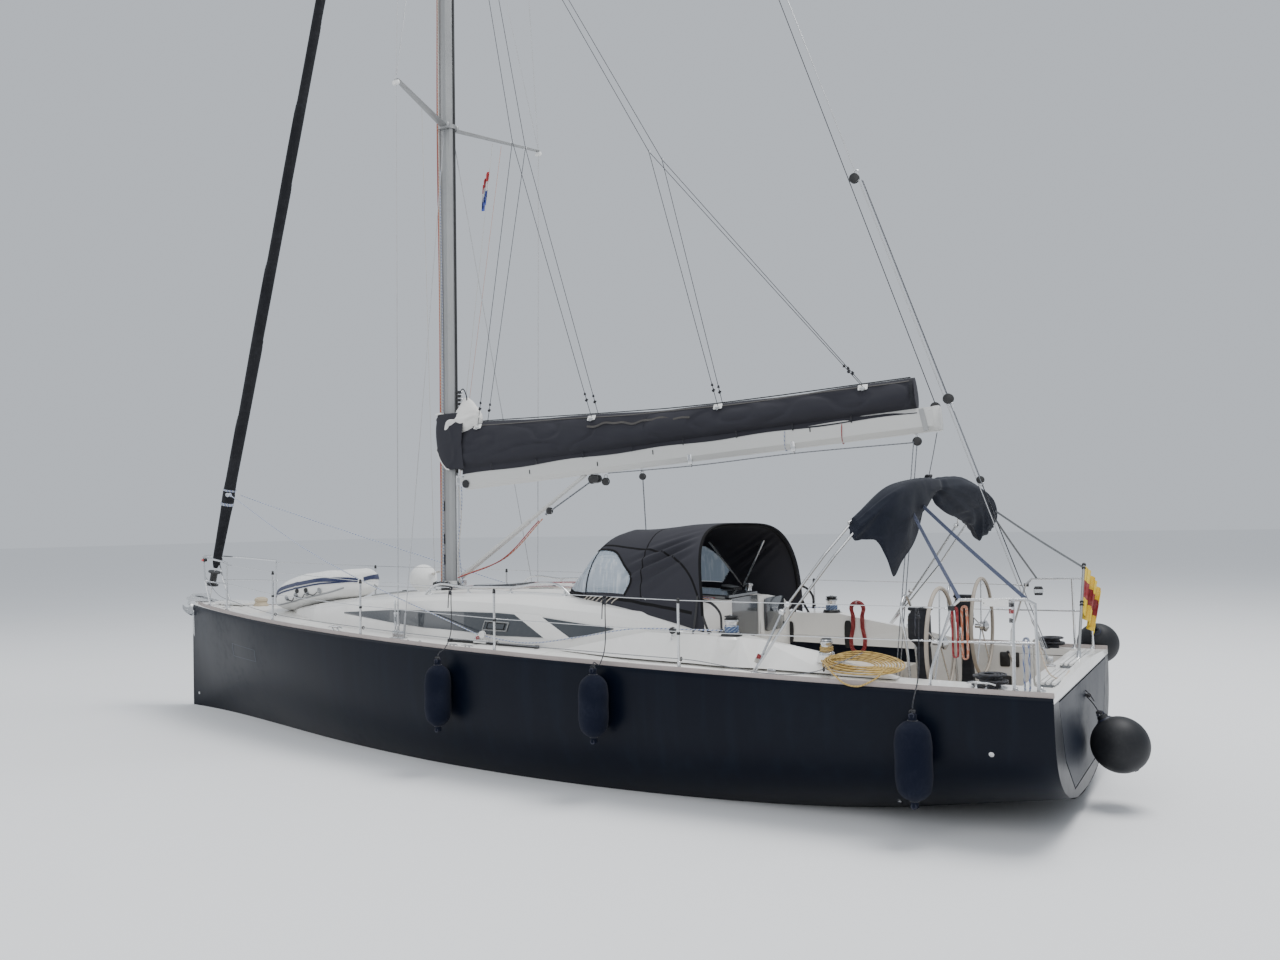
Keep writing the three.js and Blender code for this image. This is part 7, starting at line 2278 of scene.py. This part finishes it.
            z = np.linspace(1.82, 2.98, 40)
            path = np.stack([0.98 + 0.02 * np.sin(z * 5 + dy * 60), dy + 0.012 * np.cos(z * 7 + dy * 60), z], -1)
            lines.append(tube(path, 0.006, finish, 6))
        make_piece("mast_halyards", lines)

    def backstay(self) -> None:
        """The backstay's split, its two blocks, the purchase, its screws and the toggle at the stern."""
        foot, head = np.array([-5.715, 0, 1.17]), np.array([0.626, 0, 19.254])

        def on(z: float) -> Points:
            return foot + (head - foot) * (z - foot[2]) / (head[2] - foot[2])
        parts = placed(block(0.11, BLACK_PLASTIC, STAINLESS), upright(on(5.95) + [-0.02, 0, 0], (0.33, 0, -1)))
        parts += placed(block(0.11, BLACK_PLASTIC, STAINLESS), upright(on(3.54) + [-0.03, 0.0, 0], (0.33, 0, 1)))
        parts += placed(block(0.08, BLACK_PLASTIC, STAINLESS), upright(on(2.79) + [-0.03, 0.0, 0], (0.33, 0, 1)))
        for k, (a, b) in enumerate(((5.84, 3.62), (5.84, 1.9), (3.5, 2.86), (2.8, 1.32))):
            off = np.array([-0.035, 0.016 * (k % 2 * 2 - 1), 0])
            parts.append(rod(on(a) + off, on(b) + off, 0.0045, ROPE_GREY if k else ROPE_BLACK, 6))
        parts += turnbuckle(on(1.22), on(3.0), 0.34, 0.026, STAINLESS)
        parts += placed([slab((0.09, 0.05, 0.012), STAINLESS), slab((0.05, 0.012, 0.1), STAINLESS).moved(z=0.03)],
                        upright(foot + [0, 0, 0.004]))
        make_piece("backstay_purchase", parts, "root")

    def flags(self) -> None:
        """The courtesy flag on its halyard below the starboard spreader, and two more light halyards."""
        lines = []
        for y, finish, top in ((-0.65, ROPE_WHITE, 7.42), (-0.78, ROPE_ORANGE, 7.42), (0.7, ROPE_WHITE, 7.42)):
            start = np.array([self.mast_x - 0.43 * abs(y) / 1.35, y, top])
            end = np.array([1.33, 0.12 * np.sign(y), 1.92 if y < 0 else 1.88])
            lines.append(tube(np.linspace(start, end, 24), 0.0026, finish, 5))
        make_piece("flag_halyards", lines)
        start, end = np.array([0.973, -0.65, 7.42]), np.array([1.33, -0.12, 1.92])
        a, b = (start + (end - start) * f for f in (0.06, 0.13))
        Flag("courtesy_flag", tuple(a), tuple(b), (0.9, 0.25, 0), 0.45, COURTESY, 2.5, 0.45).build()

    def build(self) -> None:
        """Builds all of it."""
        self.headsail()
        self.sheets()
        self.mast_gear()
        self.backstay()
        self.flags()


@dataclass
class Cockpit:
    """The cockpit's lining, its pedestals, wheels, winches, panels, seats and traveller."""

    wheel: Triple = (-4.96, 0.8, 1.425)
    rim: float = 0.47
    pedestal: tuple[tuple[float, ...], ...] = (
        (0.0, 0.078, 0.24, 0.085), (0.3, 0.092, 0.205, 0.056), (0.78, 0.092, 0.2, 0.052), (0.86, 0.084, 0.262, 0.084),
        (1.05, 0.088, 0.268, 0.088), (1.11, 0.11, 0.225, 0.06),
    )
    winch_place: Pair = (-3.215, 1.305)
    aft_winch: Triple = (-4.12, 1.325, 1.345)

    def panel(self, corners: list[Triple], finish: Finish) -> Patch:
        """A flat sheet between four corners, ten points each way."""
        return grid(filled(corners, 10), finish)

    def lining(self) -> None:
        """White moulded faces round the well, so that no topside paint shows inside."""
        own = []
        for y in (1.296, -1.296):
            own.append(self.panel([(-4.21, y, SOLE_TOP), (-5.69, y, SOLE_TOP), (-5.69, y, 1.1), (-4.21, y, 1.13)],
                                  WHITE_GEL))
        for side in (1, -1):
            own.append(self.panel([(-4.205, side * 0.63, SOLE_TOP), (-4.205, side * 1.29, SOLE_TOP),
                                   (-4.205, side * 1.29, 0.94), (-4.205, side * 0.63, 0.94)], BEIGE_GEL))
            own.append(self.panel([(-2.765, side * 0.36, 0.985), (-2.765, side * 1.168, 0.985),
                                   (-2.765, side * 1.168, 1.45), (-2.765, side * 0.36, 1.45)], WHITE_GEL))
            own.append(self.panel([(-2.77, side * 1.172, 0.985), (-4.19, side * 1.172, 0.985),
                                   (-4.19, side * 1.172, 1.2), (-2.77, side * 1.172, 1.2)], WHITE_GEL))
        make_piece("cockpit_lining", own, "root")
        dark = []
        for x0, x1, z0, z1 in ((-5.02, -5.12, 0.97, 1.12), (-5.17, -5.21, 0.97, 1.12), (-5.02, -5.13, 0.76, 0.88)):
            dark.append(slab((x0 - x1, z1 - z0, 0.014), BLACK_PLASTIC, 0.25, 0.2)
                        .placed(upright(((x0 + x1) / 2, -1.286, (z0 + z1) / 2), (0, 1, 0), (1, 0, 0))))
        dark.append(rod((-5.145, -1.285, 1.02), (-5.12, -1.2, 1.13), 0.008, STAINLESS))
        dark.append(ball(0.016, BLACK_PLASTIC, 10).moved(-5.12, -1.2, 1.13))
        for x, high in ((-2.77, 0.24), (-3.445, 0.3)):
            for side in (1, -1):
                dark.append(slab((0.08, high, 0.008), BLACK_RUBBER, 0.5, 0.2)
                            .placed(upright((x, side * 1.168, 1.25), (0, -side, 0), (1, 0, 0))))
        dark.append(slab((0.52, 0.36, 0.02), SMOKED, 0.2, 0.2)
                    .placed(upright((-2.772, -0.72, 1.5), (-1, 0, 0), (0, 1, 0))))
        for y in (0.62, 0.88):
            dark.append(turned([(0, 0.002), (0.05, 0.002), (0.056, 0.008), (0.06, 0.0), (0, -0.002)], BLACK_PLASTIC, 22)
                        .placed(upright((-2.777, y, 1.4), (-1, 0, 0))))
            dark.append(turned([(0, 0.004), (0.046, 0.004), (0, 0.0045)], GREY_PLASTIC, 22)
                        .placed(upright((-2.777, y, 1.4), (-1, 0, 0))))
        make_piece("cockpit_panels", dark)

    def seats(self) -> None:
        """Pale slats on the seats, and the traveller across the sole."""
        slats = []
        for side in (1, -1):
            for k in range(7):
                y = side * (0.68 + 0.066 * k)
                slats.append(slab((1.34, 0.056, 0.012), SLAT_TEAK, 0.15, 0.2, 24).moved(-3.47, y, 0.984))
        make_piece("seat_slats", slats, "root")
        track = [slab((0.05, 1.18, 0.028), BLACK_PLASTIC, 0.15, 0.2).moved(-4.3, 0, 0.618),
                 slab((0.09, 0.13, 0.04), GREY_PLASTIC, 0.3).moved(-4.3, -0.12, 0.65)]
        track += placed(block(0.09, BLACK_PLASTIC, STAINLESS), upright((-4.3, -0.12, 0.665)))
        for side in (1, -1):
            track += [slab((0.07, 0.05, 0.05), BLACK_PLASTIC).moved(-4.3, side * 0.59, 0.63)]
        make_piece("mainsheet_traveller", track)

    def pedestals(self) -> None:
        """The covers over the two pedestals: soft cloth over a post that widens at its head, creased and tied."""
        x0, y0, _ = self.wheel
        table = np.array(self.pedestal)[::-1]
        for side, word in ((1, "port"), (-1, "starboard")):
            s, t = np.meshgrid(np.linspace(0, 1, 90), np.arange(64) / 64, indexing="ij")
            z = 1.11 * s
            aft, fore, half = (line_table(table, c, z) for c in (1, 2, 3))
            a = 2 * np.pi * t
            u, v = (np.sign(w) * np.abs(w) ** 0.62 for w in (np.cos(a), np.sin(a)))
            points = np.stack([x0 + (fore + aft) / 2 + (fore - aft) / 2 * u * 1.03,
                               side * y0 + half * 1.06 * v, 0.602 + z], -1)
            own = (0.003 + 0.006 * np.sin(np.pi * s)) * waves(points * [1, 1, 0.8], 0.28, 61) + 0.007 * creases(
                points * [1.2, 1.2, 0.7], 0.5, 63)
            tied = 1 - 0.1 * np.exp(-((z - 0.8) / 0.02) ** 2)
            middle = np.array([x0 + 0.155, side * y0, 0.0])
            points[..., :2] = middle[:2] + (points[..., :2] - middle[:2]) * (tied + own / 0.08)[..., None]
            points[..., 2] += 0.012 * np.clip(s - 0.92, 0, 1) * 10
            parts = [grid(points, COVER_CLOTH, wrap=True, caps=(True, True)),
                     grid(points[[0, 2, 4]] + [0, 0, 0.001], WEB_BLACK, wrap=True)]
            head = np.array([x0 + 0.17, side * y0, 1.715])
            parts.append(slab((0.2, 0.15, 0.03), COVER_CLOTH, 0.4, 0.4).moved(*head))
            hoop = through([(x0 + 0.22, side * y0 - 0.13, 0.62), (x0 + 0.25, side * y0 - 0.13, 1.3),
                            (x0 + 0.3, side * y0 - 0.1, 1.78), (x0 + 0.3, side * y0, 1.83),
                            (x0 + 0.3, side * y0 + 0.1, 1.78), (x0 + 0.25, side * y0 + 0.13, 1.3),
                            (x0 + 0.22, side * y0 + 0.13, 0.62)], 70)
            parts.append(tube(hoop, POLE_RADIUS, STAINLESS, 10))
            make_piece(f"{word}_pedestal_cover", parts, "root", (f"{word}_pedestal",), 60)

    def wheels(self) -> None:
        """The rims' leather, stitched inside, the hubs and their nuts. They turn with the wheels."""
        for side, word in ((1, "port"), (-1, "starboard")):
            a = np.linspace(0, 2 * np.pi, 121)
            path = np.stack([0 * a, self.rim * np.cos(a), self.rim * np.sin(a)], -1)
            path[-1] = path[0]
            parts = [tube(path, 0.0175, RIM_LEATHER, 14)]
            seam = path * (self.rim - 0.0185) / self.rim
            parts.append(tube(seam, 0.0018, BLACK_RUBBER, 5))
            hub = [(0, -0.012), (0.052, -0.012), (0.056, 0.01), (0.036, 0.024), (0.02, 0.034), (0, 0.036)]
            parts.append(turned(hub, STAINLESS, 24).placed(upright((-0.03, 0, 0), (-1, 0, 0))))
            parts.append(ring(0.05, 0.006, BLACK_RUBBER, 28, 8).placed(upright((-0.028, 0, 0), (1, 0, 0))))
            place = np.eye(4)
            place[:3, 3] = (self.wheel[0], side * self.wheel[1], self.wheel[2])
            make_piece(f"{word}_wheel_leather", placed(parts, place), f"{word}_helm")

    def winches(self) -> None:
        """The primary winches' jaws and pods with the sheets' turns, and the smaller winches aft of them."""
        x, y = self.winch_place
        for side, word in ((1, "port"), (-1, "starboard")):
            jaws = [(0, 0.14), (0.05, 0.14), (0.068, 0.146), (0.068, 0.152), (0.05, 0.158), (0.05, 0.164),
                    (0.064, 0.168), (0.06, 0.178), (0.02, 0.184), (0, 0.184)]
            cap = [(0.0, 0.186), (0.018, 0.186), (0.016, 0.19), (0, 0.19)]
            parts = placed([turned(jaws, BLACK_PLASTIC, 30), turned(cap, STAINLESS, 16)],
                           upright((x, side * y, COAMING_TOP)))
            parts.append(lashing((x, side * y, 1.508), (0, 0, 1), 0.061, 4, 0.012, ROPE_SHEET))
            pod = [(0, -0.2), (0.085, -0.2), (0.112, -0.15), (0.122, -0.08), (0.118, -0.02), (0.1, 0.0), (0, 0.0)]
            parts += placed([turned(pod, WHITE_GEL, 40)], upright((x, side * (y + 0.035), COAMING_TOP)))
            parts += placed([turned([(0, -0.002), (0.098, -0.002), (0.098, 0.006), (0.088, 0.03), (0, 0.03)],
                                    BLACK_PLASTIC, 36)], upright((x, side * y, COAMING_TOP)))
            make_piece(f"{word}_winch_gear", parts)
        own = []
        drum = [(0, 0), (0.07, 0), (0.068, 0.02), (0.05, 0.032), (0.044, 0.075), (0.052, 0.1), (0.054, 0.104),
                (0.054, 0.112), (0.04, 0.118), (0.052, 0.124), (0.048, 0.132), (0, 0.136)]
        own += placed([turned(drum, STAINLESS, 28), turned([(0, 0.132), (0.045, 0.132), (0.04, 0.14), (0, 0.142)],
                                                          BLACK_PLASTIC, 24)], upright(self.aft_winch))
        own.append(lashing(np.array(self.aft_winch) + [0, 0, 0.035], (0, 0, 1), 0.053, 3, 0.012, ROPE_YELLOW))
        own += placed([turned([(0, -0.06), (0.085, -0.06), (0.075, -0.02), (0.07, 0.001), (0, 0.001)], WHITE_GEL, 28)],
                      upright(self.aft_winch))
        make_piece("aft_coaming_winches", both_sides(own))

    def build(self) -> None:
        """Builds all of it."""
        self.lining()
        self.seats()
        self.pedestals()
        self.wheels()
        self.winches()


@dataclass
class NodeFinishes:
    """The finish of each solid that shows itself, by the words that its name ends in."""

    table: tuple[tuple[str, Finish], ...] = (
        ("toe_rail", TOE_ALLOY), ("hull", NAVY_PAINT), ("deck", WHITE_GEL), ("coachroof", WHITE_GEL),
        ("side_window", SMOKED), ("saloon_hatch", SMOKED), ("anchor_locker_lid", WHITE_GEL),
        ("companionway_hatch", SMOKED), ("washboard", SMOKED), ("cockpit_sole", SOLE_PLANKS),
        ("cockpit_seat", BEIGE_GEL), ("coaming", WHITE_GEL), ("transom_locker", WHITE_GEL),
        ("transom_platform", NAVY_PANEL), ("keel", CAST_KEEL), ("rudder", ANTIFOUL), ("saildrive_leg", CAST_KEEL),
        ("propeller", BRONZE), ("mast", SPAR_ALLOY), ("spreaders", SPAR_ALLOY), ("shroud", WIRE), ("backstay", WIRE),
        ("furler_drum", BLACK_PLASTIC), ("stem_fitting", STAINLESS), ("gooseneck", STAINLESS), ("boom", BOOM_PAINT),
        ("vang", BOOM_PAINT), ("pulpit", STAINLESS), ("pushpit", STAINLESS), ("guardrail", STAINLESS),
        ("wheel", STAINLESS), ("bimini_frame", STAINLESS), ("winch", STAINLESS),
    )

    def soften(self, node: bpy.types.Object) -> None:
        """Rounds a node's shading: smooth faces, with sharp edges only where they turn by more than 32 degrees."""
        name = "soft_shading"
        tree = bpy.data.node_groups.get(name)
        if tree is None:
            tree = bpy.data.node_groups.new(name, "GeometryNodeTree")
            for way in ("INPUT", "OUTPUT"):
                tree.interface.new_socket(name="Geometry", in_out=way, socket_type="NodeSocketGeometry")
            given, out = tree.nodes.new("NodeGroupInput"), tree.nodes.new("NodeGroupOutput")
            faces = tree.nodes.new("GeometryNodeSetShadeSmooth")
            edges = tree.nodes.new("GeometryNodeSetShadeSmooth")
            edges.domain = "EDGE"
            edges.inputs["Shade Smooth"].default_value = False
            turn = tree.nodes.new("GeometryNodeInputMeshEdgeAngle")
            sharp = tree.nodes.new("ShaderNodeMath")
            sharp.operation = "GREATER_THAN"
            sharp.inputs[1].default_value = math.radians(32)
            tree.links.new(given.outputs[0], faces.inputs[0])
            tree.links.new(faces.outputs[0], edges.inputs[0])
            tree.links.new(turn.outputs[0], sharp.inputs[0])
            tree.links.new(sharp.outputs[0], edges.inputs["Selection"])
            tree.links.new(edges.outputs[0], out.inputs[0])
        node.modifiers.new(name, "NODES").node_group = tree

    def build(self) -> None:
        """Puts the finish in every slot of every node whose name ends in the words."""
        for name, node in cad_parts.items():
            if node.hide_render:
                continue
            for words, finish in self.table:
                if name.endswith(words):
                    for index in range(len(node.data.materials)):
                        node.data.materials[index] = finish.material()
                    self.soften(node)
                    break
            else:
                LOG.warning("%s keeps its own finish", name)


@dataclass
class SternGear:
    """What the stern carries: the pads, the flagstaff with its ensign, the white board, the rail's bands and lamp."""

    staff: tuple[Triple, Triple] = ((-5.9, -0.34, 1.16), (-5.9, -0.93, 2.03))

    def flagstaff(self) -> None:
        """The grey staff in its socket, the ensign and the ties that hold it."""
        foot, head = (np.array(v) for v in self.staff)
        way = (head - foot) / np.linalg.norm(head - foot)
        parts = [rod(foot, head, 0.0135, SPAR_ALLOY, 12), ball(0.02, BLACK_PLASTIC, 12).moved(*head)]
        socket = [(0, 0), (0.03, 0), (0.026, 0.012), (0.021, 0.02), (0.02, 0.12), (0.014, 0.122), (0, 0.12)]
        parts += placed([turned(socket, STAINLESS, 18)], upright(foot, way))
        for f in (0.99, 0.955, 0.6, 0.57):
            parts.append(lashing(foot + (head - foot) * f, way, 0.016, 3, 0.006, ROPE_BLACK))
        make_piece("flagstaff", parts)
        top, low = foot + (head - foot) * 0.985, foot + (head - foot) * 0.5
        Flag("ensign", tuple(top + [-0.012, 0, 0]), tuple(low + [-0.012, 0, 0]), (-0.86, -0.5, 0), 0.66, ENSIGN, 2.3,
             0.36).build()

    def pads(self) -> None:
        """White slatted pads on grey bases at the stern's edge, and the locker's latches."""
        slats, plain = [], []
        for y0, y1 in ((-1.1, 0.08), (0.42, 1.27)):
            for k in range(4):
                y_mid, length = (y0 + y1) / 2, y1 - y0
                slats.append(slab((0.033, length, 0.024), WHITE_PLASTIC, 0.2, 0.3, 20).moved(-5.815 - 0.041 * k, y_mid,
                                                                                          1.2))
            slats.append(slab((0.165, y1 - y0 - 0.02, 0.03), GREY_PLASTIC).moved(-5.877, (y0 + y1) / 2, 1.176))
            for y in (y0 + 0.1, y1 - 0.1):
                slats.append(slab((0.172, 0.03, 0.03), GREY_PLASTIC).moved(-5.877, y, 1.17))
        make_piece("locker_pads", slats, "root")
        for y in (-0.6, 0.5):
            plain += placed([slab((0.05, 0.09, 0.012), STAINLESS),
                             rod((0, -0.03, 0.01), (0, 0.03, 0.01), 0.006, STAINLESS)],
                            upright((-5.696, y, 1.05), (1, 0, 0)))
        for y in (-0.42, 0.42):
            plain += placed([slab((0.09, 0.05, 0.01), STAINLESS)], upright((-5.9, y, 1.17)))
        make_piece("locker_latches", plain)

    def rail_dress(self) -> None:
        """The white board under the port rail, the bands on its post, the rails' bases and the stern lamp."""
        parts = [slab((0.2, 0.014, 0.055), WHITE_PLASTIC, 0.2, 0.3).placed(upright((-5.585, 1.58, 1.84), (0, 0, 1),
                                                                                (-0.98, 0.08, 0.0)))]
        for x in (-5.5, -5.62):
            parts.append(ring(0.016, 0.004, BLACK_RUBBER, 16, 6).placed(upright((x, 1.562, 1.836), (1, 0, 0))))
        for z, finish in ((1.69, WEB_BLACK), (1.76, ROPE_RED), (1.81, WEB_BLACK)):
            parts.append(lashing((-5.695, 1.53, z), (0, 0, 1), 0.0185, 4, 0.007, finish))
        for side in (1, -1):
            for spot in ((-5.072, 1.6), (-5.706, 1.52), (-5.88, 1.45)):
                parts += placed(flange(0.034, 0.03, POLE_RADIUS, STAINLESS),
                                on_deck(spot[0], side * spot[1], lift=0.002))
            parts.append(slab((0.05, 0.03, 0.035), BLACK_PLASTIC).moved(-5.25, side * 1.575, 1.79))
        lamp = [(0, 0), (0.03, 0), (0.034, 0.05), (0.026, 0.066), (0, 0.068)]
        parts += placed([turned(lamp, BLACK_PLASTIC, 18), turned([(0, 0.02), (0.036, 0.02), (0.036, 0.046), (0, 0.046)],
                                                                LENS_CLEAR, 18)], upright((-5.89, 1.5, 1.9)))
        make_piece("stern_rail_dress", parts)

    def build(self) -> None:
        """Builds all of it."""
        self.flagstaff()
        self.pads()
        self.rail_dress()


@dataclass
class RailGear:
    """The bases, screws and lamps of the pulpit, the stanchions and the guardrails."""

    stanchions: tuple[float, ...] = (3.3, 1.35, -0.75, -2.87)

    def build(self) -> None:
        """Builds it."""
        bases = []
        for x in self.stanchions:
            y = HULL.edge(x) - 0.084
            bases += placed(flange(0.036, 0.075, POLE_RADIUS, STAINLESS), on_deck(x, y, lift=0.004))
            bases += placed([slab((0.1, 0.06, 0.008), STAINLESS, 0.4)], on_deck(x, y, lift=0.006))
            for rise in (0.33, 0.608):
                z = HULL.rim(x) + rise
                sleeve = [(0.013, -0.012), (0.0165, -0.012), (0.0165, 0.012), (0.013, 0.012)]
                bases.append(turned(sleeve, BLACK_PLASTIC, 14).moved(x, y, z))
            bases.append(ball(0.015, BLACK_PLASTIC, 10).moved(x, y, HULL.rim(x) + 0.63))
        for x, y in ((4.76, HULL.wire(4.76)), (5.42, HULL.edge(5.42) - 0.06)):
            bases += placed(flange(0.034, 0.03, POLE_RADIUS, STAINLESS), on_deck(x, y, lift=0.002))
        for foot, head in (((-5.21, 1.562, 1.786), (-2.87, 1.666, 1.82)), ((-5.12, 1.57, 1.53), (-2.87, 1.666, 1.55)),
                           ((4.74, HULL.wire(4.76), 2.03), (3.3, 0.99, 2.0))):
            bases += turnbuckle(foot, head, 0.15, 0.013, STAINLESS)
        make_piece("rail_bases_and_screws", both_sides(bases), "root")
        lamps = []
        for side, lens in ((1, LENS_RED), (-1, LENS_GREEN)):
            lamps.append(slab((0.06, 0.045, 0.05), BLACK_PLASTIC, 0.4, 0.3).moved(5.6, side * 0.13, 2.085))
            lamps.append(slab((0.045, 0.02, 0.034), lens, 0.5, 0.3).moved(5.612, side * 0.155, 2.085))
        make_piece("bow_lamps", lamps)


def main() -> None:
    """Builds the yacht's dress piece by piece."""
    logging.basicConfig(level=logging.INFO, format="%(message)s")
    Studio().build()
    Ropework().build()
    for maker in (HullTrim(), DeckGear(), SailBag(), BoomGear(), Rig(), Sprayhood(), Bimini(), Dinghy(), Cockpit(),
                  SternGear(), RailGear()):
        LOG.info("building %s", type(maker).__name__)
        maker.build()
    build_fenders()
    NodeFinishes().build()


if __name__ == "__main__":
    main()
